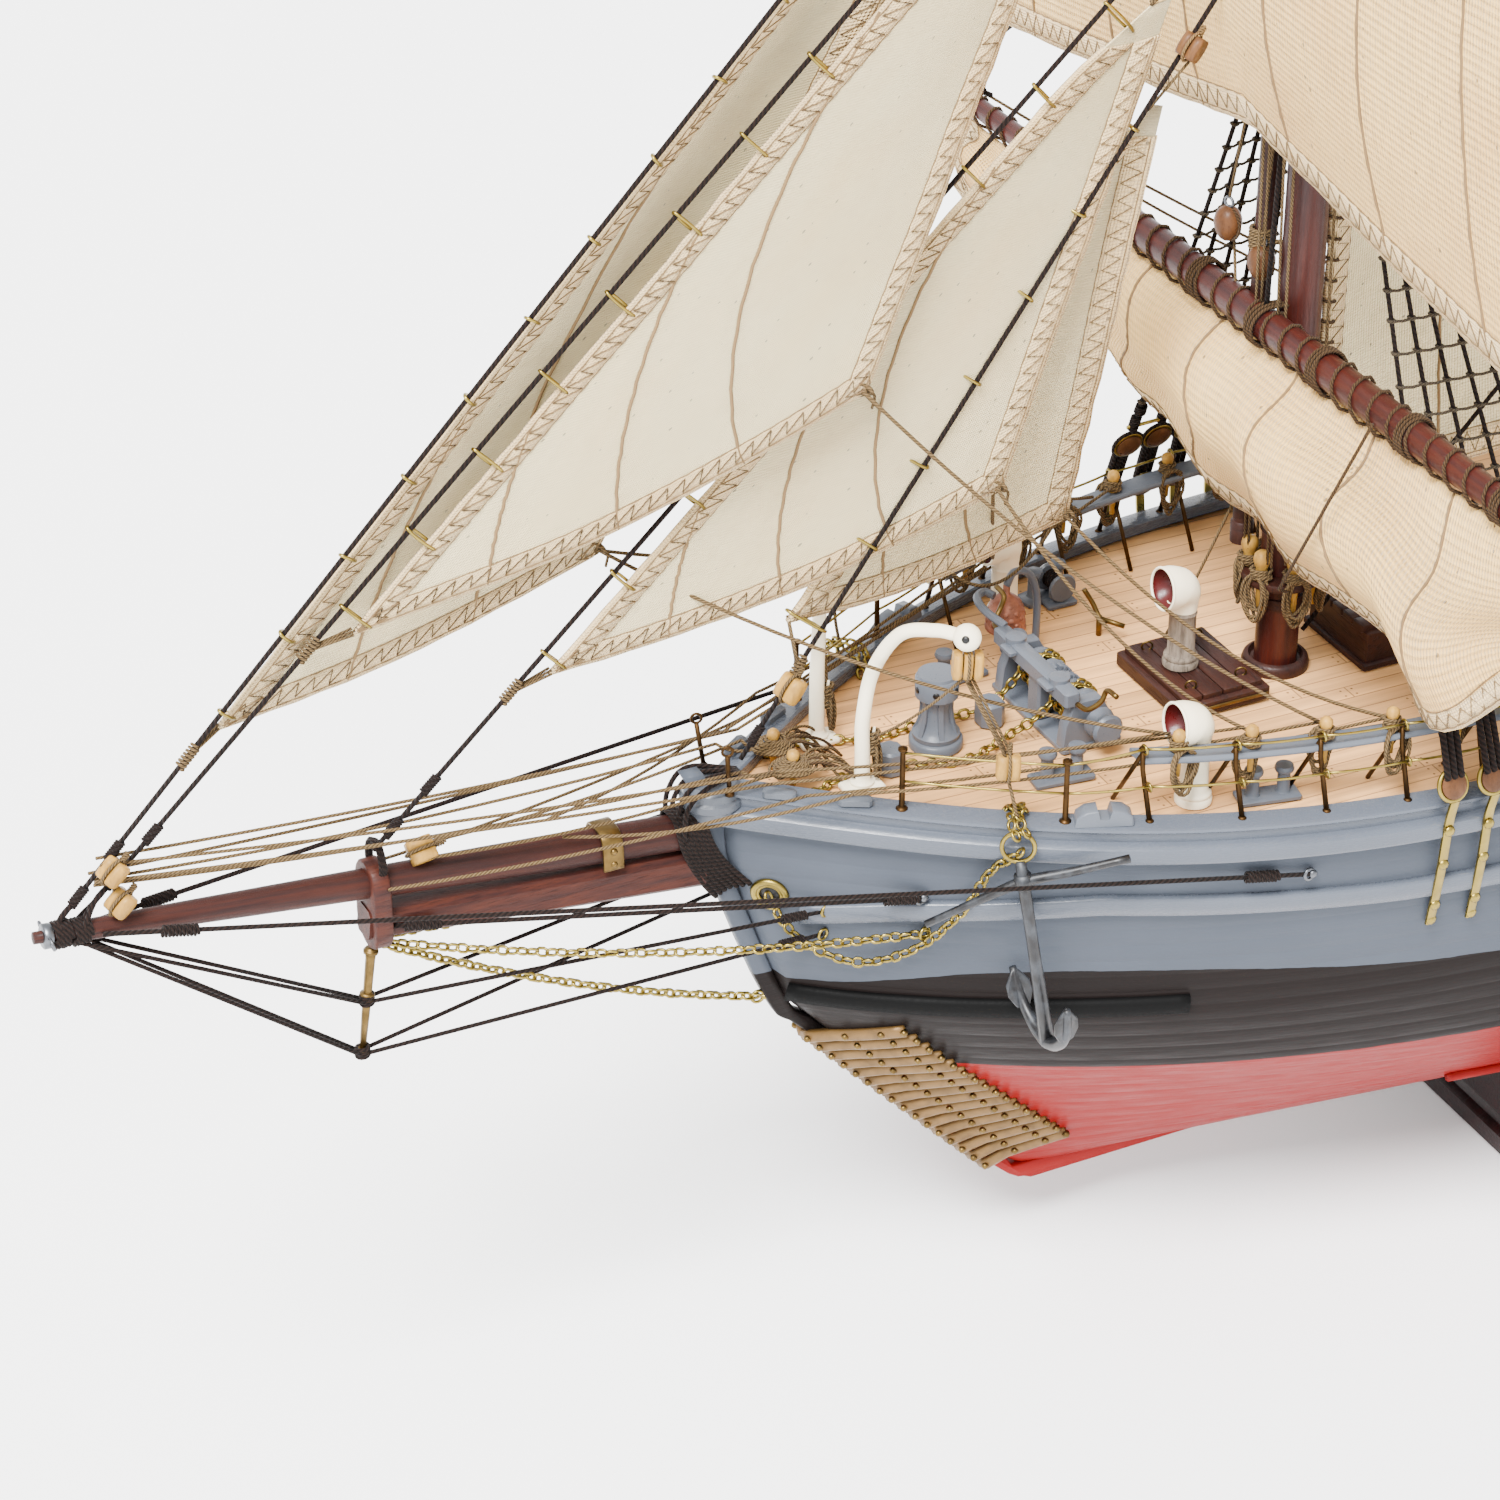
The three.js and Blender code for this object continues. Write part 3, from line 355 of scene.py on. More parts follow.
def linear(r, g, b):
    """Surface colour that these lamps and the film curve show as sRGB r, g, b (0..255)."""
    shown = np.array((r, g, b)) / 255
    for dim in np.linspace(1, 0.5, 101):  # as bright as cloth or paint can be, with its hue kept
        level = np.linalg.inv(FILM_MIX) @ np.interp(FILM_MIX @ (shown * dim), film(LEVELS), LEVELS)
        if level.max() / LIT <= PALEST:
            break
    return (*np.maximum(level / LIT, 0.004).tolist(), 1.0)


def paint(name, colour, rough=0.38, wear=0.12, dark=0.7, grain=(60, 60, 60), shine=0.3):
    """Hand-brushed paint: slow tone changes, fine brush marks and dull patches."""
    m = Nodes(name)
    place = m.place()
    cloud = m.noise(place, 90.0, 3.0)
    marks = m.noise(m.scaled(place, grain), 30.0, 4.0, 0.6)
    shade = tuple(c * dark for c in colour[:3]) + (1.0,)
    base = m.blend(m.ramp(cloud, 0.35, 0.75, 0.0, wear), colour, shade)
    m.set(Base_Color=base, Roughness=m.ramp(marks, 0.3, 0.8, rough - 0.08, rough + 0.14))
    m.shader.inputs["Specular IOR Level"].default_value = shine
    m.bump(marks, 0.14, 0.00025)
    return m.material


def wood(name, light, dark, rough=0.42, uses_lay=False, stretch=(10, 220, 220), pores=0.6, coat=0.05):
    """Open-grained wood; stretch is how fast the grain changes along x, y and z, per metre."""
    m = Nodes(name)
    if uses_lay:
        uv = m.split(m.lay())
        ang = m.math("MULTIPLY", uv[1], TAU)
        ring_x, ring_y = m.math("COSINE", ang), m.math("SINE", ang)
        join = m.node("ShaderNodeCombineXYZ", None, i0=m.math("MULTIPLY", uv[0], 0.012),
                      i1=ring_x, i2=ring_y)
        body, fine = join.outputs[0], m.scaled(join.outputs[0], (7.0, 16.0, 16.0))
        grain = m.noise(body, 2.6, 4.0, 0.6)
        pore = m.noise(fine, 3.0, 4.0, 0.7)
    else:
        place = m.place()
        grain = m.noise(m.scaled(place, stretch), 1.0, 5.0, 0.6)
        pore = m.noise(m.scaled(place, tuple(4.5 * s for s in stretch)), 1.0, 3.0, 0.7)
    tone = m.blend(m.ramp(grain, 0.3, 0.7), dark, light)
    streak = m.ramp(pore, 0.52, 0.72, 0.0, pores)
    deep = tuple(0.35 * c for c in dark[:3]) + (1.0,)
    pale = tuple(min(0.9, 1.9 * c) for c in light[:3]) + (1.0,)
    tone = m.blend(m.ramp(pore, 0.38, 0.24, 0.0, 0.5 * pores), tone, pale)
    m.set(Base_Color=m.blend(streak, tone, deep), Roughness=m.ramp(pore, 0.4, 0.7, rough, rough + 0.2))
    m.shader.inputs["Specular IOR Level"].default_value = 0.16
    m.shader.inputs["Coat Weight"].default_value = coat
    m.shader.inputs["Coat Roughness"].default_value = 0.3
    m.bump(m.math("SUBTRACT", 1.0, streak), 0.45, 0.0003)
    return m.material


def metal(name, colour, rough=0.3, tarnish=(0.25, 0.17, 0.07, 1.0), amount=0.35, level=1.0):
    m = Nodes(name)
    place = m.place()
    cloud = m.noise(place, 320.0, 4.0, 0.6)
    fine = m.noise(place, 2600.0, 2.0)
    m.set(Base_Color=m.blend(m.ramp(cloud, 0.42, 0.72, 0.0, amount), colour, tarnish),
          Roughness=m.ramp(cloud, 0.35, 0.75, rough, rough + 0.2))
    m.shader.inputs["Metallic"].default_value = level
    m.bump(fine, 0.12, 0.0001)
    return m.material


def rope(name, light, dark, pitch=1.1, strands=3.0):
    """Laid rope: strands wind round the length that u measures in millimetres."""
    m = Nodes(name)
    uv = m.split(m.lay())
    turn = m.math("ADD", m.math("MULTIPLY", uv[0], 1.0 / pitch), m.math("MULTIPLY", uv[1], strands))
    wave = m.math("SINE", m.math("MULTIPLY", turn, TAU))
    fuzz = m.noise(m.place(), 1900.0, 3.0, 0.7)
    tone = m.ramp(m.math("ADD", wave, m.math("MULTIPLY", fuzz, 1.2)), -0.6, 1.8)
    m.set(Base_Color=m.blend(tone, dark, light), Roughness=0.85)
    m.shader.inputs["Specular IOR Level"].default_value = 0.04
    m.shader.inputs["Sheen Weight"].default_value = 0.03
    m.bump(m.math("ADD", wave, fuzz), 0.6, 0.00015)
    return m.material


HULL_GREY = linear(143, 149, 159)
CHARCOAL = linear(56, 46, 44)
BOTTOM_RED = linear(206, 72, 71)


RED_TOP = 0.0632     # metres: height of the red bottom paint's upper edge
EDGE_SHARP = 9000.0  # how fast one band of paint gives way to the next, per metre


def hull_paint():
    """Grey topsides, a charcoal band and a red bottom, brushed on over the planks."""
    m = Nodes("hull_bands")
    place = m.place()
    x, _, z = m.split(place)[:3]
    uneven = m.math("MULTIPLY", m.math("SUBTRACT", m.noise(place, 160.0, 3.0), 0.5), 0.0007)
    height = m.math("ADD", z, uneven)
    rise = m.node("ShaderNodeFloatCurve")
    m.feed(rise.inputs[1], m.ramp(x, -0.31, 0.29))
    curve = rise.mapping.curves[0]
    for px, py in ((0.0, 0.87), (0.08, 0.925), (0.22, 0.865), (0.5, 0.835), (0.8, 0.85), (1.0, 0.9)):
        curve.points.new(px, py)
    for end in (curve.points[0], curve.points[-1]):
        end.location = (end.location[0], 0.88)
    rise.mapping.update()
    upper = m.math("MULTIPLY", rise.outputs[0], 0.1)
    grey_edge = m.math("MULTIPLY", m.math("SUBTRACT", height, upper), EDGE_SHARP, clamp=True)
    red_edge = m.math("MULTIPLY", m.math("SUBTRACT", RED_TOP, height), EDGE_SHARP, clamp=True)
    brushed = m.noise(m.scaled(place, (25, 60, 300)), 3.0, 5.0, 0.65)
    cloud = m.noise(place, 55.0, 3.0)
    grey = m.blend(m.ramp(cloud, 0.35, 0.7, 0.0, 0.35), HULL_GREY, linear(131, 138, 148))
    coal = m.blend(m.ramp(brushed, 0.4, 0.7, 0.0, 0.35), CHARCOAL, linear(70, 58, 55))
    red = m.blend(m.ramp(cloud, 0.35, 0.7, 0.0, 0.4), BOTTOM_RED, linear(212, 84, 82))
    colour = m.blend(red_edge, m.blend(grey_edge, coal, grey), red)
    m.set(Base_Color=colour, Roughness=m.ramp(brushed, 0.35, 0.7, 0.3, 0.52))
    m.shader.inputs["Specular IOR Level"].default_value = 0.05
    m.bump(brushed, 0.22, 0.0004)
    return m.material


PLANK_ROWS, PLANK_ENDS = 250.0, 14.0  # planks across and plank lengths along, per metre


def deck_planks():
    """Pale planks 4 mm wide with dark seams, staggered butts and treenails."""
    m = Nodes("deck_planks")
    place = m.place()
    x, y, _ = m.split(place)[:3]
    across = m.math("ADD", m.math("MULTIPLY", y, PLANK_ROWS), 200.5)
    row = m.math("FLOOR", across)
    inside = m.math("FRACT", across)
    jitter = m.white(row)
    shift = m.math("ADD", m.math("MULTIPLY", x, PLANK_ENDS), m.math("MULTIPLY", jitter, 7.0))
    length = m.math("ADD", shift, 40.0)
    piece, lengthwise = m.math("FLOOR", length), m.math("FRACT", length)
    key = m.math("ADD", m.math("MULTIPLY", row, 3.7), m.math("MULTIPLY", piece, 11.3))
    tint = m.white(key)
    grain = m.noise(m.scaled(place, (18, 420, 200)), 1.0, 5.0, 0.65)
    base = m.blend(m.ramp(grain, 0.3, 0.75), linear(240, 224, 196), linear(224, 202, 170))
    base = m.blend(m.ramp(tint, 0.0, 1.0, 0.0, 0.42), base, linear(212, 186, 150))
    seam = m.math("GREATER_THAN", m.math("ABSOLUTE", m.math("SUBTRACT", inside, 0.5)), 0.465)
    butt = m.math("LESS_THAN", lengthwise, 0.0045)
    groove = m.math("MAXIMUM", seam, butt)
    # Treenails: two on each side of every butt.
    from_butt = m.math("PINGPONG", length, 0.5)
    dx = m.math("MULTIPLY", m.math("SUBTRACT", from_butt, 0.018), 1.0 / PLANK_ENDS)
    dy = m.math("MULTIPLY", m.math("SUBTRACT", m.math("ABSOLUTE", m.math("SUBTRACT", inside, 0.5)), 0.25),
                1.0 / PLANK_ROWS)
    away = m.math("SQRT", m.math("ADD", m.math("MULTIPLY", dx, dx), m.math("MULTIPLY", dy, dy)))
    nail = m.math("LESS_THAN", away, 0.00026)
    base = m.blend(m.math("MULTIPLY", groove, 0.62), base, linear(150, 118, 92))
    base = m.blend(m.math("MULTIPLY", nail, 0.75), base, linear(96, 60, 40))
    m.set(Base_Color=base, Roughness=0.58)
    m.shader.inputs["Specular IOR Level"].default_value = 0.2
    m.bump(m.math("SUBTRACT", m.math("MULTIPLY", grain, 0.35), groove), 0.35, 0.0002)
    return m.material


def cotton(name, tone, deep, weave=2.6, loose=1.0):
    """Plain-weave cloth with slubs and flecks: weave threads per millimetre, and loose times that across."""
    m = Nodes(name)
    uv = m.lay()
    u, v, _ = m.split(uv)[:3]
    warp = m.math("SINE", m.math("MULTIPLY", u, TAU * weave * loose))
    weft = m.math("SINE", m.math("MULTIPLY", v, TAU * weave))
    slub = m.noise(m.scaled(uv, (0.12, 2.0, 1.0)), 1.6, 3.0)
    slub2 = m.noise(m.scaled(uv, (2.0, 0.12, 1.0)), 1.6, 3.0)
    cells = m.math("ADD", m.math("MULTIPLY", warp, 0.5), m.math("MULTIPLY", weft, 0.5))
    threads = m.math("ADD", cells, m.math("ADD", slub, slub2))
    stain = m.noise(uv, 0.03, 3.0)
    base = m.blend(m.ramp(stain, 0.35, 0.7, 0.0, 0.5), tone, deep)
    base = m.blend(m.ramp(threads, 1.4, -0.6, 0.0, 0.62), base, tuple(0.66 * c for c in deep[:3]) + (1,))
    spot = m.node("ShaderNodeTexVoronoi", {"voronoi_dimensions": "2D"}, Vector=uv, Scale=0.11)
    fleck = m.math("LESS_THAN", spot.outputs["Distance"], m.math("MULTIPLY", m.white(
        m.math("FLOOR", m.math("MULTIPLY", m.split(spot.outputs["Color"])[0], 997.0))), 0.045))
    base = m.blend(m.math("MULTIPLY", fleck, 0.65), base, linear(120, 95, 70))
    m.set(Base_Color=base, Roughness=0.9)
    m.shader.inputs["Specular IOR Level"].default_value = 0.1
    m.shader.inputs["Sheen Weight"].default_value = 0.2
    m.bump(threads, 0.9, 0.0004)
    through = m.node("ShaderNodeBsdfTranslucent", None, Color=base)
    both = m.node("ShaderNodeMixShader", None, i0=0.1, i1=m.shader.outputs[0], i2=through.outputs[0])
    out = m.tree.nodes["Material Output"]
    m.tree.links.new(both.outputs[0], out.inputs["Surface"])
    return m.material


def plain(name, colour, rough=0.5, bump=0.2, scale=900.0):
    m = Nodes(name)
    cloud = m.noise(m.place(), scale, 3.0)
    m.set(Base_Color=m.blend(m.ramp(cloud, 0.3, 0.75, 0.0, 0.3), colour,
                             tuple(0.6 * c for c in colour[:3]) + (1,)), Roughness=rough)
    m.bump(cloud, bump, 0.0001)
    return m.material


HULL = hull_paint()
GREY = paint("grey_paint", linear(160, 165, 173), 0.34, 0.3)
RAIL = paint("rail_paint", linear(152, 158, 168), 0.26, 0.3, 0.8, (20, 20, 200))
STEM = paint("stem_paint", linear(150, 155, 163), 0.32, 0.3)
DECK = deck_planks()
MAHOGANY = wood("mahogany_spar", linear(136, 66, 42), linear(78, 33, 22), 0.5, uses_lay=True)
SPRIT = wood("mahogany_plank", linear(148, 74, 48), linear(92, 42, 28), 0.52, stretch=(50, 600, 600))
HATCH = wood("mahogany_hatch", linear(122, 70, 54), linear(84, 46, 36), 0.42, stretch=(260, 30, 260))
MAST = wood("mahogany_mast", linear(146, 66, 42), linear(98, 38, 24), 0.36, uses_lay=True, coat=0.2)
STAND = wood("stand_mahogany", linear(92, 36, 28), linear(56, 22, 20), 0.3, stretch=(16, 260, 260), coat=0.3)
BOX = wood("boxwood", linear(228, 206, 146), linear(202, 174, 114), 0.42, stretch=(500, 500, 120), pores=0.2)
VARNISH = wood("varnished_teak", linear(166, 100, 60), linear(120, 66, 40), 0.34, stretch=(30, 300, 300),
               coat=0.2)
PLY = wood("plywood", linear(214, 180, 130), linear(186, 150, 104), 0.7, stretch=(300, 30, 300))
BRASS = metal("brass", linear(210, 198, 142), 0.26, linear(144, 128, 84))
OLD_BRASS = metal("old_brass", linear(186, 164, 116), 0.36, linear(112, 92, 64), 0.55)
DARK_BRASS = metal("dark_brass", linear(140, 108, 70), 0.4, linear(82, 60, 42), 0.55)
SHEATH = metal("ice_sheathing", linear(188, 158, 104), 0.42, linear(142, 114, 72), 0.5, 0.5)
COPPER = metal("copper", linear(214, 172, 150), 0.42, linear(164, 120, 98), 0.7, 0.6)
IRON = metal("black_iron", linear(48, 46, 50), 0.36, linear(150, 156, 164), 0.5, 0.3)
WHITE = paint("white_paint", linear(240, 238, 232), 0.34, 0.3, 0.62, (200, 200, 30))
RED = paint("red_paint", linear(158, 30, 26), 0.32, 0.2)
BUFF = paint("buff_paint", linear(226, 202, 148), 0.34, 0.3)
# Near-black strip along the bow, darker than the charcoal band that it lies on.
NEAR_BLACK_STRIP = paint("near_black_strip", linear(38, 30, 29), 0.5, 0.2, shine=0.03)
# Black paint for the funnel top. The same black also fills thin discs that stand for the painted shade inside
# holes.
BLACK_PAINT_AND_HOLE_SHADE = paint("black_paint_and_hole_shade", linear(40, 38, 40), 0.4, 0.3)
CANVAS = cotton("sail_cotton", linear(251, 248, 236), linear(247, 241, 223), 1.5)
WARM_CANVAS = cotton("course_cotton", linear(246, 236, 206), linear(236, 216, 174), 1.2, 0.62)
HEM = cotton("hem_cotton", linear(248, 242, 226), linear(240, 229, 206), 1.5)
THREAD = plain("stitch_thread", linear(192, 168, 128), 0.9)
TAN_ROPE = rope("tan_rope", linear(190, 170, 136), linear(120, 100, 74), 0.9)
DARK_ROPE = rope("dark_rope", linear(88, 66, 58), linear(42, 32, 28), 1.2)
LIGHT_ROPE = rope("light_rope", linear(206, 184, 146), linear(146, 122, 88), 0.8)
SILVER = metal("bright_steel", linear(176, 178, 182), 0.3, linear(96, 96, 98), 0.4)
RATLINE = rope("ratline_cord", linear(158, 146, 128), linear(96, 84, 70), 0.7)
LACING = rope("lacing_cord", linear(150, 122, 90), linear(92, 70, 50), 0.8)
BLOCK_WOOD = wood("block_wood", linear(184, 142, 98), linear(140, 100, 64), 0.42, stretch=(500, 500, 120),
                  pores=0.3)
GLASS = plain("dark_glass", linear(40, 52, 60), 0.12, 0.05)
DEADEYE = wood("deadeye_wood", linear(178, 130, 86), linear(132, 88, 54), 0.42, stretch=(300, 300, 120),
               pores=0.3)
WEATHERED = wood("weathered_trunk", linear(206, 198, 188), linear(138, 122, 108), 0.6, stretch=(400, 400, 60),
                 pores=0.6)
FELT = plain("green_felt", linear(40, 52, 40), 0.95, 0.4)


# ---------------------------------------------------------------- hull form, as the CAD has it
GAP = 0.35
KEEL_TOP, DECK_EDGE, DECK_THICK = 19.4, 123.6, 2.0
STEM_LINE = ((16, -243), (23, -253), (69, -295), (79, -304), (112, -316), (127, -318), (136, -322))
STERN_LINE = ((20, 237), (60, 238), (84, 252), (94, 256), (110, 279), (124, 290))
STEM_DEPTH, STEM_WIDTH = 2.7, 3.5
SIDES = (("port", -1), ("starboard", 1))


def stem_x(z):
    return along(STEM_LINE, z)


def half_breadth(x, z):
    w = clamp01((z - 18.2) / 107)
    body = 63.5 * (1 - (1 - w) ** 3.2) ** 0.45
    bow_length = along(((20, 329), (63, 200), (90, 210), (125, 190)), z)
    stern_length = along(((20, 300), (60, 250), (90, 150), (125, 105)), z)
    flare, fullness = clamp01((z - 90) / 35), clamp01((z - 70) / 45)
    t_bow = clamp01((x - stem_x(z)) / bow_length)
    t_stern = clamp01((along(STERN_LINE, z) - x) / stern_length)
    bow = (1 - (1 - t_bow) ** mix(2.4, 3, flare)) ** mix(0.85, 1.15, flare)
    stern = (1 - (1 - t_stern) ** 2.3) ** mix(1.15, 0.6, fullness)
    return body * bow * stern


def deck_top(x):
    return 125.6 + 4.2 * (max(0, -x - 150) / 168) ** 2 + 5.5 * (max(0, x - 20) / 270) ** 2


def sheer(x):
    return deck_top(x) - DECK_THICK - GAP - DECK_EDGE


def skin_point(w, s, sign):
    """Point of the planking at height fraction w, from stem (s = 0) to stern (s = 1)."""
    nominal = mix(KEEL_TOP + GAP, DECK_EDGE, w)
    x = mix(stem_x(nominal) + STEM_DEPTH + GAP, along(STERN_LINE, nominal), s)
    tip = s <= 0 or s >= 1
    y = 0 if tip else max(0.3, half_breadth(x, nominal))
    return vec(x, sign * y, nominal + sheer(x) * w ** 3)


def side_point(x, z, sign, off=0.0):
    """Point on the planking at x and z, moved off outwards."""
    def at(px, pz):
        w = (pz - KEEL_TOP - GAP) / (DECK_EDGE - KEEL_TOP - GAP)
        for _ in range(3):
            w = (pz - sheer(px) * clamp01(w) ** 3 - KEEL_TOP - GAP) / (DECK_EDGE - KEEL_TOP - GAP)
        nominal = mix(KEEL_TOP + GAP, DECK_EDGE, w)
        return vec(px, max(0.3, half_breadth(px, min(nominal, 125.0))), pz)
    p = at(x, z)
    if off:
        dx, dz = at(x + 0.6, z) - at(x - 0.6, z), at(x, z + 0.6) - at(x, z - 0.6)
        p = p + off * unit(np.cross(dz, dx))
    p[1] *= sign
    return p


def stations(count):
    """Fractions from stem to stern, closer together where the waterlines turn."""
    t = np.arange(count + 1) / count
    return mix(t, (1 - np.cos(np.pi * t)) / 2, 0.75)


# ---------------------------------------------------------------- hull
STRAKES = 25


def make_hull():
    """Each side in strakes of planking with a fine groove between them."""
    shape = Shape()
    ss = stations(110)
    levels = []
    for k in range(STRAKES):
        levels += [((k + f) / STRAKES, g) for f, g in ((0.0, 0.05), (0.05, 0.0), (0.5, -0.02), (0.95, 0.0))]
    levels.append((1.0, 0.0))
    for _, sign in SIDES:
        rows = np.array([[skin_point(w, s, sign) for s in ss] for w, _ in levels])
        inner = np.array([g for _, g in levels])
        rows[:, 1:-1, 1] -= sign * inner[:, None]
        if sign > 0:
            rows = rows[:, ::-1]
        v = np.linspace(0, 1, rows.shape[1])
        shape.grid(rows, wrap=False, v=v)
    # Inner deck shelf, so the shell is closed under the deck.
    top = [skin_point(1.0, s, -1) for s in ss]
    ring = np.array(top + [p * vec(1, -1, 1) for p in top[-2:0:-1]])
    low = ring * vec(0.985, 0.95, 1) - vec(0, 0, 0.2)
    shape.grid([ring, low, low - vec(0, 0, 3)], caps=False)
    shape.make("hull_skin", "hull_paint", HULL, replaces=["hull_planking"])


def ribbon(shape, xs, z_of, section, sign):
    """A moulding bent along the planking: section is (outward, upward) points, anticlockwise."""
    rows = [[side_point(x, z_of(x) + dz, sign, out) for out, dz in section] for x in xs]
    if sign < 0:
        rows = rows[::-1]
    shape.grid(rows)


def rounded(out, low, high, edge=0.5, back=-0.4):
    """Section of a flat strip with a soft outer edge."""
    return ((back, low), (out - edge, low), (out, low + edge), (out, high - edge), (out - edge, high),
            (back, high))


def wale_z(x):
    return along(((-303, 104.6), (-285, 108), (-253, 111.0), (-197, 108.2), (-120, 106.8), (20, 106.2),
                  (150, 108), (262, 113)), x)


def make_mouldings():
    shape = Shape()
    xs = np.concatenate([np.linspace(-301.5, -200, 50), np.linspace(-196, 252, 88)])
    for _, sign in SIDES:
        ribbon(shape, xs, wale_z, rounded(1.55, -2.3, 2.2, 0.4), sign)
    shape.make("rubbing_strakes", "hull_paint", RAIL)

    # Near-black strips along the bow over the charcoal band, and grey strips along the bilge.
    near_black_bow, shape = Shape(), Shape()
    for _, sign in SIDES:
        xs = np.linspace(-301.5, -233.5, 34)
        ribbon(near_black_bow, xs, lambda x: 0.0, rounded(1.7, 81.0, 85.4, 0.9), sign)
        bilge = np.linspace(-160, 120, 50)
        ribbon(shape, bilge, lambda x: 0.0, rounded(1.6, 33.0, 35.2, 0.6), sign)
    near_black_bow.make("bow_doublings", "hull_paint", NEAR_BLACK_STRIP)
    shape.make("hull_doublings", "hull_paint", HULL)


def outline_points(count=150):
    """Deck edge once round from the stem, with outward directions in plan."""
    half = [skin_point(1.0, s, -1) for s in stations(count)]
    ring = np.array(half + [p * vec(1, -1, 1) for p in half[-2:0:-1]])
    # Port side runs aft first, so outward is to the right of the way round.
    out = outward(ring[:, :2])
    if np.dot(out[count // 2], (0, -1)) < 0:
        out = -out
    return ring, out


RAIL_SECTION = ((-3.5, 0.3), (-3.6, 2.6), (-3.2, 3.0), (0.9, 2.6), (1.5, 2.3), (1.6, 1.8), (1.2, 1.4),
                (0.9, 1.2), (0.8, -0.6), (2.1, -0.9), (2.7, -1.5), (2.8, -4.0), (2.4, -4.7), (0.9, -5.0),
                (0.35, -5.3), (0.3, 0.3))


def make_rails():
    ring, out = outline_points()
    n = len(ring)
    rows = [[(p[0] + o[0] * d, p[1] + o[1] * d, deck_top(p[0]) + h) for d, h in RAIL_SECTION]
            for p, o in zip(ring, out)]
    rows = np.array(rows)
    for side, sign in SIDES:
        keep = [k for k in range(n) if ring[k][1] * sign > 0.9]
        keep = keep + [n // 2] if sign < 0 else [n // 2] + keep  # both rails meet at the stern
        part = rows[keep].copy()
        part[:, :, 1] = sign * np.maximum(sign * part[:, :, 1], 0.1)
        if sign < 0:
            part = part[:, ::-1]
        shape = Shape()
        shape.grid(part[:, ::-1])
        shape.make(f"cap_rail_{side}_moulded", "hull_paint", RAIL, replaces=[f"cap_rail_{side}"], flat=38)


def plate_xz(shape, outline, half, bevel=0.35):
    """Plate whose outline is in the X-Z plane, anticlockwise seen from port, with soft edges."""
    o = np.array(outline, dtype=float)
    out = outward(o)
    rows = []
    for y, inset in ((half, bevel), (half - bevel, 0), (bevel - half, 0), (-half, bevel)):
        q = o - out * inset
        rows.append(np.column_stack([q[:, 0], np.full(len(q), y), q[:, 1]]))
    shape.grid(rows)


def make_backbone():
    """Stem, keel and stern post as one run of timber outside the planking, and the head block."""
    shape = Shape()
    stem = smooth([(x, 0, z) for z, x in STEM_LINE], 4)
    front = [(p[0], p[2]) for p in stem]
    back = [(p[0] + STEM_DEPTH + 1.2, p[2]) for p in stem if p[2] > KEEL_TOP + 1]
    outline = ([(256.3, 82), (256.3, 16)] + front + back[::-1]
               + [(back[0][0] + 1.5, KEEL_TOP + 1), (248, KEEL_TOP + 1), (251.2, KEEL_TOP + 1.5), (251.2, 80),
                  (254.4, 90)])
    plate_xz(shape, outline[::-1] if area2(outline) < 0 else outline, STEM_WIDTH / 2)
    shape.make("stem_and_keel", "hull_paint", HULL, replaces=["keel_and_stem"])

    # Rounded nose where the rails meet, low chocks beside it and small ones on the rail.
    head = Shape()
    deck = deck_top(-318)
    head.turned(((0.001, -4.2), (4.6, -4.1), (5.5, -3.4), (5.7, -1.4), (6.3, -0.8), (6.3, 0.6), (5.7, 1.1),
                 (5.6, 2.6), (4.7, 3.5), (0.001, 3.7)), 32, (-315.6, 0, deck))
    for sign in (-1, 1):
        for x, y, spin in ((-306, 9.5, 0.62), (-294, 17.4, 0.5)):
            head.box((x - 3.2, sign * y - 1.2, deck_top(x) + 2.4),
                     (x + 3.2, sign * y + 1.2, deck_top(x) + 4.6), 0.55, spin=sign * spin)
    head.make("stem_head", "hull_paint", STEM, flat=40)


def area2(outline):
    o = np.array(outline)
    q = np.roll(o, -1, 0)
    return float((o[:, 0] * q[:, 1] - q[:, 0] * o[:, 1]).sum())


# ---------------------------------------------------------------- ice sheathing
def across_and_out(path, i, up):
    """Directions across a strip and away from its face, at point i of its path."""
    step = unit(path[min(i + 1, len(path) - 1)] - path[max(i - 1, 0)])
    across = unit(up - step * np.dot(up, step))
    return across, unit(np.cross(step, across))


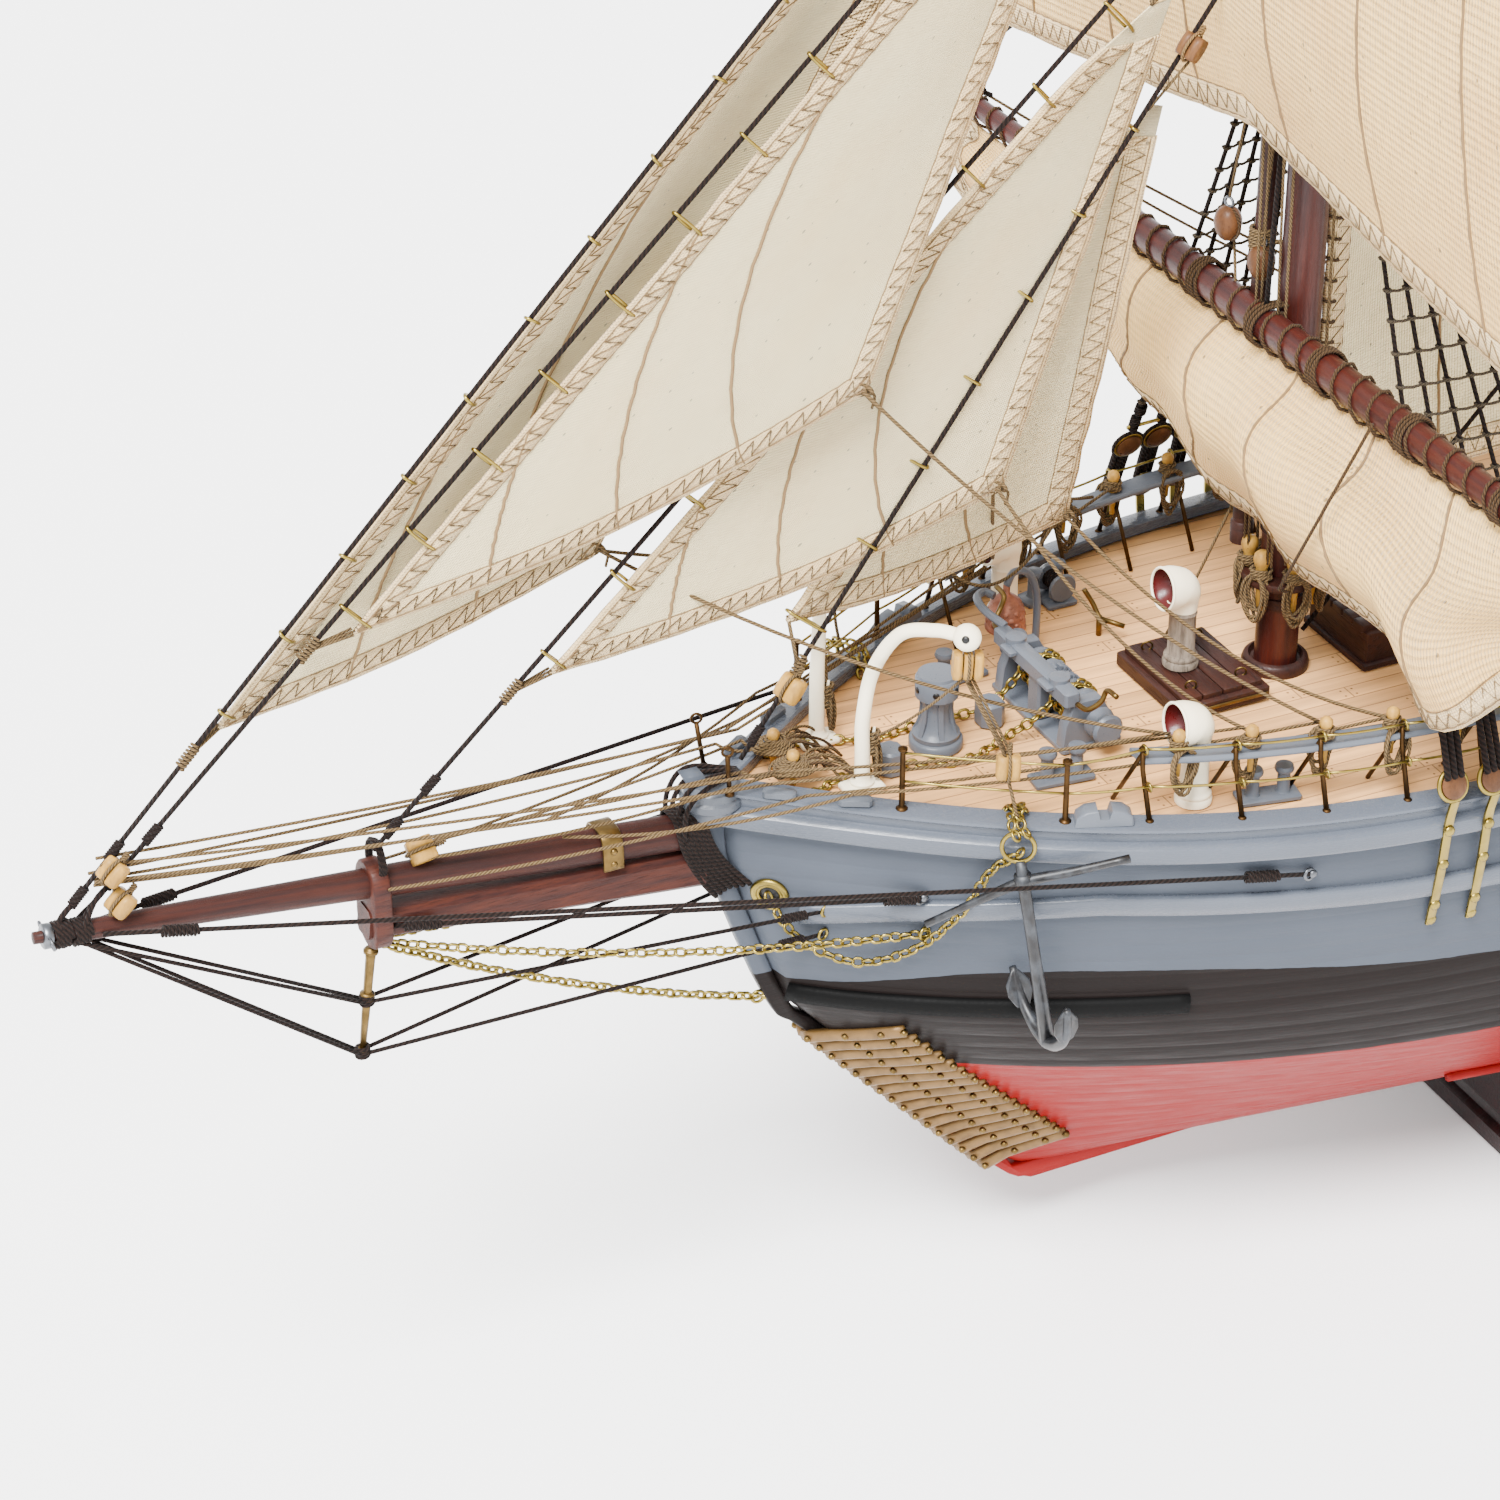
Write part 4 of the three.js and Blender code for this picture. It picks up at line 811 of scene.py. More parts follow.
def make_sheathing():
    """Half-round brass strips round the forefoot, one under another, with rows of pins."""
    strips, pins = Shape(), Shape()
    count = 16
    for k in range(count):
        t = (k + 0.5) / count
        z = mix(22.6, 70.6, t)
        reach = mix(14.0, 13.2, t)
        lift = mix(8.4, 6.2, t)
        for _, sign in SIDES:
            path = []
            for f in np.linspace(0, 1, 9):
                x = stem_x(z) + 0.4 + reach * f
                pz = z + lift * f
                p = side_point(x, pz, sign, 0.7)
                p[1] = sign * max(abs(p[1]), STEM_WIDTH / 2 + 0.5) if f > 0.04 else sign * 0.6
                path.append(p if f > 0.04 else vec(stem_x(z) - 0.7, sign * 0.5, z - 0.9))
            path[1] = vec(stem_x(z) - 0.5, sign * (STEM_WIDTH / 2 + 0.4), z - 0.3)
            dx = unit(path[-1] - path[2])
            up = unit(vec(0, 0, 1) - dx * dx[2])
            rows = []
            for i, p in enumerate(path):
                across, out = across_and_out(path, i, up)
                ahead = vec(-1, 0, 0) if i == 0 else vec(-0.6, sign, 0) if i == 1 else vec(0, sign, 0)
                out = out * (1 if np.dot(out, ahead) > 0 else -1)
                rows.append([p + across * a + out * b for a, b in
                             ((-1.46, -0.5), (-1.36, 0.2), (-0.75, 0.8), (0.35, 0.9), (1.2, 0.5),
                              (1.4, -0.5))])
            strips.grid(facing(rows, sign < 0))
            for f in (0.14, 0.42, 0.7, 0.94):
                i = int(round(f * 8))
                _, out = across_and_out(path, i, up)
                out = out * (1 if out[1] * sign > 0 else -1)
                pins.turned(((0.72, 0.3), (0.78, 0.95), (0.5, 1.45), (0.001, 1.6)), 9, path[i], out)
    strips.make("ice_strips", "brass", SHEATH, replaces=["ice_sheathing"])
    pins.make("ice_strip_pins", "brass", OLD_BRASS)


# ---------------------------------------------------------------- deck
def make_deck():
    """Smooth deck surface."""
    shape = Shape()
    ss = stations(110)
    half = [skin_point(1.0, s, -1) for s in ss]
    rows = []
    for p in half[1:-1]:
        y = abs(p[1])
        z = deck_top(p[0])
        rows.append([(p[0], y * f, z - (0.05 if abs(f) == 1 else 0)) for f in np.linspace(-1, 1, 9)])
    top = np.array(rows)
    section = np.concatenate([top, (top - vec(0, 0, 1.6))[:, ::-1]], 1)
    shape.grid(section[:, ::-1])
    shape.make("deck_surface", "deck_planks", DECK, replaces=["main_deck"])


make_hull()
make_mouldings()
make_rails()
make_backbone()
make_sheathing()
make_deck()
for node in ("false_keel", "bulkhead_fore", "bulkhead_midship", "bulkhead_aft"):
    for i in range(len(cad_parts[node].material_slots)):
        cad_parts[node].material_slots[i].material = PLY


# ---------------------------------------------------------------- sails
def cloth_noise(p, scale, seed):
    """Smooth value from -1 to 1 made of a few waves, the same every run."""
    q = np.asarray(p) / scale
    total = 0.0
    for k in range(4):
        a = vec(math.sin(seed * 1.7 + k * 2.4), math.cos(seed * 2.3 + k * 1.3), math.sin(seed + k * 4.1))
        total += math.sin(float(np.dot(a, q)) * (1 + 0.55 * k) * 2.1 + seed * 3.3 + k)
    return total / 4


class Sail:
    """A sail's middle surface over s (0 to 1 from luff or port) and t (0 foot to 1 head)."""

    def __init__(self, name, at, seed, edges=("foot", "luff", "leech"), hem=5.6, flow=0.5):
        self.name, self.raw, self.seed, self.edges, self.hem, self.flow = name, at, seed, edges, hem, flow
        self.push = vec(0, 1, 0)

    def at(self, s, t):
        p = self.raw(s, t)
        return p + self.push * self.flow * cloth_noise(p, 26.0, self.seed)

    def normal(self, s, t):
        e = 0.01
        a = self.at(min(1, s + e), t) - self.at(max(0, s - e), t)
        b = self.at(s, min(1, t + e)) - self.at(s, max(0, t - e))
        n = np.cross(a, b)
        length = np.linalg.norm(n)
        return n / length if length > 1e-9 else self.push

    def width(self, t):
        return np.linalg.norm(self.raw(1, t) - self.raw(0, t))

    def height(self, s):
        return np.linalg.norm(self.raw(s, 1) - self.raw(s, 0))

    def along_edge(self, edge, e, d):
        """Surface parameters e along an edge and d millimetres in from it."""
        if edge == "foot":
            return e, min(1, d / max(self.height(e), 1))
        if edge == "head":
            return e, 1 - min(1, d / max(self.height(e), 1))
        if edge == "luff":
            return min(1, d / max(self.width(e), 1)), e
        return 1 - min(1, d / max(self.width(e), 1)), e

    def edge_length(self, edge, cap=1.0):
        pts = [self.at(*self.along_edge(edge, e, 0.5)) for e in np.linspace(0, cap, 40)]
        return float(sum(np.linalg.norm(b - a) for a, b in zip(pts, pts[1:])))


SAILS = {}
POINTED = 10  # a head narrower than this makes the sail a triangle


def cloth_skin(shape, p, n, thick, uv_u, uv_v, scale_u, scale_v):
    """Closes a sheet: a front, a back and a rim round them, from a grid of points."""
    front, back = p + n * thick / 2, p - n * thick / 2
    ring = np.concatenate([front, back[:, ::-1]], 1)
    v = np.concatenate([uv_v * scale_v, [uv_v[-1] * scale_v], (uv_v * scale_v)[::-1][1:], [0.0]])
    shape.grid(ring, u=uv_u * scale_u, v=v)


def cut_size(sail, area):
    """Width and length, in metres, of the rectangle that the flat cloth is cut from."""
    if sail.width(1) < POINTED:
        luff = max(sail.edge_length("luff"), sail.edge_length("leech"))
        return round(2.04 * area / luff * MM, 4), round(luff * MM, 4)
    width = max(sail.width(0), sail.width(1))
    return round(width * MM, 4), round(max(sail.height(0), sail.height(1), sail.height(0.5)) * MM, 4)


def make_sail(sail, cloth, columns=44, rows=44, thick=0.42, flat=None):
    """Cuts the cloth, adds folded hems, rows of stitches and tan panel seams."""
    tt, ss = np.linspace(0, 1, rows + 1), np.linspace(0, 1, columns + 1)
    p = np.array([[sail.at(s, t) for s in ss] for t in tt])
    n = np.array([[sail.normal(s, t) for s in ss] for t in tt])
    # Hold the corner rows steady where the sail comes to a point.
    if sail.width(1) < POINTED:
        n[-1] = n[-2]
    shape = Shape()
    cloth_skin(shape, p, n, thick, tt, ss, sail.height(0.5), max(sail.width(0.0), sail.width(0.5)))
    obj = shape.make(sail.name + "_cloth", "sail_cotton", cloth, replaces=[sail.name])
    area = float(sum(np.linalg.norm(np.cross(p[i + 1, j] - p[i, j], p[i, j + 1] - p[i, j])) / 2
                     + np.linalg.norm(np.cross(p[i + 1, j] - p[i + 1, j + 1],
                                               p[i, j + 1] - p[i + 1, j + 1])) / 2
                     for i in range(rows) for j in range(columns)))
    hems, stitches = Shape(), Shape()
    for edge in sail.edges:
        cap = 0.93 if edge in ("luff", "leech") and sail.width(1) < POINTED else 1.0
        length = sail.edge_length(edge, cap)
        steps = max(12, int(length / 5))
        band = []
        for e in np.linspace(0.0, cap, steps + 1):
            row = []
            for d in (0.0, sail.hem * 0.5, sail.hem):
                s, t = sail.along_edge(edge, e, d)
                ragged = 0.25 * math.sin(e * length * 1.9 + sail.seed) + 0.2 * math.sin(e * length * 4.7)
                q = sail.at(s, t)
                if d == 0.0:
                    inner = sail.at(*sail.along_edge(edge, e, 3.0))
                    q = q + unit(q - inner) * (0.35 + ragged * 0.6)
                row.append((q, sail.normal(s, t)))
            band.append(row)
        q = np.array([[c[0] for c in r] for r in band])
        m = np.array([[c[1] for c in r] for r in band])
        cloth_skin(hems, q, m, thick + 0.55, np.linspace(0, cap, steps + 1), np.linspace(0, 1, 3),
                   length, sail.hem)
        sew(stitches, sail, edge, cap, length, thick / 2 + 0.34)
    hem_obj = hems.make(sail.name + "_hems", "sail_cotton", HEM)
    seams(stitches, sail, thick / 2 + 0.06)
    thread_obj = stitches.make(sail.name + "_stitches", "sail_cotton", THREAD)
    flat = flat or cut_size(sail, area)
    SAILS[sail.name] = sail


def sew(shape, sail, edge, cap, length, lift):
    """Zig-zag stitches across a hem and a running stitch beside its edge, on both faces."""
    pitch = 3.5
    count = int(length / pitch)
    for face in (1, -1):
        path = []
        for k in range(2 * count + 1):
            e = clamp01(cap * k / (2 * count))
            wobble = 0.25 * math.sin(k * 2.3 + sail.seed)
            d = sail.hem - 0.35 + wobble if k % 2 else 1.3 + wobble
            s, t = sail.along_edge(edge, e, d)
            path.append(sail.at(s, t) + sail.normal(s, t) * face * lift)
        shape.tube(path, 0.17, 4)
        for d in (0.8, sail.hem + 0.25):
            line = []
            for k in range(2 * count + 1):
                e = clamp01(cap * k / (2 * count))
                s, t = sail.along_edge(edge, e, d)
                rise = lift if d < 1 else 0.28
                line.append(sail.at(s, t) + sail.normal(s, t) * face * (rise + (0.12 if k % 2 else -0.1)))
            shape.tube(line, 0.13, 4)


def seams(shape, sail, lift):
    """Tan lines where the cloths of the sail join, parallel to the after edge."""
    for k, (start, end) in enumerate(sail_seams(sail)):
        for face in (1, -1):
            path = []
            steps = 34
            for i in range(steps + 1):
                s, t = mix(start[0], end[0], i / steps), mix(start[1], end[1], i / steps)
                q = sail.at(s, t) + sail.normal(s, t) * face * lift
                q = q + vec(0.12 * math.sin(i * 1.9 + k), 0, 0.12 * math.cos(i * 2.7 + k))
                path.append(q)
            shape.tube(path, 0.34 if face > 0 else 0.32, 5)


def sail_seams(sail):
    """Parameter pairs where the seams start and end."""
    if sail.width(1) < POINTED:  # triangular: parallel to the leech, from the foot to the luff
        count = max(2, round(sail.width(0) / 24))
        return [((k / count, 0.0), (0.01, k / count)) for k in range(1, count)]
    count = max(3, int(sail.width(0.5) / 26))
    return [((k / count, 0.0), (k / count, 1.0)) for k in range(1, count)]


HEADSAILS = (
    ("flying_jib", (-409.5, 1.2, 168), (-335.4, 8, 182.9), (-252, 1.2, 334), 5.0),
    ("jib", (-384, -0.4, 181.4), (-286.5, -5, 211.3), (-242, -0.4, 316.5), -2.0),
    ("inner_jib", (-345.8, 0.8, 162.6), (-254.5, 0.8, 180.6), (-223, 0.8, 276), 0.0),
    ("fore_staysail", (-296, 2.4, 160.4), (-233.5, 12, 164), (-223, 2.4, 254), 3.0),
)


LUFF_REACH = 3.0  # how far the luff lies outside the plain triangle, towards its stay


def headsail(tack, clew, head, belly):
    tack, clew, head = vec(*tack), vec(*clew), vec(*head)
    rise = unit(head - tack)
    toward_stay = LUFF_REACH * vec(-rise[2], 0, rise[0])

    def at(s, t):
        u = t * 0.97
        p = mix(mix(tack, head, u), mix(clew, head + vec(1.5, 0, 0), u), s)
        p[1] += belly * math.sin(math.pi * s) * math.sin(math.pi * (0.15 + 0.75 * (1 - t)))
        p[2] -= 3 * math.sin(math.pi * s) * (1 - t) ** 2
        return p + toward_stay * (1 - s) ** 2 * min(1, 8 * (1 - t))
    return at


def make_headsails():
    for k, (name, tack, clew, head, belly) in enumerate(HEADSAILS):
        sail = Sail(name, headsail(tack, clew, head, belly), 3 + k * 2, flow=0.35)
        make_sail(sail, CANVAS)


def square_sail(x, head, foot, arch, belly):
    def at(s, t):
        side = 2 * s - 1
        arched = foot[1] + arch * (1 - abs(side)) ** 1.2
        y = side * mix(foot[0], head[0], t)
        forward = belly * max(0, 1 - side ** 2) ** 0.7 * math.sin(math.pi * (0.15 + 0.85 * (1 - t)) ** 1.1)
        return vec(x - 1 - forward, y, mix(arched, head[1], t))
    return at


COURSE_DROP = ((-1, 13), (-0.84, 23), (-0.75, 31), (-0.66, 41), (-0.56, 49), (-0.5, 47), (-0.45, 40),
               (-0.37, 38), (-0.18, 39), (0.06, 38), (0.13, 35), (0.21, 29), (0.32, 30), (0.41, 28),
               (0.48, 25), (0.7, 30), (0.86, 23), (1, 13))
COURSE_X = -190.5 - 4.3 * 0.93 - 3.3 - GAP


def smooth_drop(side):
    return sum(along(COURSE_DROP, side + d) for d in (-0.03, -0.015, 0, 0.015, 0.03)) / 5


def loose_course(s, t):
    """Lower sail hauled up on its gear: it hangs in soft rolls below the yard."""
    side = 2 * s - 1
    drop = smooth_drop(side) * (1 - t)
    low = 1 - t
    fold = math.sin(side * 15.5 + 0.6 + 1.2 * low) * 2.6 * low ** 0.8
    fold += math.sin(side * 27.0 + 2.2) * 1.2 * low
    sway = 4.2 * math.sin(7.4 * low + side * 5.0) * math.sin(math.pi * low) ** 0.8
    x = COURSE_X - 8 * math.sin(math.pi * (1 - t)) * (1 - side ** 2) - 2 * (1 - t)
    curl = -5.0 * max(0.0, 0.24 - t) * (1 - side ** 2)
    x += 1.6 * math.sin(7.4 * low + side * 5.0 + 1.2) * math.sin(math.pi * low)
    return vec(x + fold * 0.6 - curl, side * 118 + 0.5 * fold + sway, 203 - 3.3 - 0.8 - drop)


GAFFS = {
    "fore": dict(x=-190.5, r=4.3, boom=None, tack=160, clew=(-92, 164), throat=262, peak=(-92, 292)),
    "main": dict(x=-20, r=4.5, boom=(96, 178), tack=170, clew=(92, 180), throat=272, peak=(80, 326)),
    "mizzen": dict(x=146, r=3.9, boom=(282, 181), tack=168, clew=(276, 183), throat=244, peak=(252, 294)),
}


def gaff_sail(g, belly):
    luff = g["x"] + g["r"] + 1.4
    tack, clew = vec(luff, 0, g["tack"]), vec(g["clew"][0], 0, g["clew"][1])
    throat, peak = vec(luff, 0, g["throat"]), vec(g["peak"][0], 0, g["peak"][1])

    def at(s, t):
        p = mix(mix(tack, clew, s), mix(throat, peak, s), t)
        p[1] += belly * math.sin(math.pi * s ** 0.8) * math.sin(math.pi * t * 0.9 + 0.2) if 0 < s < 1 else 0
        return p
    return at


def make_square_and_gaff_sails():
    every = ("foot", "luff", "leech", "head")
    course = Sail("fore_course", loose_course, 17, ("foot", "luff", "leech"), hem=4.6, flow=0.25)
    course.push = vec(1, 0, 0)
    make_sail(course, WARM_CANVAS, 110, 26, flat=(0.236, 0.11))
    for name, at in (
            ("fore_topsail", square_sail(-203, (92, 318.6), (112, 229), 17, 9)),
            ("fore_topgallant_sail", square_sail(-207, (62, 409.2), (86, 329), 8, 8))):
        sail = Sail(name, at, 21 + len(name), every, flow=0.3)
        sail.push = vec(1, 0, 0)
        make_sail(sail, WARM_CANVAS, 60, 40)
    for key, name in (("fore", "fore_spencer"), ("main", "main_sail"), ("mizzen", "mizzen_sail")):
        sail = Sail(name, gaff_sail(GAFFS[key], 7), 31 + len(key), every, flow=0.35)
        make_sail(sail, CANVAS)


make_headsails()
make_square_and_gaff_sails()


# ---------------------------------------------------------------- small fittings, used again and again
def on_deck(x):
    return deck_top(x) + 0.1


def chain(shape, points, pitch=1.9, wire=0.32, long=2.8, wide=2.4):
    """Oval links along a path, every other one turned a quarter."""
    p = np.asarray(points, dtype=float)
    d = np.concatenate([[0], np.cumsum(np.linalg.norm(np.diff(p, axis=0), axis=1))])
    count = max(2, int(d[-1] / pitch))
    at = np.linspace(0, d[-1], count + 1)
    q = np.stack([np.interp(at, d, p[:, k]) for k in range(3)], 1)
    t, u, w = frames(q)
    a, b = long / 2 - wire, wide / 2 - wire
    oval = [(a * math.copysign(abs(math.cos(g)) ** 0.75, math.cos(g)), b * math.sin(g))
            for g in around(10)]
    for k in range(count + 1):
        angle = 0.35 + (math.pi / 2 if k % 2 else 0) + 0.2 * math.sin(k * 1.7)
        across = math.cos(angle) * u[k] + math.sin(angle) * w[k]
        link = np.array([q[k] + t[k] * x + across * y for x, y in oval])
        shape.tube(link, wire, 5, loop=True)


def ring(shape, centre, normal, radius, wire, steps=20, sides=6):
    n = unit(vec(*normal))
    u = unit(np.cross(n, vec(0, 0, 1) if abs(n[2]) < 0.9 else vec(1, 0, 0)))
    v = np.cross(n, u)
    path = [vec(*centre) + radius * (math.cos(g) * u + math.sin(g) * v)
            for g in around(steps)]
    shape.tube(path, wire, sides, loop=True)


def windings(shape, a, b, radius, turns, wire=0.4, sides=6, wild=0.0):
    """Rope wound round the line from a to b."""
    a, b = vec(*a), vec(*b)
    t = unit(b - a)
    u = unit(np.cross(t, vec(0, 0, 1) if abs(t[2]) < 0.9 else vec(1, 0, 0)))
    v = np.cross(t, u)
    steps = max(8, int(turns * 12))
    path = []
    for k in range(steps + 1):
        g = k / steps * turns * TAU
        r = radius + wild * math.sin(g * 0.37 + k)
        path.append(mix(a, b, k / steps) + r * (math.cos(g) * u + math.sin(g) * v))
    shape.tube(path, wire, sides)


PIN = ((0.001, -5.4), (0.55, -5.3), (0.75, -0.6), (0.95, 0.0), (1.25, 0.15), (1.3, 0.7), (0.95, 1.0),
       (0.85, 1.9), (1.15, 2.6), (1.35, 3.4), (1.2, 4.1), (0.7, 4.6), (0.001, 4.75))


def belay(woods, ropes, at, coil="hang", seed=0, size=1.0, out=(0, -1, 0)):
    """Belaying pin through a rail at at, with its rope made fast and the rest coiled."""
    at = vec(*at)
    woods.turned([(r * size, h * size) for r, h in PIN], 10, at)
    windings(ropes, at + vec(0, 0, 0.5), at + vec(0, 0, 2.4), 1.45 * size, 3.5, 0.36, 5, 0.25)
    out = unit(vec(*out))
    side = np.cross(out, vec(0, 0, 1))
    loops = 6
    for k in range(loops):
        shift = (k - loops / 2) * 0.42
        wob = math.sin(seed * 2.7 + k * 1.9)
        if coil == "hang":
            wide, tall = 2.0 + 0.5 * wob + 0.12 * k, 4.6 + 0.7 * math.sin(seed + 2.3 * k)
            centre = at + out * (1.2 + 0.16 * k) + vec(0, 0, 1.4 - tall) + side * shift * 0.35
            path = []
            for g in around(18):
                sag = 1 + 0.16 * math.cos(g)
                path.append(centre + side * wide * sag * math.sin(g) + vec(0, 0, tall * math.cos(g))
                            + out * (0.5 * math.sin(2 * g + k) + 0.25 * wob))
            ropes.tube(path, 0.34, 5, loop=True)
        else:
            r = 2.2 + 0.42 * k
            path = [at + vec(r * math.cos(g + k) * (1 + 0.1 * wob),
                             r * 0.8 * math.sin(g + k),
                             0.4 + 0.28 * (loops - k) + 0.25 * math.sin(3 * g + k * 2.1))
                    for g in around(18)]
            ropes.tube(path, 0.34, 5, loop=True)


BLOCK_TURN = 1.0  # radians that a block's shell is turned round its own axis


def pulley(woods, ropes, at, axis, size=5.0, double=False):
    """Rigging block: a chamfered shell with a score for its rope strop, along axis."""
    w = unit(vec(*axis))
    u = unit(np.cross(w, vec(0.3, 0.2, 1) if abs(w[2]) < 0.9 else vec(1, 0.2, 0)))
    v = np.cross(w, u)
    c, s = math.cos(BLOCK_TURN), math.sin(BLOCK_TURN)
    u, v = u * c + v * s, v * c - u * s
    at = vec(*at)
    shells = (-0.26, 0.26) if not double else (-0.42, 0.0, 0.42)
    thick = size * (0.44 if not double else 0.32)
    for k in shells:
        rows = []
        for h, f in ((-0.5, 0.55), (-0.42, 0.85), (-0.2, 1.0), (0.2, 1.0), (0.42, 0.85), (0.5, 0.55)):
            half_u, half_v = thick / 2 * mix(0.75, 1, f), size * 0.42 * f
            c = 0.3 * half_v
            ring8 = [(half_u, -half_v + c), (half_u, half_v - c), (half_u - c, half_v),
                     (-half_u + c, half_v), (-half_u, half_v - c), (-half_u, -half_v + c),
                     (-half_u + c, -half_v), (half_u - c, -half_v)]
            rows.append([at + w * h * size + u * (a + k * size * 0.9) + v * b for a, b in ring8])
        woods.grid(rows)
    path = [at + w * 0.62 * size * math.cos(g) + v * 0.47 * size * math.sin(g) for g in around(20)]
    ropes.tube(path, 0.32, 5, loop=True)
    windings(ropes, at + w * 0.55 * size, at + w * 0.95 * size, 0.42, 4, 0.26, 5)


def deadeye(woods, brasses, at, normal, radius=3.2):
    n = unit(vec(*normal))
    at = vec(*at)
    woods.turned(((0.001, -1.1), (radius * 0.62, -1.15), (radius * 0.86, -0.7), (radius * 0.8, 0),
                  (radius * 0.86, 0.7), (radius * 0.62, 1.15), (0.001, 1.1)), 18, at, n)
    if brasses is not None:
        ring(brasses, at, n, radius * 0.94, 0.55, 26)


def nail(shape, at, normal, radius=0.55):
    shape.turned(((radius, -0.1), (radius, 0.15), (radius * 0.6, 0.45), (0.001, 0.55)), 8, at, normal)


# ---------------------------------------------------------------- foredeck
def make_capstan():
    shape = Shape()
    x, z = -267.5, on_deck(-267.5) + 0.25
    shape.turned(((0.001, 0), (5.3, 0), (5.3, 1.5), (5.0, 1.8), (4.6, 2.0), (4.7, 3.0), (4.2, 3.4),
                  (3.5, 4.4), (2.9, 6.2), (2.7, 8.6), (2.8, 10.2), (3.6, 10.9), (4.25, 11.2), (4.3, 14.9),
                  (4.1, 15.3), (3.9, 15.4), (3.8, 16.0), (0.001, 16.1)), 32, (x, 0, z))
    for k in range(6):
        g = k * TAU / 6 + 0.3
        rows = []
        for h, r in ((3.2, 4.2), (4.4, 3.75), (6.2, 3.2), (8.6, 3.0), (10.2, 3.1), (11.0, 3.6)):
            c = vec(x + r * math.cos(g), r * math.sin(g), z + h)
            a, b = vec(-math.sin(g), math.cos(g), 0) * 0.5, vec(math.cos(g), math.sin(g), 0) * 0.4
            rows.append([c - a - b, c - a + b * 0.6, c + a + b * 0.6, c + a - b][::-1])
        shape.grid(rows)
    shape.make("capstan_turned", "fitting_paint", GREY, body="capstan_body", replaces=["capstan"], flat=45)
    # Thin black discs at the six bar sockets: painted shade standing in for the depth of the holes.
    holes = Shape()
    for k in range(6):
        g = k * TAU / 6
        d = vec(math.cos(g), math.sin(g), 0)
        holes.turned(((0.7, 0), (0.7, 0.12), (0.001, 0.13)), 8, vec(x, 0, z + 13.2) + d * 4.24, d)
    holes.make("capstan_socket_shade_discs", "black_iron", BLACK_PAINT_AND_HOLE_SHADE, body="capstan_body")


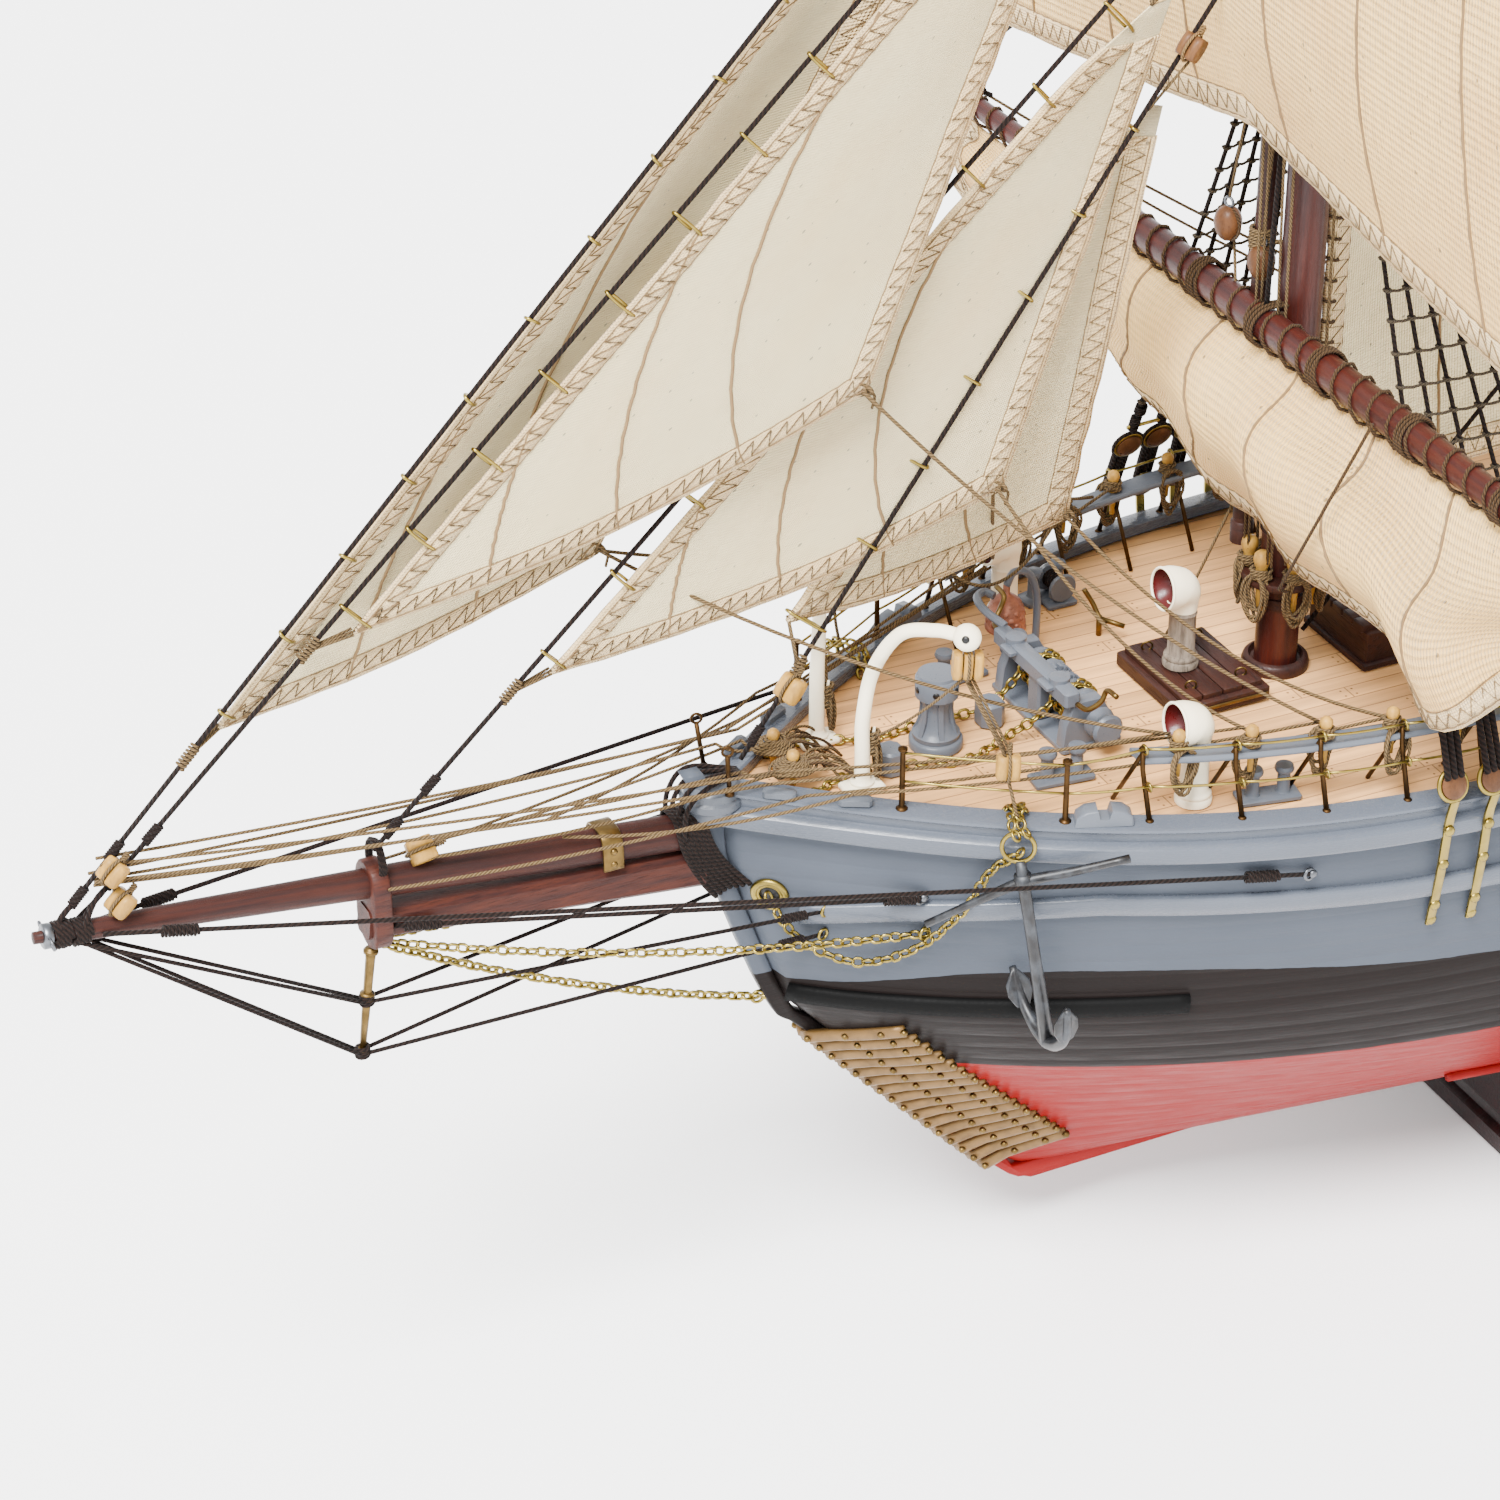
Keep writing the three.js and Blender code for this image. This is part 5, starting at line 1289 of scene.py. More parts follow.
def make_windlass():
    x, z = -240.0, on_deck(-240) + 0.25
    frame_parts = Shape()
    for y in (-12.0, 12.6):
        outline = [(x - 7, z), (x + 6, z), (x + 5.2, z + 4), (x + 1.5, z + 10.8), (x - 4.4, z + 11),
                   (x - 6.4, z + 6)]
        rows = []
        for dy, inset in ((1.4, 0.25), (1.15, 0), (-1.15, 0), (-1.4, 0.25)):
            c = vec(x - 0.8, 0, z + 5.2)
            rows.append([vec(px, y + dy, pz) + (c - vec(px, 0, pz)) * inset / 8 for px, pz in outline])
        frame_parts.grid(rows)
    frame_parts.box((x - 7, -13.9, z), (x + 6, 14.9, z + 1.3), 0.3)
    frame_parts.box((x - 7, -14, z + 10.3), (x - 3.6, 15, z + 13.9), 0.5)
    frame_parts.box((x - 6.2, -2.2, z + 1.2), (x - 3.2, 2.2, z + 10.4), 0.5)
    frame_parts.box((x - 8.6, -9.4, z + 12.2), (x - 6.8, -5.2, z + 13.4), 0.3)
    frame_parts.box((x - 8.6, 5.2, z + 12.2), (x - 6.8, 9.4, z + 13.4), 0.3)
    # Pawl lever with its hooked end over the bell's side.
    lever = smooth([(x - 4.5, 14.5, z + 13.6), (x - 6.5, 19.5, z + 15.2), (x - 6, 23.4, z + 15.8),
                    (x - 3.6, 25, z + 15.7), (x - 2.2, 23.2, z + 15.4)], 6)
    frame_parts.tube(lever, 0.85, 8)
    for y in (-8.4, 8.8):
        frame_parts.turned(((2.1, -1), (2.1, 1.0), (1.2, 1.2), (0.001, 1.25)), 14, (x - 5.3, y, z + 13.6))
    frame_parts.make("windlass_bitts", "fitting_paint", GREY, replaces=["windlass_frame"], flat=40)

    barrel = Shape()
    axis, at = (0, 1, 0), (x, 0, z + 6.5)
    barrel.turned(((0.001, -19), (2.8, -19), (3.3, -18.4), (2.7, -17), (3.2, -15.4), (3.3, -15),
                   (1.15, -14.4), (1.15, -10), (3.6, -9.7), (4.0, -9.2), (3.9, -8.2), (2.6, -7.2),
                   (2.6, -5.4), (3.9, -4.4), (3.6, -3.6), (3.0, -3), (3.0, 3), (3.6, 3.6), (3.9, 4.4),
                   (2.6, 5.4),
                   (2.6, 7.2), (3.9, 8.2), (4.0, 9.2), (3.6, 9.8), (1.15, 10.2), (1.15, 15.2), (3.3, 15.6),
                   (3.2, 16.2), (2.7, 17.4), (3.3, 18.6), (2.8, 19), (0.001, 19)), 20, at, axis)
    for k in range(18):
        g = k * TAU / 18
        d = vec(math.cos(g), 0, math.sin(g))
        for y in (-1.8, 1.8):
            c = vec(*at) + d * 3.3 + vec(0, y, 0)
            side = np.cross(d, vec(0, 1, 0)) * 0.34
            rows = [[c + d * h - side - vec(0, 0.8, 0), c + d * h + side - vec(0, 0.8, 0),
                     c + d * h + side + vec(0, 0.8, 0), c + d * h - side + vec(0, 0.8, 0)]
                    for h in (-0.5, 0.55)]
            barrel.grid(rows)
    barrel.make("windlass_drum", "fitting_paint", GREY, body="windlass_barrel_body",
                replaces=["windlass_barrel"], flat=40)
    wraps = Shape()
    for y in (-6.3, 6.3):
        path = []
        for k in range(70):
            g = k / 69 * TAU * 2.8
            path.append(vec(*at) + vec(3.5 * math.cos(g), y - 1.2 + 2.4 * k / 69, 3.5 * math.sin(g)))
        chain(wraps, path)
    wraps.make("windlass_chain_wraps", "brass", BRASS, body="windlass_barrel_body")

    handles = Shape()
    for turn in (1, -1):
        a = vec(x - 5.2, 15.2 * turn, z + 12.0)
        crank = smooth([a, a + vec(0.5, 3.2 * turn, 0.4), a + vec(2.5, 4.6 * turn, 2.4),
                        a + vec(3.5, 5.0 * turn, 4.8), a + vec(3.6, 8.4 * turn, 5.2)], 5)
        handles.tube(crank, 0.55, 8)
    handles.make("windlass_handles", "brass", OLD_BRASS)


def make_bell():
    x, y, z = -239.0, 24.0, on_deck(-239) + 0.25
    shape = Shape()
    shape.turned(((0.001, 6.9), (3.2, 7.0), (4.1, 7.0), (4.2, 7.4), (3.95, 8.0), (3.9, 9.2), (3.8, 10.6),
                  (3.5, 12.0), (2.9, 13.2), (1.9, 14.1), (1.1, 14.5), (0.7, 15.0), (0.7, 16.6),
                  (0.001, 16.8)), 32, (x, y, z))
    for turn in range(9):
        for tier in range(4):
            g = (turn + 0.5 * (tier % 2)) / 9 * TAU
            r, h = ((3.95, 8.9), (3.82, 10.4), (3.5, 11.8), (2.7, 13.2))[tier]
            shape.turned(((0.85, -0.25), (0.75, 0.08), (0.4, 0.2), (0.001, 0.24)), 8,
                         (x + (r - 0.1) * math.cos(g), y + (r - 0.1) * math.sin(g), z + h),
                         (math.cos(g), math.sin(g), 0.35 * tier))
    shape.make("ship_bell_cast", "copper", COPPER, replaces=["ship_bell"])
    posts = Shape()
    arm = smooth([(x + 7, y, z), (x + 7, y, z + 12), (x + 5, y, z + 18), (x + 1.6, y, z + 19.2),
                  (x, y, z + 16.6)], 8)
    posts.tube(arm, 0.8, 8)
    posts.turned(((1.9, 0), (1.9, 0.6), (1.1, 1.1), (0.8, 2)), 12, (x + 7, y, z))
    posts.make("bell_gallows", "fitting_paint", GREY)


def make_hatch():
    x0, x1, half = -220.0, -199.4, 12.5
    z = deck_top(x0) + GAP
    shape = Shape()
    shape.box((x0, -half, z), (x1, half, z + 3.1), 0.35)
    boards = 4
    for k in range(boards):
        a, b = mix(x0 + 1.1, x1 - 1.1, k / boards), mix(x0 + 1.1, x1 - 1.1, (k + 1) / boards)
        shape.box((a + 0.14, 1 - half, z + 2.6), (b - 0.14, half - 1, z + 4.4), 0.22)
    shape.make("fore_hatch_boards", "varnished_wood", HATCH, replaces=["fore_hatch"], flat=40)
    trims = Shape()
    for sign in (-1, 1):
        trims.box((x0 + 0.6, sign * (half + 0.1) - 0.2, z + 1.2),
                  (x1 - 0.6, sign * (half + 0.1) + 0.2, z + 2), 0.1)
        ring(trims, (x0 + 4.6, sign * 8.4, z + 5.2), (0.3, 1, 0.2), 1.1, 0.22)
        ring(trims, (x1 - 4.6, sign * 8.4, z + 5.2), (0.3, 1, 0.2), 1.1, 0.22)
    trims.make("fore_hatch_trims", "brass", OLD_BRASS)


def cowl(x, y, z, name, node, trunk_paint=WHITE):
    """Ventilator: trunk, moulded foot and a bent hood with a rolled lip; the inside is red."""
    trunk = Shape()
    trunk.turned(((0.001, 0), (3.6, 0), (3.65, 1.0), (3.3, 1.5), (3.5, 1.9), (3.3, 2.4), (2.75, 2.9),
                  (2.7, 11.4), (2.9, 11.7), (2.7, 12.1), (2.6, 13), (0.001, 13.2)), 24, (x, y, z))
    hood = smooth([(0, 0, 12.4), (0, 0, 14.4), (-0.3, 0, 16.0), (-1.4, 0, 17.2), (-3.2, 0, 17.8),
                   (-4.9, 0, 18.0)], 4)
    radii = np.interp(np.linspace(0, 1, len(hood)), (0, 0.2, 0.4, 0.6, 0.8, 1),
                      (2.75, 3.0, 3.7, 4.25, 4.45, 4.4))
    hood = [vec(x, y, z) + p for p in hood]
    trunk.make(f"{name}_trunk", "white_paint", trunk_paint, replaces=[node], flat=50)
    lips = Shape()
    lips.tube(hood, radii, 28, caps=False)
    d = unit(hood[-1] - hood[-2])
    ring(lips, hood[-1], d, 4.25, 0.3, 32)
    lips.make(f"{name}_hood", "white_paint", WHITE)
    inside = Shape()
    inner = [hood[-1] + d * 0.1, hood[-2], hood[-4], hood[-6], hood[-9]]
    _, u, w = frames(inner)
    angle = np.arange(24) / 24 * TAU
    rows = [p + r * (np.cos(angle)[:, None] * u[i] + np.sin(angle)[:, None] * w[i])
            for i, (p, r) in enumerate(zip(inner, (4.1, 4.05, 3.8, 3.3, 2.3)))]
    inside.grid([r[::-1] for r in rows], caps=False)
    inside.faces.append([inside.count - 24 + k for k in range(24)])
    inside.uvs.extend([(0, 0)] * 24)
    inside.make(f"{name}_throat", "red_paint", RED)


def make_davit(side, sign):
    z = deck_top(-288) + GAP
    foot = vec(-288.5, sign * 9.5, z)
    shape = Shape()
    path = smooth([foot + vec(a, sign * b, c) for a, b, c in (
        (0, 0, 0.3), (0, 0, 8), (0, 0, 16), (1.2, 1.6, 27), (3.8, 7, 36.8), (7.2, 14, 40.4), (10, 18.5, 41))],
                  7)
    radii = np.interp(np.linspace(0, 1, len(path)), (0, 0.4, 1), (1.55, 1.4, 1.25))
    shape.tube(path, radii, 16)
    knob = foot + vec(10.8, sign * 19.8, 41)
    shape.turned(ball(2.65, 10), 20, knob, (-0.45, sign * -0.9, 0.1))
    shape.box(foot + vec(-4, -2.6, -0.05), foot + vec(4, 2.6, 1.45), 0.4)
    shape.turned(((2.3, 0), (2.3, 0.7), (1.6, 1.2), (1.5, 2.2)), 16, foot + vec(0, 0, 1.3))
    # White horn cleat lashed to the post.
    cleat = foot + vec(1.7, 0, 10)
    shape.tube(smooth([cleat + vec(0.8, 0, -3.2), cleat + vec(0.5, 0, 0), cleat + vec(0.8, 0, 3.2)], 4),
               [0.25, 0.35, 0.45, 0.55, 0.55, 0.45, 0.35, 0.3, 0.25], 8)
    shape.make(f"anchor_davit_{side}_bent", "white_paint", WHITE, replaces=[f"anchor_davit_{side}"], flat=50)
    # Black disc on the ball: painted shade standing in for the hole through it.
    hole = Shape()
    d = vec(-0.55, -0.75 if sign < 0 else 0.75, 0.35)
    hole.turned(((0.75, 0), (0.75, 0.1), (0.001, 0.12)), 12, knob + unit(d) * 2.58, d)
    hole.make(f"davit_sheave_{side}", "black_iron", BLACK_PAINT_AND_HOLE_SHADE)
    woods, ropes = Shape(), Shape()
    top = knob + vec(0, sign * 0.4, -5.6)
    pulley(woods, ropes, top, (0.05, 0, 1), 5.2, double=True)
    fish = vec(-271.5, sign * 35.2, 143.5)
    pulley(woods, ropes, fish, (0.15, -sign * 0.2, 1), 4.8)
    for dx, dy in ((-0.7, -0.3), (0.8, 0.3), (0.1, 0.8)):
        ropes.tube([top + vec(dx, dy, -2.4), fish + vec(dx, dy, 2.3)], 0.3, 6)
    ropes.tube(smooth([fish + vec(0, 0, -2.6), vec(-270.8, sign * 36, 137.0),
                       vec(-269.5, sign * 36.4, 131.0)], 4), 0.34, 6)
    ropes.tube(sagging(top + vec(0, 0, -2.0), foot + vec(2.2, 0, 11), 1.5), 0.3, 6)
    windings(ropes, foot + vec(2.2, 0, 7.4), foot + vec(2.2, 0, 12.6), 0.95, 7, 0.34, 5, 0.3)
    for k in range(4):
        g0 = foot + vec(2.6 + 0.3 * k, -0.6 + 0.4 * k, 8.6)
        loop = [g0 + vec(0.3 * math.sin(a), 1.1 * math.sin(a + k), 3.4 * math.cos(a) - 2.6)
                for a in around(14)]
        ropes.tube(loop, 0.3, 5, loop=True)
    woods.make(f"davit_blocks_{side}", "boxwood", BOX, flat=45)
    ropes.make(f"davit_tackle_{side}", "tan_rope", TAN_ROPE)


ANCHOR_AT, ANCHOR_TURN, ANCHOR_RAKE, ANCHOR_LEAN = (-270.6, 38.6, 126.8), 0.56, 0.165, 0.06


def make_anchor(side, sign):
    """Stocked anchor in the same attitude as its CAD node."""
    def turn(a):
        c, s = math.cos(a), math.sin(a)
        return np.array([[c, -s, 0], [s, c, 0], [0, 0, 1]])

    def ry(a):
        c, s = math.cos(a), math.sin(a)
        return np.array([[c, 0, s], [0, 1, 0], [-s, 0, c]])

    def rx(a):
        c, s = math.cos(a), math.sin(a)
        return np.array([[1, 0, 0], [0, c, -s], [0, s, c]])
    whole = turn(sign * ANCHOR_TURN) @ rx(sign * ANCHOR_LEAN) @ ry(-ANCHOR_RAKE)
    arms = whole @ turn(-sign * ANCHOR_TURN)
    base = vec(ANCHOR_AT[0], sign * ANCHOR_AT[1], ANCHOR_AT[2])
    long = 42.0

    def place(points):
        return [base + whole @ vec(*p) for p in points]
    iron = Shape()
    iron.tube(place([(0, 0, -2.3), (0, 0, -6), (0, 0, -20), (0, 0, -34), (0, 0, -long)]),
              [0.95, 1.25, 1.15, 1.35, 1.6], 10)
    stock = place(smooth([(-19.5, 0, -14.1), (-8, 0, -9.6), (0, 0, -6.8), (9, 0, -5.6), (20.4, 0, -3.8)], 4))
    iron.tube(stock, np.interp(np.linspace(0, 1, len(stock)), (0, 0.1, 0.5, 0.9, 1),
                               (0.8, 0.75, 1.15, 0.8, 0.85)), 8)
    iron.turned(((0.001, -1.5), (1.7, -1.4), (1.8, 0), (1.7, 1.4), (0.001, 1.5)), 10,
                place([(0, 0, -6.6)])[0],
                whole @ vec(0, 0, 1))

    def crown(points):
        return [base + arms @ vec(*p) + whole @ vec(0, 0, -long) for p in points]
    curve = crown(smooth([(0, -10.6, 11.8), (0, -8.6, 5.6), (0, -4.8, 1.6), (0, 0, 0), (0, 4.8, 1.6),
                          (0, 8.6, 5.6), (0, 10.6, 11.8)], 5))
    iron.tube(curve, np.interp(np.linspace(0, 1, len(curve)), (0, 0.5, 1), (0.75, 1.5, 0.75)), 9)
    for end in (-1, 1):
        palm = [(0, 0.2), (1.5, 0.8), (2.6, 3.0), (2.5, 5.2), (1.1, 7.2), (0, 8.6), (-1.1, 7.2), (-2.5, 5.2),
                (-2.6, 3.0), (-1.5, 0.8)]
        rows = []
        for off, scale in ((-0.35, 0.94), (-0.15, 1.0), (0.25, 1.0), (0.45, 0.9)):
            rows.append(crown([(a * scale, end * (9.1 + 0.25 * (b - 4) - off), 3.6 + b * scale)
                               for a, b in palm]))
        iron.grid(facing(rows, end < 0))
    iron.make(f"anchor_{side}_forged", "black_iron", IRON, body=f"anchor_{side}_body",
              replaces=[f"anchor_{side}"])
    brass = Shape()
    path = place([(3.1 * math.cos(g), 0.1, 3.1 * math.sin(g) + 0.6) for g in around(24)])
    brass.tube(path, 0.46, 8, loop=True)
    brass.make(f"anchor_{side}_ring", "brass", BRASS, body=f"anchor_{side}_body")


HAWSE = (-306.4, 108.6)  # x and height of the hole that the anchor chain leaves by


def make_chains():
    shape = Shape()
    for _, sign in SIDES:
        ringat = vec(-270.6, sign * 38.6, 129.0)
        hawse = side_point(*HAWSE, sign, 1.2)
        # From the hawse, sagging along the bow, up to the ring.
        low = [side_point(x, z, sign, 2.2) for x, z in
               ((-303, 102.5), (-297, 96.8), (-290, 95.4), (-282, 100.5), (-276, 110.5), (-272.5, 120))]
        chain(shape, smooth([hawse, *low, ringat + vec(0, sign * 0.6, -2.4)], 10))
        # Second part passes from the ring over the rail to the deck and doubles back.
        rail = vec(-267.8, sign * 33.2, deck_top(-268) + 3.6)
        for lead in (-1.0, 1.2):
            chain(shape, smooth([ringat + vec(lead, sign * 0.5, 1.6),
                                 ringat + vec(lead * 0.8, -sign * 2, 3.4),
                                 rail + vec(lead, 0, 0.6), rail + vec(lead, -sign * 3.0, -0.6),
                                 rail + vec(lead, -sign * 4.4, -2.6)], 8))
        y0, y1 = (-5.2, -5.6) if sign < 0 else (5.6, 9.2)
        z0 = on_deck(-262) + 0.9
        chain(shape, smooth([(-243.5, sign * 6.3, 137.2), (-248, sign * 6.1, 132.6), (-254, y0, z0 + 0.8),
                             (-266, sign * 6.8 + (-2 if sign < 0 else 0), z0 + 0.2),
                             (-279, y0, z0 + 0.6), (-290, y1, z0 + 1.4), (-300, sign * 9.2, z0 + 1.6)], 12))
    shape.make("anchor_chains", "brass", BRASS)

    brass, dark = Shape(), Shape()
    for _, sign in SIDES:
        n = unit(side_point(*HAWSE, sign, 2) - side_point(*HAWSE, sign, 0.001))
        at = side_point(*HAWSE, sign, 0.35)
        ring(brass, at, n, 3.1, 0.75, 28, 8)
        ring(brass, at + n * 0.1, n, 2.3, 0.4, 28, 8)
        # Black disc inside each hawse ring: painted shade standing in for the depth of the hole.
        dark.turned(((2.3, -0.2), (2.2, 0.1), (0.001, 0.12)), 20, at, n)
        ring(brass, (-299, sign * 9.4, on_deck(-299) + 0.5), (0, 0, 1), 1.6, 0.5, 18, 6)
    brass.make("hawse_rings", "brass", BRASS)
    dark.make("hawse_hole_shade", "black_iron", BLACK_PAINT_AND_HOLE_SHADE)


def bollards(shape, x, y, spin):
    z = on_deck(x)
    shape.box((x - 6.2, y - 2.6, z), (x + 6.2, y + 2.6, z + 1.3), 0.35, spin=spin)
    for d in (-3.1, 3.1):
        at = (x + d * math.cos(spin), y + d * math.sin(spin), z + 1.2)
        shape.turned(((1.6, 0), (1.3, 0.4), (1.25, 4.2), (1.75, 4.6), (1.95, 5.2), (1.7, 5.9), (0.001, 6.2)),
                     16, at)


def make_foredeck_fittings():
    shape = Shape()
    for _, sign in SIDES:
        bollards(shape, -251.5, sign * 21.0, sign * 0.1)
        bollards(shape, -219, sign * 43.0, sign * 0.2)
        bollards(shape, 205, sign * 36.0, -sign * 0.2)
    for x, y in ((-280.3, -5.4), (-254, 3.0)):
        z = on_deck(x)
        shape.slab([(x - 2.6, y - 1.4), (x - 1.2, y - 2.8), (x + 1.2, y - 2.8), (x + 2.6, y - 1.4),
                    (x + 2.6, y + 1.4), (x + 1.2, y + 2.8), (x - 1.2, y + 2.8), (x - 2.6, y + 1.4)],
                   z, z + 5.4, 0.5)
    # Rail fairleads: low half-round blocks with two horns, and short chocks.
    for _, sign in SIDES:
        for x0, spin in ((-254, 0.38), (-120, 0.06), (60, -0.05), (215, -0.3)):
            y = half_breadth(x0, DECK_EDGE) - 1.2
            z = deck_top(x0) + 2.7
            outline = [(-5.6, 0), (5.6, 0), (5.2, 2.0), (3.6, 3.2), (1.4, 3.5), (0.9, 1.6), (-0.9, 1.6),
                       (-1.4, 3.5), (-3.6, 3.2), (-5.2, 2.0)]
            rows = []
            for dy, f in ((-1.9, 0.94), (-1.6, 1), (1.6, 1), (1.9, 0.94)):
                rows.append([(x0 + a * f, sign * y + dy, z + b * f) for a, b in outline])
            rows = turn_z(np.array(rows), sign * spin, vec(x0, sign * y, z))
            shape.grid(facing(rows, False))
    # Grey hand winch to starboard.
    x, y, z = -218.0, 40.5, on_deck(-218)
    shape.box((x - 3.4, y - 3.6, z), (x + 3.4, y + 3.6, z + 1.2), 0.3)
    for d in (-2.8, 2.8):
        shape.turned(((2.9, -0.5), (3.2, 0.0), (2.9, 0.5)), 18, (x, y + d, z + 4.4), (0, 1, 0))
    shape.turned(((1.3, -2.4), (1.2, 0), (1.3, 2.4)), 14, (x, y, z + 4.4), (0, 1, 0))
    shape.make("deck_bollards_and_chocks", "fitting_paint", GREY, flat=42)

    coil = Shape()
    windings(coil, (x, y - 2.2, z + 4.4), (x, y + 2.2, z + 4.4), 1.7, 7, 0.32, 5)
    coil.make("hand_winch_rope", "dark_rope", DARK_ROPE)
    cranks = Shape()
    cranks.tube(smooth([(-216.8, 22.6, on_deck(-217) + 3.5), (-216.9, 25, on_deck(-217) + 4.3),
                        (-217.5, 26.5, on_deck(-217) + 6.6), (-219, 27.6, on_deck(-217) + 9.6)], 6), 0.55, 8)
    cranks.tube([(-216.9, 24.6, on_deck(-217)), (-216.9, 24.6, on_deck(-217) + 4.4)], 0.6, 8)
    cranks.tube([(-216.8, 24, on_deck(-217) + 4), (-213.6, 20.2, on_deck(-217) + 3.4)], 0.55, 8)
    cranks.make("pump_handles", "brass", OLD_BRASS)

    companion = Shape()
    cx0, cx1, ch, cz = -176.0, -151.0, 10.5, deck_top(-160) + GAP
    companion.box((cx0, -ch, cz), (cx1, ch, cz + 8.4), 0.35)
    companion.box((cx0 - 0.8, -ch - 0.8, cz), (cx1 + 0.8, ch + 0.8, cz + 1.6), 0.3)
    for k in range(5):
        a, b = mix(1 - ch, ch - 1, k / 5), mix(1 - ch, ch - 1, (k + 1) / 5)
        companion.box((cx0 - 0.6, a + 0.12, cz + 8.0), (cx1 + 0.6, b - 0.12, cz + 9.8), 0.25)
    for mast_x, r in ((-190.5, 4.3), (-20.0, 4.5), (146.0, 3.9)):
        mz = deck_top(mast_x) + 0.1
        companion.turned(((r + 0.2, -0.1), (6.7, -0.1), (6.8, 1.0), (6.5, 2.0), (6.1, 2.4), (r + 1.2, 2.6),
                          (r + 0.7, 1.4), (r + 0.2, 1.2)), 36, (mast_x, 0, mz))
    companion.make("companion_and_mast_coats", "varnished_wood", HATCH, flat=42)


make_capstan()
make_windlass()
make_bell()
make_hatch()
hatch_top = deck_top(-220) + GAP + 4.4 + GAP
cowl(-212.5, 0.5, hatch_top, "vent_centre", "cowl_vent_centre", WEATHERED)
cowl(-232.5, -38.1, deck_top(-232.5) + GAP, "vent_port", "cowl_vent_port")
cowl(-231.0, 38.8, deck_top(-231) + GAP, "vent_starboard", "cowl_vent_starboard")
for side_name, side_sign in SIDES:
    make_davit(side_name, side_sign)
    make_anchor(side_name, side_sign)
make_chains()
make_foredeck_fittings()


# ---------------------------------------------------------------- pin boards, stanchions and rail wires
def board_y(x):
    return half_breadth(x, DECK_EDGE) - 7.4


def rail_y(x):
    return half_breadth(x, DECK_EDGE) - 1.4


BOARD_Z = 140.05  # underside of the pin boards
BOARD_POSTS = [-246.0, -229.5, -213.6, -197.5, -181.5, -165.5, -150.2]


def make_pin_boards():
    for side, sign in SIDES:
        board = Shape()
        xs = np.linspace(-246, -150, 30)
        rows = []
        for x in xs:
            y = board_y(x)
            rows.append([(x, sign * (y + a), BOARD_Z + b) for a, b in
                         ((-2.3, 0), (2.3, 0), (2.5, 0.35), (2.5, 1.0), (2.2, 1.35), (-2.2, 1.35),
                          (-2.5, 1.0), (-2.5, 0.35))])
        board.grid(facing(rows, sign < 0))
        wires, eyes, rods = Shape(), Shape(), Shape()
        for x in BOARD_POSTS:
            y, foot, deck = board_y(x), rail_y(x), deck_top(x)
            post = [(x, sign * foot, deck + 2.6), (x, sign * (y + 2.6), 139.2), (x, sign * (y + 2.3), 143.4)]
            rods.tube(post, (0.55, 0.5, 0.5), 8)
            rods.turned(((0.9, 0), (0.85, 0.4), (0.55, 0.7)), 10, (x, sign * foot, deck + 2.5))
            rods.tube([(x, sign * (y - 7.6), deck + 0.1), (x, sign * (y + 2.2), 142.4)], 0.46, 8)
            rods.turned(((0.5, 0), (0.85, 0.4), (0.75, 0.9), (0.001, 1.1)), 10, (x, sign * (y + 2.3), 143.0))
            ring(eyes, (x, sign * (y + 3.0), 143.8), (1, 0, 0.1), 0.95, 0.28, 14, 5)
            ring(eyes, (x, sign * (mix(y, foot, 0.5) + 2.2), 136.8), (1, 0, 0.1), 0.85, 0.26, 14, 5)
        board.make(f"pin_board_{side}", "fitting_paint", GREY, replaces=[f"pin_rail_{side}"], flat=45)
        eyes.make(f"stanchion_eyes_{side}", "brass", BRASS)
        rods.make(f"pin_board_stanchions_{side}", "brass", DARK_BRASS)
        # Free-standing stanchions ahead of the board and all the way aft, with two wires.
        posts = Shape()
        spots = [-286.6, -260.5] + [-132 + 22.2 * k for k in range(17)] + [244.0, 261.0]
        tops, mids = [], []
        for x in spots:
            y, deck = half_breadth(x, DECK_EDGE) - 1.0, deck_top(x)
            posts.tube([(x, sign * y, deck + 2.6), (x, sign * y, deck + 15.6)], (0.62, 0.5), 8)
            posts.turned(((1.3, 0), (1.2, 0.5), (0.6, 0.9)), 10, (x, sign * y, deck + 2.4))
            posts.turned(((0.5, 0), (0.95, 0.4), (0.95, 0.9), (0.001, 1.3)), 10, (x, sign * y, deck + 15.2))
        for x in spots[:2] + BOARD_POSTS + spots[2:]:
            on_board = -247 < x < -150
            deck = deck_top(x)
            y = board_y(x) + 3.0 if on_board else half_breadth(x, DECK_EDGE) - 1.0
            tops.append(vec(x, sign * y, 143.9 if on_board else deck + 15.0))
            mids.append(vec(x, sign * (mix(board_y(x), rail_y(x), 0.5) + 2.2 if on_board else y),
                            136.9 if on_board else deck + 8.8))
        for line in (tops, mids):
            for a, b in zip(line, line[1:]):
                wires.tube(sagging(a, b, 0.35, 5), 0.27, 6)
        posts.make(f"rail_stanchions_{side}", "brass", DARK_BRASS, flat=45)
        wires.make(f"rail_wires_{side}", "brass", BRASS)

        woods, ropes = Shape(), Shape()
        x = -238.6
        k = 0
        while x < -153:
            belay(woods, ropes, (x, sign * board_y(x), 141.4), seed=k * 3 + (1 if sign > 0 else 0),
                  out=(0.1, -sign, 0) if k % 3 else (0.1, sign, 0))
            x += 14.0 if k % 2 else 13.2
            k += 1
        woods.make(f"belaying_pins_{side}", "boxwood", BOX)
        ropes.make(f"pin_coils_{side}", "tan_rope", TAN_ROPE)


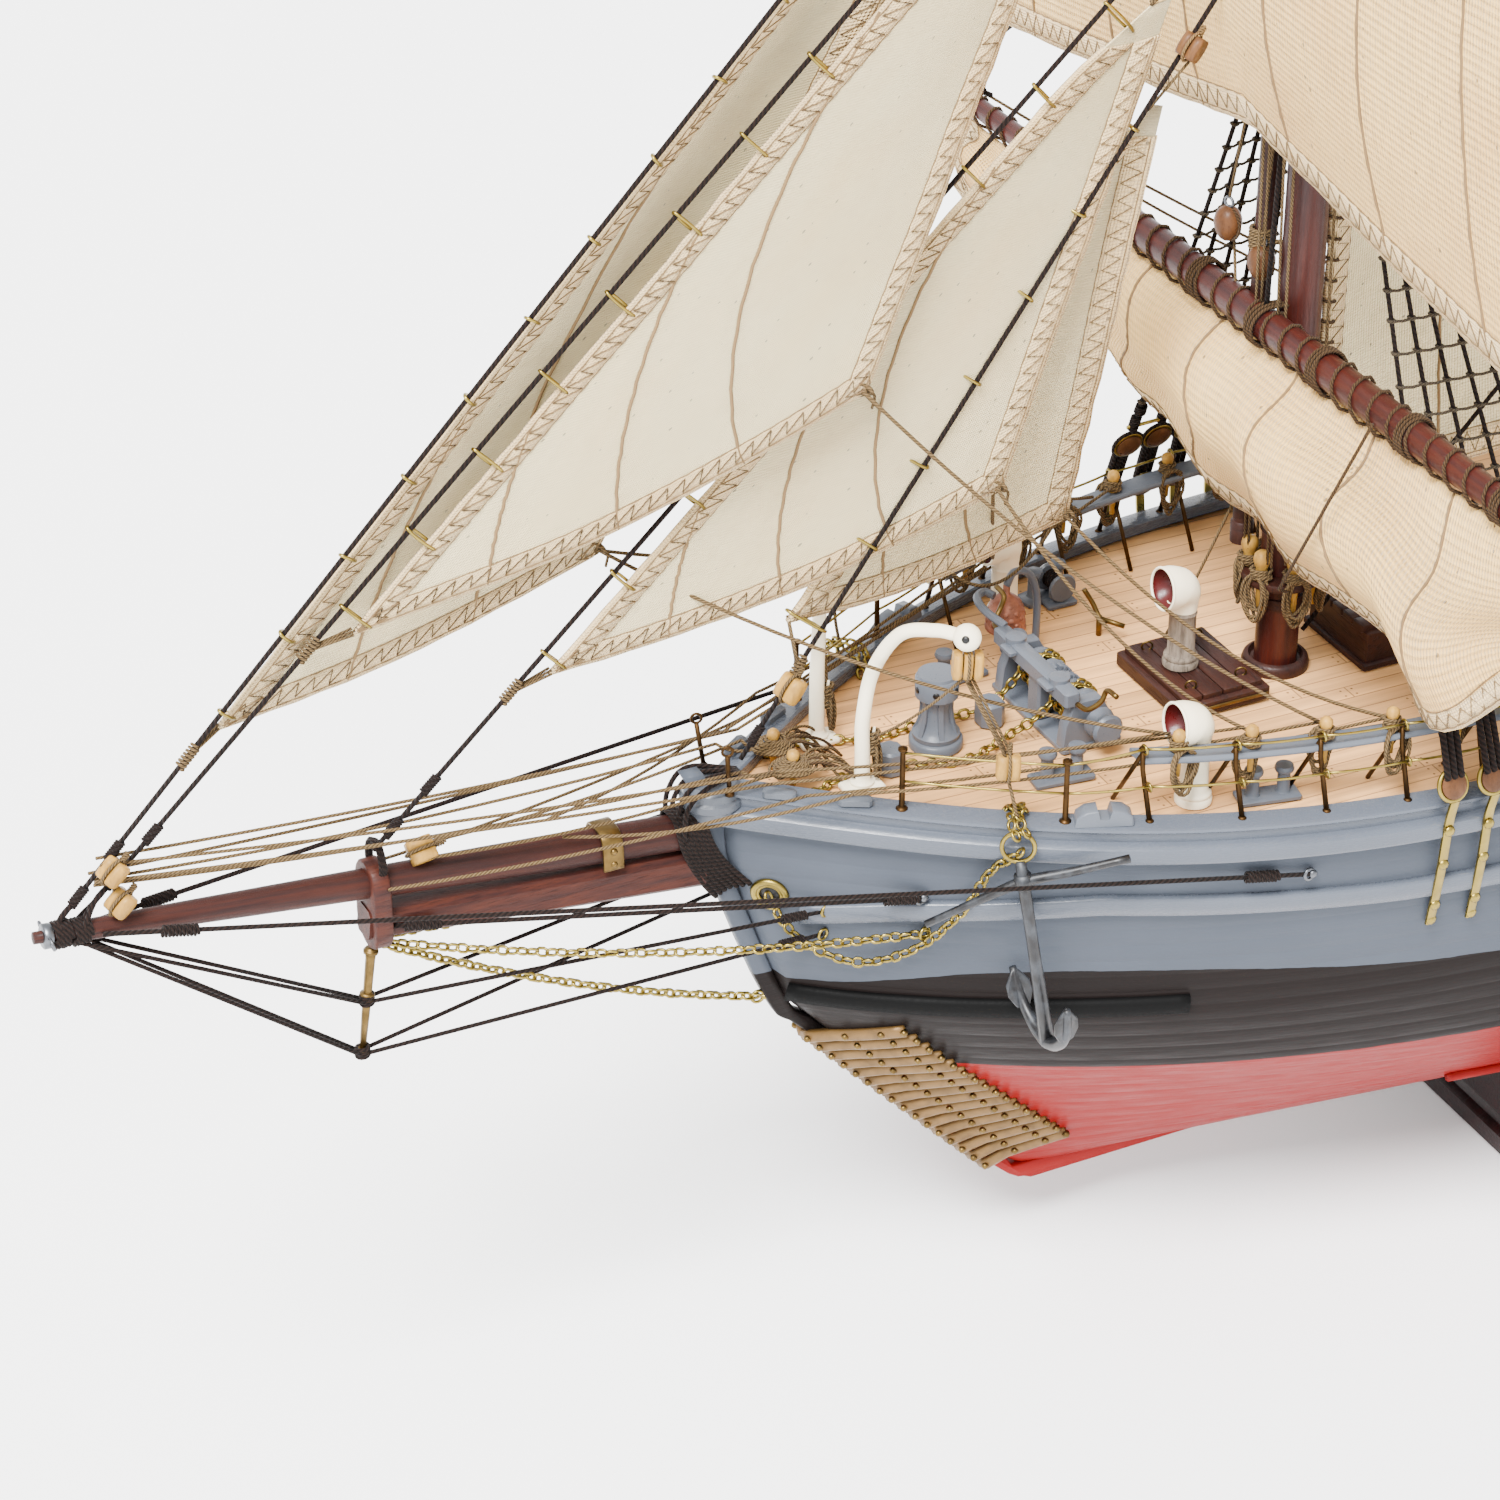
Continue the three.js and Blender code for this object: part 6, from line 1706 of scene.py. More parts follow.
# ---------------------------------------------------------------- spars
def octagon_spar(shape, points, halves, chamfer=0.32):
    """Square spar with planed-off corners."""
    _, u, w = frames([vec(*p) for p in points])
    rows = []
    for p, h, a, b in zip(points, halves, u, w):
        c = chamfer * h
        ring8 = ((h, -h + c), (h, h - c), (h - c, h), (-h + c, h), (-h, h - c), (-h, -h + c), (-h + c, -h),
                 (h - c, -h))
        rows.append([vec(*p) + a * x + b * y for x, y in ring8])
    shape.grid(rows)


BOOM_HEEL, BOOM_TIP = vec(-322.2, 0, 123.4), vec(-451, 0, 137.3)


def boom_point(t):
    return mix(BOOM_HEEL, BOOM_TIP, t)


def boom_at(x):
    return boom_point((x - BOOM_HEEL[0]) / (BOOM_TIP[0] - BOOM_HEEL[0]))


def sprit_at(x):
    return vec(x, 0, mix(115.4, 122.3, (x + 318) / -69))


STRIKER_TOP, STRIKER_FOOT = vec(-385.6, 0, 115.9), vec(-388.6, 0, 92)
STRAP_X = -338.0  # where a strap holds the boom down on the bowsprit


def make_bowsprit():
    shape = Shape()
    octagon_spar(shape, [sprit_at(-318.4), sprit_at(-350), sprit_at(-380), sprit_at(-386.8)],
                 (3.8, 3.5, 3.05, 3.0))
    shape.make("bowsprit_planed", "mahogany", SPRIT, replaces=["bowsprit"], flat=30)
    boom = Shape()
    ts = np.linspace(0, 0.985, 60)
    radii = [along(((0, 3.6), (0.2, 3.5), (0.5, 2.9), (0.9, 1.95), (0.955, 1.8), (0.96, 1.2), (1, 1.1)), t)
             for t in ts]
    boom.tube([boom_point(t) for t in ts], radii, 24)
    boom.make("jib_boom_turned", "mahogany", MAHOGANY, replaces=["jib_boom"])
    cap = Shape()
    axis = unit(BOOM_TIP - BOOM_HEEL)
    outline = []
    for g in np.linspace(0, math.pi, 13):
        outline.append((5.0 * math.cos(g), 129.9 + 5.0 * math.sin(g)))
    for g in np.linspace(math.pi, TAU, 13):
        outline.append((5.2 * math.cos(g), 121.6 + 5.2 * math.sin(g)))
    rows = []
    for dx, f in ((-1.7, 0.94), (-1.35, 1), (1.35, 1), (1.7, 0.94)):
        rows.append([(-384.5 + dx, y * f, 125.8 + (z - 125.8) * (0.5 + f / 2)) for y, z in outline])
    cap.grid(rows[::-1])
    cap.make("bowsprit_cap_plate", "mahogany", SPRIT, replaces=["bowsprit_cap"], flat=50)
    striker = Shape()
    a, b = STRIKER_TOP, STRIKER_FOOT
    striker.tube([a, mix(a, b, 0.1), mix(a, b, 0.6), b], (1.15, 0.95, 0.8, 0.55), 12)
    for f in (0.03, 0.42, 0.45, 0.93):
        striker.turned(((0.8, -0.5), (1.45, -0.3), (1.45, 0.3), (0.8, 0.5)), 12, mix(a, b, f), b - a)
    striker.make("striker_spar", "brass", OLD_BRASS, replaces=["dolphin_striker"])

    metal_parts, silver = Shape(), Shape()
    c = mix(sprit_at(STRAP_X), boom_at(STRAP_X), 0.5)
    gap = boom_at(STRAP_X)[2] - sprit_at(STRAP_X)[2]
    arch = [vec(0, 4.1, 0.6)]
    for g in np.linspace(0, math.pi, 25):
        y = 4.1 * math.copysign(abs(math.cos(g)) ** 0.5, math.cos(g))
        arch.append(vec(0, y, 1.2 + (gap / 2 + 2.8) * max(0.0, math.sin(g)) ** 0.7))
    arch.append(vec(0, -4.1, 0.6))
    rows = []
    for i, p in enumerate(arch):
        step = unit(arch[min(i + 1, len(arch) - 1)] - arch[max(i - 1, 0)])
        out = unit(np.cross(step, vec(1, 0, 0)))
        out = out * (1 if np.dot(out, p - vec(0, 0, -6)) > 0 else -1)
        rows.append([c + p + out * h + vec(dx, 0, 0) for dx, h in
                     ((-2.1, -0.1), (-2.1, 0.25), (-1.95, 0.42), (1.95, 0.42), (2.1, 0.25), (2.1, -0.1))])
    metal_parts.grid(rows)
    for sign in (-1, 1):
        for z in (1.8, 4.6):
            nail(metal_parts, c + vec(0, sign * 4.4, z), (0, sign, 0), 0.75)
    tip = boom_at(-446.6)
    silver.turned(((2.05, -0.9), (2.35, -0.7), (2.35, 0.7), (2.05, 0.9)), 20, tip, axis)
    for sign in (-1, 1):
        ring(silver, tip + vec(0, sign * 3.0, 0), (1, 0, 0.2), 1.1, 0.3, 16, 6)
    metal_parts.make("bowsprit_straps", "brass", OLD_BRASS)
    silver.make("boom_tip_band", "black_iron", SILVER)


MASTS = {
    "foremast": dict(x=-190.5, top=308, r=4.3,
                     uppers=((6.5, 282, 398, 308, 2.7), (11.5, 376, 468, 397, 1.9))),
    "mainmast": dict(x=-20.0, top=318, r=4.5, uppers=((6.6, 292, 500, 318, 2.8),)),
    "mizzenmast": dict(x=146.0, top=282, r=3.9, uppers=((6.0, 256, 420, 282, 2.4),)),
}


def make_masts():
    bands = Shape()
    tops = Shape()
    for name, m in MASTS.items():
        x, r, top = m["x"], m["r"], m["top"]
        shape = Shape()
        zs = np.array([62, 100, 128, 160, 220, 262, top - 30, top - 1.4, top])
        shape.tube([(x, 0, z) for z in zs], [r, r, r, r, 0.975 * r, 0.95 * r, 0.93 * r, 0.9 * r, 0.8 * r], 28)
        for lead, z0, z1, cap, ru in m["uppers"]:
            ux = x - lead
            shape.tube([(ux, 0, z) for z in (z0, z0 + 2, mix(z0, z1, 0.4), z1 - 1.5, z1)],
                       [ru * 0.9, ru, ru * 0.96, ru * 0.76, ru * 0.7], 24)
        ball_z = m["uppers"][-1][2]
        ux = x - m["uppers"][-1][0]
        shape.turned(((1.0, -0.2), (1.9, 0.3), (2.1, 0.9), (1.6, 1.6), (0.001, 1.9)), 16, (ux, 0, ball_z))
        inner_x, inner_r = x, r * 0.9
        for lead, z0, z1, cap, ru in m["uppers"]:
            ux = x - lead
            for z in (z0 + 1, cap - 2.2):
                tops.box((ux - ru - 1.7, -ru - 1.9, z), (inner_x + inner_r + 1.7, ru + 1.9, z + 2.3), 0.5)
            inner_x, inner_r = ux, ru * 0.8
        zt = top - 18
        tops.slab([(x - r - 9, -8), (x - r - 6, -11), (x + r + 5, -11), (x + r + 5, 11), (x - r - 6, 11),
                   (x - r - 9, 8)], zt, zt + 1.5, 0.35)
        for sign in (-1, 1):
            tops.box((x - r - 7, sign * 4.8 - 1, zt - 2.4), (x + r + 4, sign * 4.8 + 1, zt), 0.3)
        for dx in (-r - 4.2, r + 2.6):
            tops.box((x + dx - 1, -12.5, zt + 1.4), (x + dx + 1, 12.5, zt + 2.8), 0.3)
        for z in (141.5, 158.0, 196.0, top - 44):
            bands.turned(((r * 0.98, -1.3), (r + 0.45, -1.1), (r + 0.45, 1.1), (r * 0.98, 1.3)), 28,
                         (x, 0, z))
        shape.make(f"{name}_turned", "mahogany", MAST, replaces=[name])
    bands.make("mast_bands", "mahogany", HATCH, flat=40)
    tops.make("mast_tops", "mahogany", HATCH, flat=40)


YARDS = (
    ("fore_yard", 203, 135, 3.3, -198.15),
    ("fore_topsail_yard", 322, 105, 2.6, -202.65),
    ("fore_topgallant_yard", 412, 75, 2.0, -206.25),
)


YARD_TAPER = ((0, 0.5), (0.06, 0.6), (0.35, 1), (0.65, 1), (0.94, 0.6), (1, 0.5))
GAFF_RADIUS = {"fore": 1.7, "main": 2.0, "mizzen": 1.2}
BOOM_RADIUS = {"main": 2.3, "mizzen": 1.4}


def yard_radius(r, f):
    """Radius of a yard at fraction f of its length; r is the radius at its middle."""
    return r * along(YARD_TAPER, f)


def make_yards():
    bands, rods = Shape(), Shape()
    for name, z, half, r, x in YARDS:
        shape = Shape()
        fs = np.linspace(0, 1, 61)
        shape.tube([(x, mix(-half, half, f), z) for f in fs], [yard_radius(r, f) for f in fs], 24)
        shape.make(f"{name}_turned", "mahogany", MAST, replaces=[name])
        for f in (0.06, 0.94):
            rr = yard_radius(r, f)
            y = mix(-half, half, f)
            bands.turned(((rr, -0.9), (rr + 0.35, -0.7), (rr + 0.35, 0.7), (rr, 0.9)), 20, (x, y, z),
                         (0, 1, 0))
            ring(bands, (x, y, z + rr + 1.2), (0, 1, 0), 0.95, 0.26, 14, 5)
            ring(bands, (x, y, z - rr - 1.2), (0, 1, 0), 0.95, 0.26, 14, 5)
        if name != "fore_yard":
            taper = ((0, 0.62), (0.35, 1), (0.65, 1), (1, 0.62))
            rods.tube([(x - 0.5, mix(-half, half, f), z + r * along(taper, f) + 0.75)
                       for f in np.linspace(0.05, 0.95, 21)], 0.3, 6)
    for key, g in GAFFS.items():
        mast_side = g["x"] + g["r"] + 0.6
        slope = (g["peak"][1] - g["throat"]) / (g["peak"][0] - mast_side)
        start = vec(mast_side, 0, g["throat"] + 3.4)
        end = vec(g["peak"][0] + 6, 0, g["peak"][1] + 3.4 + slope * 6)
        jobs = [(f"{key}_gaff", start, end, GAFF_RADIUS[key])]
        if g["boom"]:
            jobs.append((f"{key}_boom", vec(mast_side, 0, g["tack"] - 4),
                         vec(g["boom"][0], 0, g["boom"][1] - 4), BOOM_RADIUS[key]))
        for name, a, b, r in jobs:
            spar = Shape()
            fs = np.linspace(0, 1, 30)
            taper = ((0, 0.85), (0.25, 1), (0.7, 0.92), (1, 0.6))
            spar.tube([mix(a, b, f) for f in fs], [r * along(taper, f) for f in fs], 20)
            # Jaws on either side of the mast.
            for sign in (-1, 1):
                jaw = [a + vec(3.4, sign * 0.6, 0.4), a + vec(-1.0, sign * 3.6, 0),
                       a + vec(-6, sign * 5.0, -0.4)]
                spar.tube(smooth(jaw, 5), 1.1, 8)
            spar.make(f"{name}_turned", "mahogany", MAST, replaces=[name])
            bands.turned(((r * 0.62, -0.7), (r * 0.85, -0.5), (r * 0.85, 0.5), (r * 0.62, 0.7)), 14,
                         mix(a, b, 0.94), b - a)
    bands.make("yard_bands", "black_iron", SILVER)
    rods.make("yard_jackstays", "brass", OLD_BRASS)


# ---------------------------------------------------------------- rigging
DARK, TAN, LIGHT, LACES = Shape(), Shape(), Shape(), Shape()
BLOCKS, BROWN_BLOCKS, HANKS, HOOKS = Shape(), Shape(), Shape(), Shape()
EGG_BLOCKS = ((-199.0, 13.8, 218.4), (-196.0, 6.0, 212.8))
NOSE = {  # foot and upper end of each fore-and-aft stay
    "flying_jib": (vec(-444, 0, 139.4), vec(-199.7, 0, 394)),
    "jib": (vec(-437.3, 0, 141.4), vec(-199.7, 0, 367)),
    "inner_jib": (vec(-384.2, 0, 137), vec(-199.9, 0, 308.5)),
    "fore_staysail": (vec(-309.5, 0, 136.0), vec(-195.0, 0, 298)),
}


def seize(shape, a, b, f, long, radius, wire=0.3):
    """A tight whipping on the line from a to b, centred at fraction f."""
    a, b = vec(*a), vec(*b)
    d = unit(b - a)
    c = mix(a, b, f)
    windings(shape, c - d * long / 2, c + d * long / 2, radius, long / (wire * 1.9), wire, 5)


def make_stays():
    for name, (foot, head) in NOSE.items():
        DARK.tube([foot, mix(foot, head, 0.5), head], 0.48, 8)
        if name in ("flying_jib", "jib"):
            grip = boom_at(-444.0 if name == "flying_jib" else -440.4)
            for y in (-1.9, 0.0, 1.9):
                DARK.tube(smooth([foot + (head - foot) * 0.012, foot, grip + vec(0, y, 0.8),
                                  grip + vec(0, y * 0.5, -2.2)], 4), 0.5, 6)
            windings(DARK, grip + vec(-1.6, 0, 0), grip + vec(1.6, 0, 0), 2.3, 5, 0.42, 6)
        if name == "inner_jib":
            for k in range(5):
                DARK.tube([foot + vec(0.4 + 0.5 * math.sin(k), 3.4 * math.cos(g),
                                      -3.2 + 4.6 * math.sin(g) + 0.2 * k)
                           for g in around(18)], 0.42, 5, loop=True)
        length = np.linalg.norm(head - foot)
        for d in (5.5, 16.0):
            seize(DARK, foot, head, d / length, 4.2, 0.78, 0.26)
        for d in (5.0, 15.0):
            seize(DARK, foot, head, 1 - d / length, 4.2, 0.78, 0.26)
        ring(DARK, (head[0] + 3.0, 0, head[2] + 0.4), (0.2, 0, 1), 3.4, 0.45, 20, 6)
        sail = SAILS[name]
        span = sail.edge_length("luff")
        count = int(span / 18.5)
        direction = unit(head - foot)
        for k in range(count + 1):
            t = mix(0.012, 0.965, k / count)
            s_at = sail.at(0.006, t)
            on_stay = foot + direction * float(np.dot(s_at - foot, direction))
            inward = unit(s_at - on_stay)
            reach = np.linalg.norm(s_at - on_stay) + 1.7
            c = (on_stay - inward * 0.9 + on_stay + inward * reach) / 2
            half = (reach + 0.9) / 2
            side = np.cross(direction, inward)
            path = [c + inward * half * math.cos(g)
                    + (side * 1.1 + direction * 0.35 * math.sin(k * 2.1)) * math.sin(g)
                    for g in around(16)]
            HANKS.tube(path, 0.33, 6, loop=True)
        # Tack and head lashings, and the halyard.
        tack, peak = sail.at(0.0, 0.0), sail.at(0.0, 1.0)
        stay_foot = foot + direction * max(4.0, float(np.dot(tack - foot, direction)) - 7)
        for k in range(3):
            TAN.tube([tack + vec(0, 0.5 * (k - 1), 0.4 * k), stay_foot + vec(0, 0.4 * (k - 1), 0)], 0.28, 5)
        windings(TAN, stay_foot - direction * 2.5, stay_foot + direction * 2.5, 0.85, 7, 0.3, 5)
        block_at = foot + direction * (float(np.dot(peak - foot, direction)) + 14)
        pulley(BLOCKS, LIGHT, block_at + vec(0, -1.6, 0), direction, 4.6)
        TAN.tube([peak, block_at + vec(0, -1.6, -2.4)], 0.3, 5)
        TAN.tube(smooth([peak + vec(0, 0, 0.4), peak + direction * 3], 4), 0.55, 6)
    # Halyards down the fore side of the mast.
    for k, (name, (foot, head)) in enumerate(NOSE.items()):
        y = (-1) ** k * (3.2 + 0.7 * k)
        TAN.tube([head + vec(-1.2, y * 0.4, -6), vec(-196.5, y, 152)], 0.3, 5)


CLEW_LEADS = {
    "flying_jib": ((-218.5, 45.0, 143.2), (-238.6, -38.5, 143.5)),
    "jib": ((-210.5, -48.0, 143.2), (-205.0, 49.0, 143.2)),
    "inner_jib": ((-224.5, -43.5, 143.2), (-232.5, 41.0, 143.2)),
    "fore_staysail": ((-197.0, -52.5, 143.2), (-246.0, 37.0, 143.2)),
}


def make_sheets():
    for k, (name, leads) in enumerate(CLEW_LEADS.items()):
        sail = SAILS[name]
        clew = sail.at(0.975, 0.012)
        for j, lead in enumerate(leads):
            a = clew + vec(0.8, (-0.7 if j == 0 else 0.7), 0)
            TAN.tube(sagging(a, lead, 5.0 + 1.5 * j + k, 16), 0.36, 6)
            # Figure-of-eight knot and a loose end.
            ring(TAN, clew + vec(0.6, 0, 0), (0.3, 1, 0.2 * j), 1.25, 0.36, 14, 6)
            ring(TAN, clew + vec(2.2, -0.5 + j, -0.2), (1, 0.3, 0.4), 0.8, 0.4, 12, 6)
        TAN.tube(smooth([clew + vec(1.5, 0, 0), clew + vec(3.2, -0.8, -1.4), clew + vec(3.4, 0.4, -4.6)], 5),
                 0.3, 5)


def lace(shape, centre_of, across, down, radius, count, wire=0.34, start=0.02, end=0.98, dip=0.9):
    """Spiral lacing: each turn goes over the spar and down through the sail's edge."""
    path = []
    steps = count * 10
    for k in range(steps + 1):
        f = mix(start, end, k / steps)
        g = k / 10 * TAU
        c, r = centre_of(f), radius(f)
        s = across * math.sin(g) * (r + 0.4)
        path.append(c + s - down * (r + 0.4) * math.cos(g)
                    + down * (dip * max(0.0, -math.cos(g)) ** 2 + 0.2 * math.sin(k * 0.7)))
    shape.tube(path, wire, 5)


def make_lacing():
    for name, z, half, r, x in YARDS:
        def centre(f, x=x, z=z, half=half):
            return vec(x, mix(-half, half, f), z)

        def radius(f, r=r):
            return yard_radius(r, f)
        reach = 0.06 if name == "fore_yard" else 0.1
        lace(LACES, centre, vec(1, 0, 0), vec(0, 0, -1), radius, int(2 * half * (1 - 2 * reach) / 6.0), 0.38,
             reach, 1 - reach)
        for f in (0.2, 0.31, 0.42, 0.58, 0.7, 0.83):
            c, turn = centre(f), radius(f) + 0.75
            for dy in (-0.9, 0.0, 0.9):
                LACES.tube([c + vec(turn * math.cos(g), dy + 0.5 * math.sin(g), turn * math.sin(g))
                            for g in around(18)], 0.36, 5, loop=True)
    for key, g in GAFFS.items():
        sail = SAILS[{"fore": "fore_spencer", "main": "main_sail", "mizzen": "mizzen_sail"}[key]]
        mast_side = g["x"] + g["r"] + 0.6
        gr = GAFF_RADIUS[key]
        a = vec(mast_side, 0, g["throat"] + 3.4)
        b = vec(g["peak"][0], 0, g["peak"][1] + 3.4)
        up = unit(np.cross(b - a, vec(0, 1, 0)))
        up = up * (1 if up[2] < 0 else -1)
        lace(LACES, lambda f, a=a, b=b: mix(a, b, f), vec(0, 1, 0), up, lambda f, gr=gr: gr,
             int(np.linalg.norm(b - a) / 6.5), 0.34, 0.04, 0.99)
        if g["boom"]:
            a2, b2 = vec(mast_side, 0, g["tack"] - 4), vec(g["clew"][0], 0, g["clew"][1] - 4)
            lace(LACES, lambda f, a=a2, b=b2: mix(a, b, f), vec(0, 1, 0), vec(0, 0, 1), lambda f, gr=gr: gr,
                 int(np.linalg.norm(b2 - a2) / 9), 0.34, 0.03, 0.99, 2.4)
        # Luff laced with small round turns just abaft the mast.
        x, r = g["x"], g["r"]
        back = x + r + 1.1
        lace(LACES, lambda f, g=g, back=back: vec(back, 0, mix(g["tack"] + 3, g["throat"] - 3, f)),
             vec(0, 1, 0), vec(1, 0, 0), lambda f: 1.3, int((g["throat"] - g["tack"]) / 4.5), 0.36, 0.0, 1.0)
        TAN.tube([sail.at(1, 1), vec(g["peak"][0] + 2, 0, g["peak"][1] + 4)], 0.4, 5)


SHROUDS = {  # mast: shroud feet along the rail, height where they meet the mast
    "foremast": ((-191.5, -183.2, -174.6, -165.8, -157.0), 287),
    "mainmast": ((-20.5, -11.8, -3.0, 5.8, 14.6), 297),
    "mizzenmast": ((146.0, 154.4, 162.8, 171.2), 262),
}


STRAP_SECTION = ((-0.95, -0.25), (0.95, -0.25), (0.95, 0.3), (0.6, 0.45), (-0.6, 0.45), (-0.95, 0.3))


def make_shrouds():
    woods, rims, plates, rat = Shape(), Shape(), Shape(), Shape()
    for mast, (feet, head_z) in SHROUDS.items():
        m = MASTS[mast]
        for _, sign in SIDES:
            uppers = []
            for k, x in enumerate(feet):
                edge = half_breadth(x, DECK_EDGE)
                deck = deck_top(x)
                low = vec(x, sign * (edge + 3.3), deck + 7.6)
                head = vec(m["x"] + (k - 2) * 0.5, sign * (m["r"] * 0.9 + 0.2), head_z + 0.5 * k)
                d = unit(head - low)
                up = low + d * 15.5
                uppers.append((up, head))
                normal = unit(np.cross(d, vec(1, 0, 0))) * sign
                deadeye(woods, rims, low, normal)
                deadeye(woods, rims, up, normal)
                ax = unit(np.cross(normal, d))
                for s in (-1.5, 0, 1.5):
                    DARK.tube([low + ax * s + d * 0.9 - normal * 0.9, low + ax * s + d * 1.6 + normal * 1.1,
                               up + ax * s - d * 1.6 + normal * 1.1, up + ax * s - d * 0.9 - normal * 0.9],
                              0.66, 8)
                windings(DARK, up + d * 4.6, up + d * 8.6, 0.85, 6, 0.36, 5)
                # Shroud turned round the upper deadeye and seized three times.
                loop = [up + (ax * math.cos(g) + d * math.sin(g)) * 3.35 for g in around(18)]
                DARK.tube(loop, 0.46, 6, loop=True)
                DARK.tube([up + d * 3.3, mix(up, head, 0.5), head], 0.46, 8)
                DARK.tube([up + d * 3.5 + ax * 0.85, up + d * 18 + ax * 0.75], 0.42, 6)
                for s in (9.5, 16.5):
                    windings(DARK, up + d * s + ax * 0.4, up + d * (s + 2.2) + ax * 0.4, 1.1, 5, 0.24, 5)
                # Chainplate strap down the outside with four nails.
                bottom = side_point(x + 2.2, 98.0, sign, 0.7)
                mid = side_point(x + 1.2, 112.0, sign, 1.9)
                top = vec(x, sign * (edge + 3.2), deck - 1.0)
                line = smooth([low - d * 3.2, top, mid, bottom], 5)
                rows = [[p + vec(a, sign * b, 0) for a, b in STRAP_SECTION] for p in line]
                plates.grid(facing(rows, sign < 0))
                for p in (line[5] + vec(0, sign * 0.3, -1.5), line[9] + vec(0, sign * 0.3, 0),
                          line[13] + vec(0, sign * 0.3, 0), line[15] + vec(0, sign * 0.3, 1.2)):
                    nail(rims, p + vec(0, sign * 0.25, 0), (0, sign, 0.1), 1.15)
                ring(DARK, (m["x"], 0, head[2]), (0.1 * (k % 2), 0.05, 1), m["r"] + 0.6, 0.46, 24, 6)
            # Sheer pole and ratlines.
            a, b = uppers[0][0], uppers[-1][0]
            rims.tube([a + unit(uppers[0][1] - a) * 5.4 + vec(-1.5, 0, 0),
                       b + unit(uppers[-1][1] - b) * 5.4 + vec(1.5, 0, 0)], 0.42, 8)
            z = a[2] + 12
            n = 0
            while z < head_z - 7:
                pts = [mix(u, h, (z - u[2]) / (h[2] - u[2])) for u, h in uppers]
                path = []
                for p, q in zip(pts, pts[1:]):
                    path += [p + vec(0, sign * 0.35, 0), mix(p, q, 0.5) + vec(0, sign * 0.2, -0.35)]
                path.append(pts[-1] + vec(0, sign * 0.35, 0))
                rat.tube([path[0] + vec(-0.8, 0, 0.2), *path, path[-1] + vec(0.8, 0, -0.3)], 0.3, 5)
                for p in pts:
                    ring(rat, p, (0.1, 0, 1), 0.66, 0.36, 8, 5)
                z += 5.6 + 0.3 * math.sin(n * 1.7)
                n += 1
        # Topmast shrouds from the top's edge.
        lead, _, z1, _, ru = m["uppers"][0]
        ux = m["x"] - lead
        zt = m["top"] - 16
        high = min(z1 - 16, zt + 100)
        for _, sign in SIDES:
            lines = []
            for k, dx in enumerate((-1.5, 3.5, 8.0)):
                a = vec(m["x"] + dx, sign * 10.6, zt + 1.6)
                b = vec(ux + 0.3 * k, sign * (ru * 0.8 + 0.4), high)
                lines.append((a, b))
                DARK.tube([a + vec(0, 0, -0.5), b], 0.38, 6)
                deadeye(woods, None, a + vec(0, 0, 2.2), (0.2, sign, 0.1), 1.5)
                deadeye(woods, None, mix(a, b, 9 / np.linalg.norm(b - a)), (0.2, sign, 0.1), 1.5)
                DARK.tube([a, vec(m["x"] + dx * 0.5, sign * (m["r"] + 0.5), zt - 15)], 0.36, 6)
            z = zt + 16
            while z < high - 6:
                pts = [mix(u, h, (z - u[2]) / (h[2] - u[2])) for u, h in lines]
                rat.tube([pts[0] + vec(-0.6, 0, 0), *pts, pts[-1] + vec(0.6, 0, 0)], 0.2, 5)
                z += 5.8
            # Two backstays to the rail abaft the shrouds.
            aft = SHROUDS[mast][0][-1]
            for k, (dx, zz) in enumerate(((9.5, high), (18.5, high + 6))):
                foot = vec(aft + dx, sign * (half_breadth(aft + dx, DECK_EDGE) - 0.8),
                           deck_top(aft + dx) + 4.6)
                top = vec(ux + 1.5, sign * (ru * 0.8 + 0.3), zz)
                DARK.tube([foot, mix(foot, top, 0.5), top], 0.4, 6)
                d = unit(top - foot)
                pulley(BLOCKS, DARK, foot + d * 8, d, 4.8)
                windings(DARK, foot + d * 12, foot + d * 15, 0.75, 5, 0.28, 5)
                ring(plates, foot + vec(0, 0, -1.0), (1, 0, 0), 1.1, 0.32, 14, 6)
    woods.make("deadeyes", "boxwood", DEADEYE, flat=50)
    rims.make("deadeye_rims", "brass", BRASS)
    plates.make("chainplates", "brass", BRASS, flat=40)
    rat.make("ratlines", "dark_rope", RATLINE)


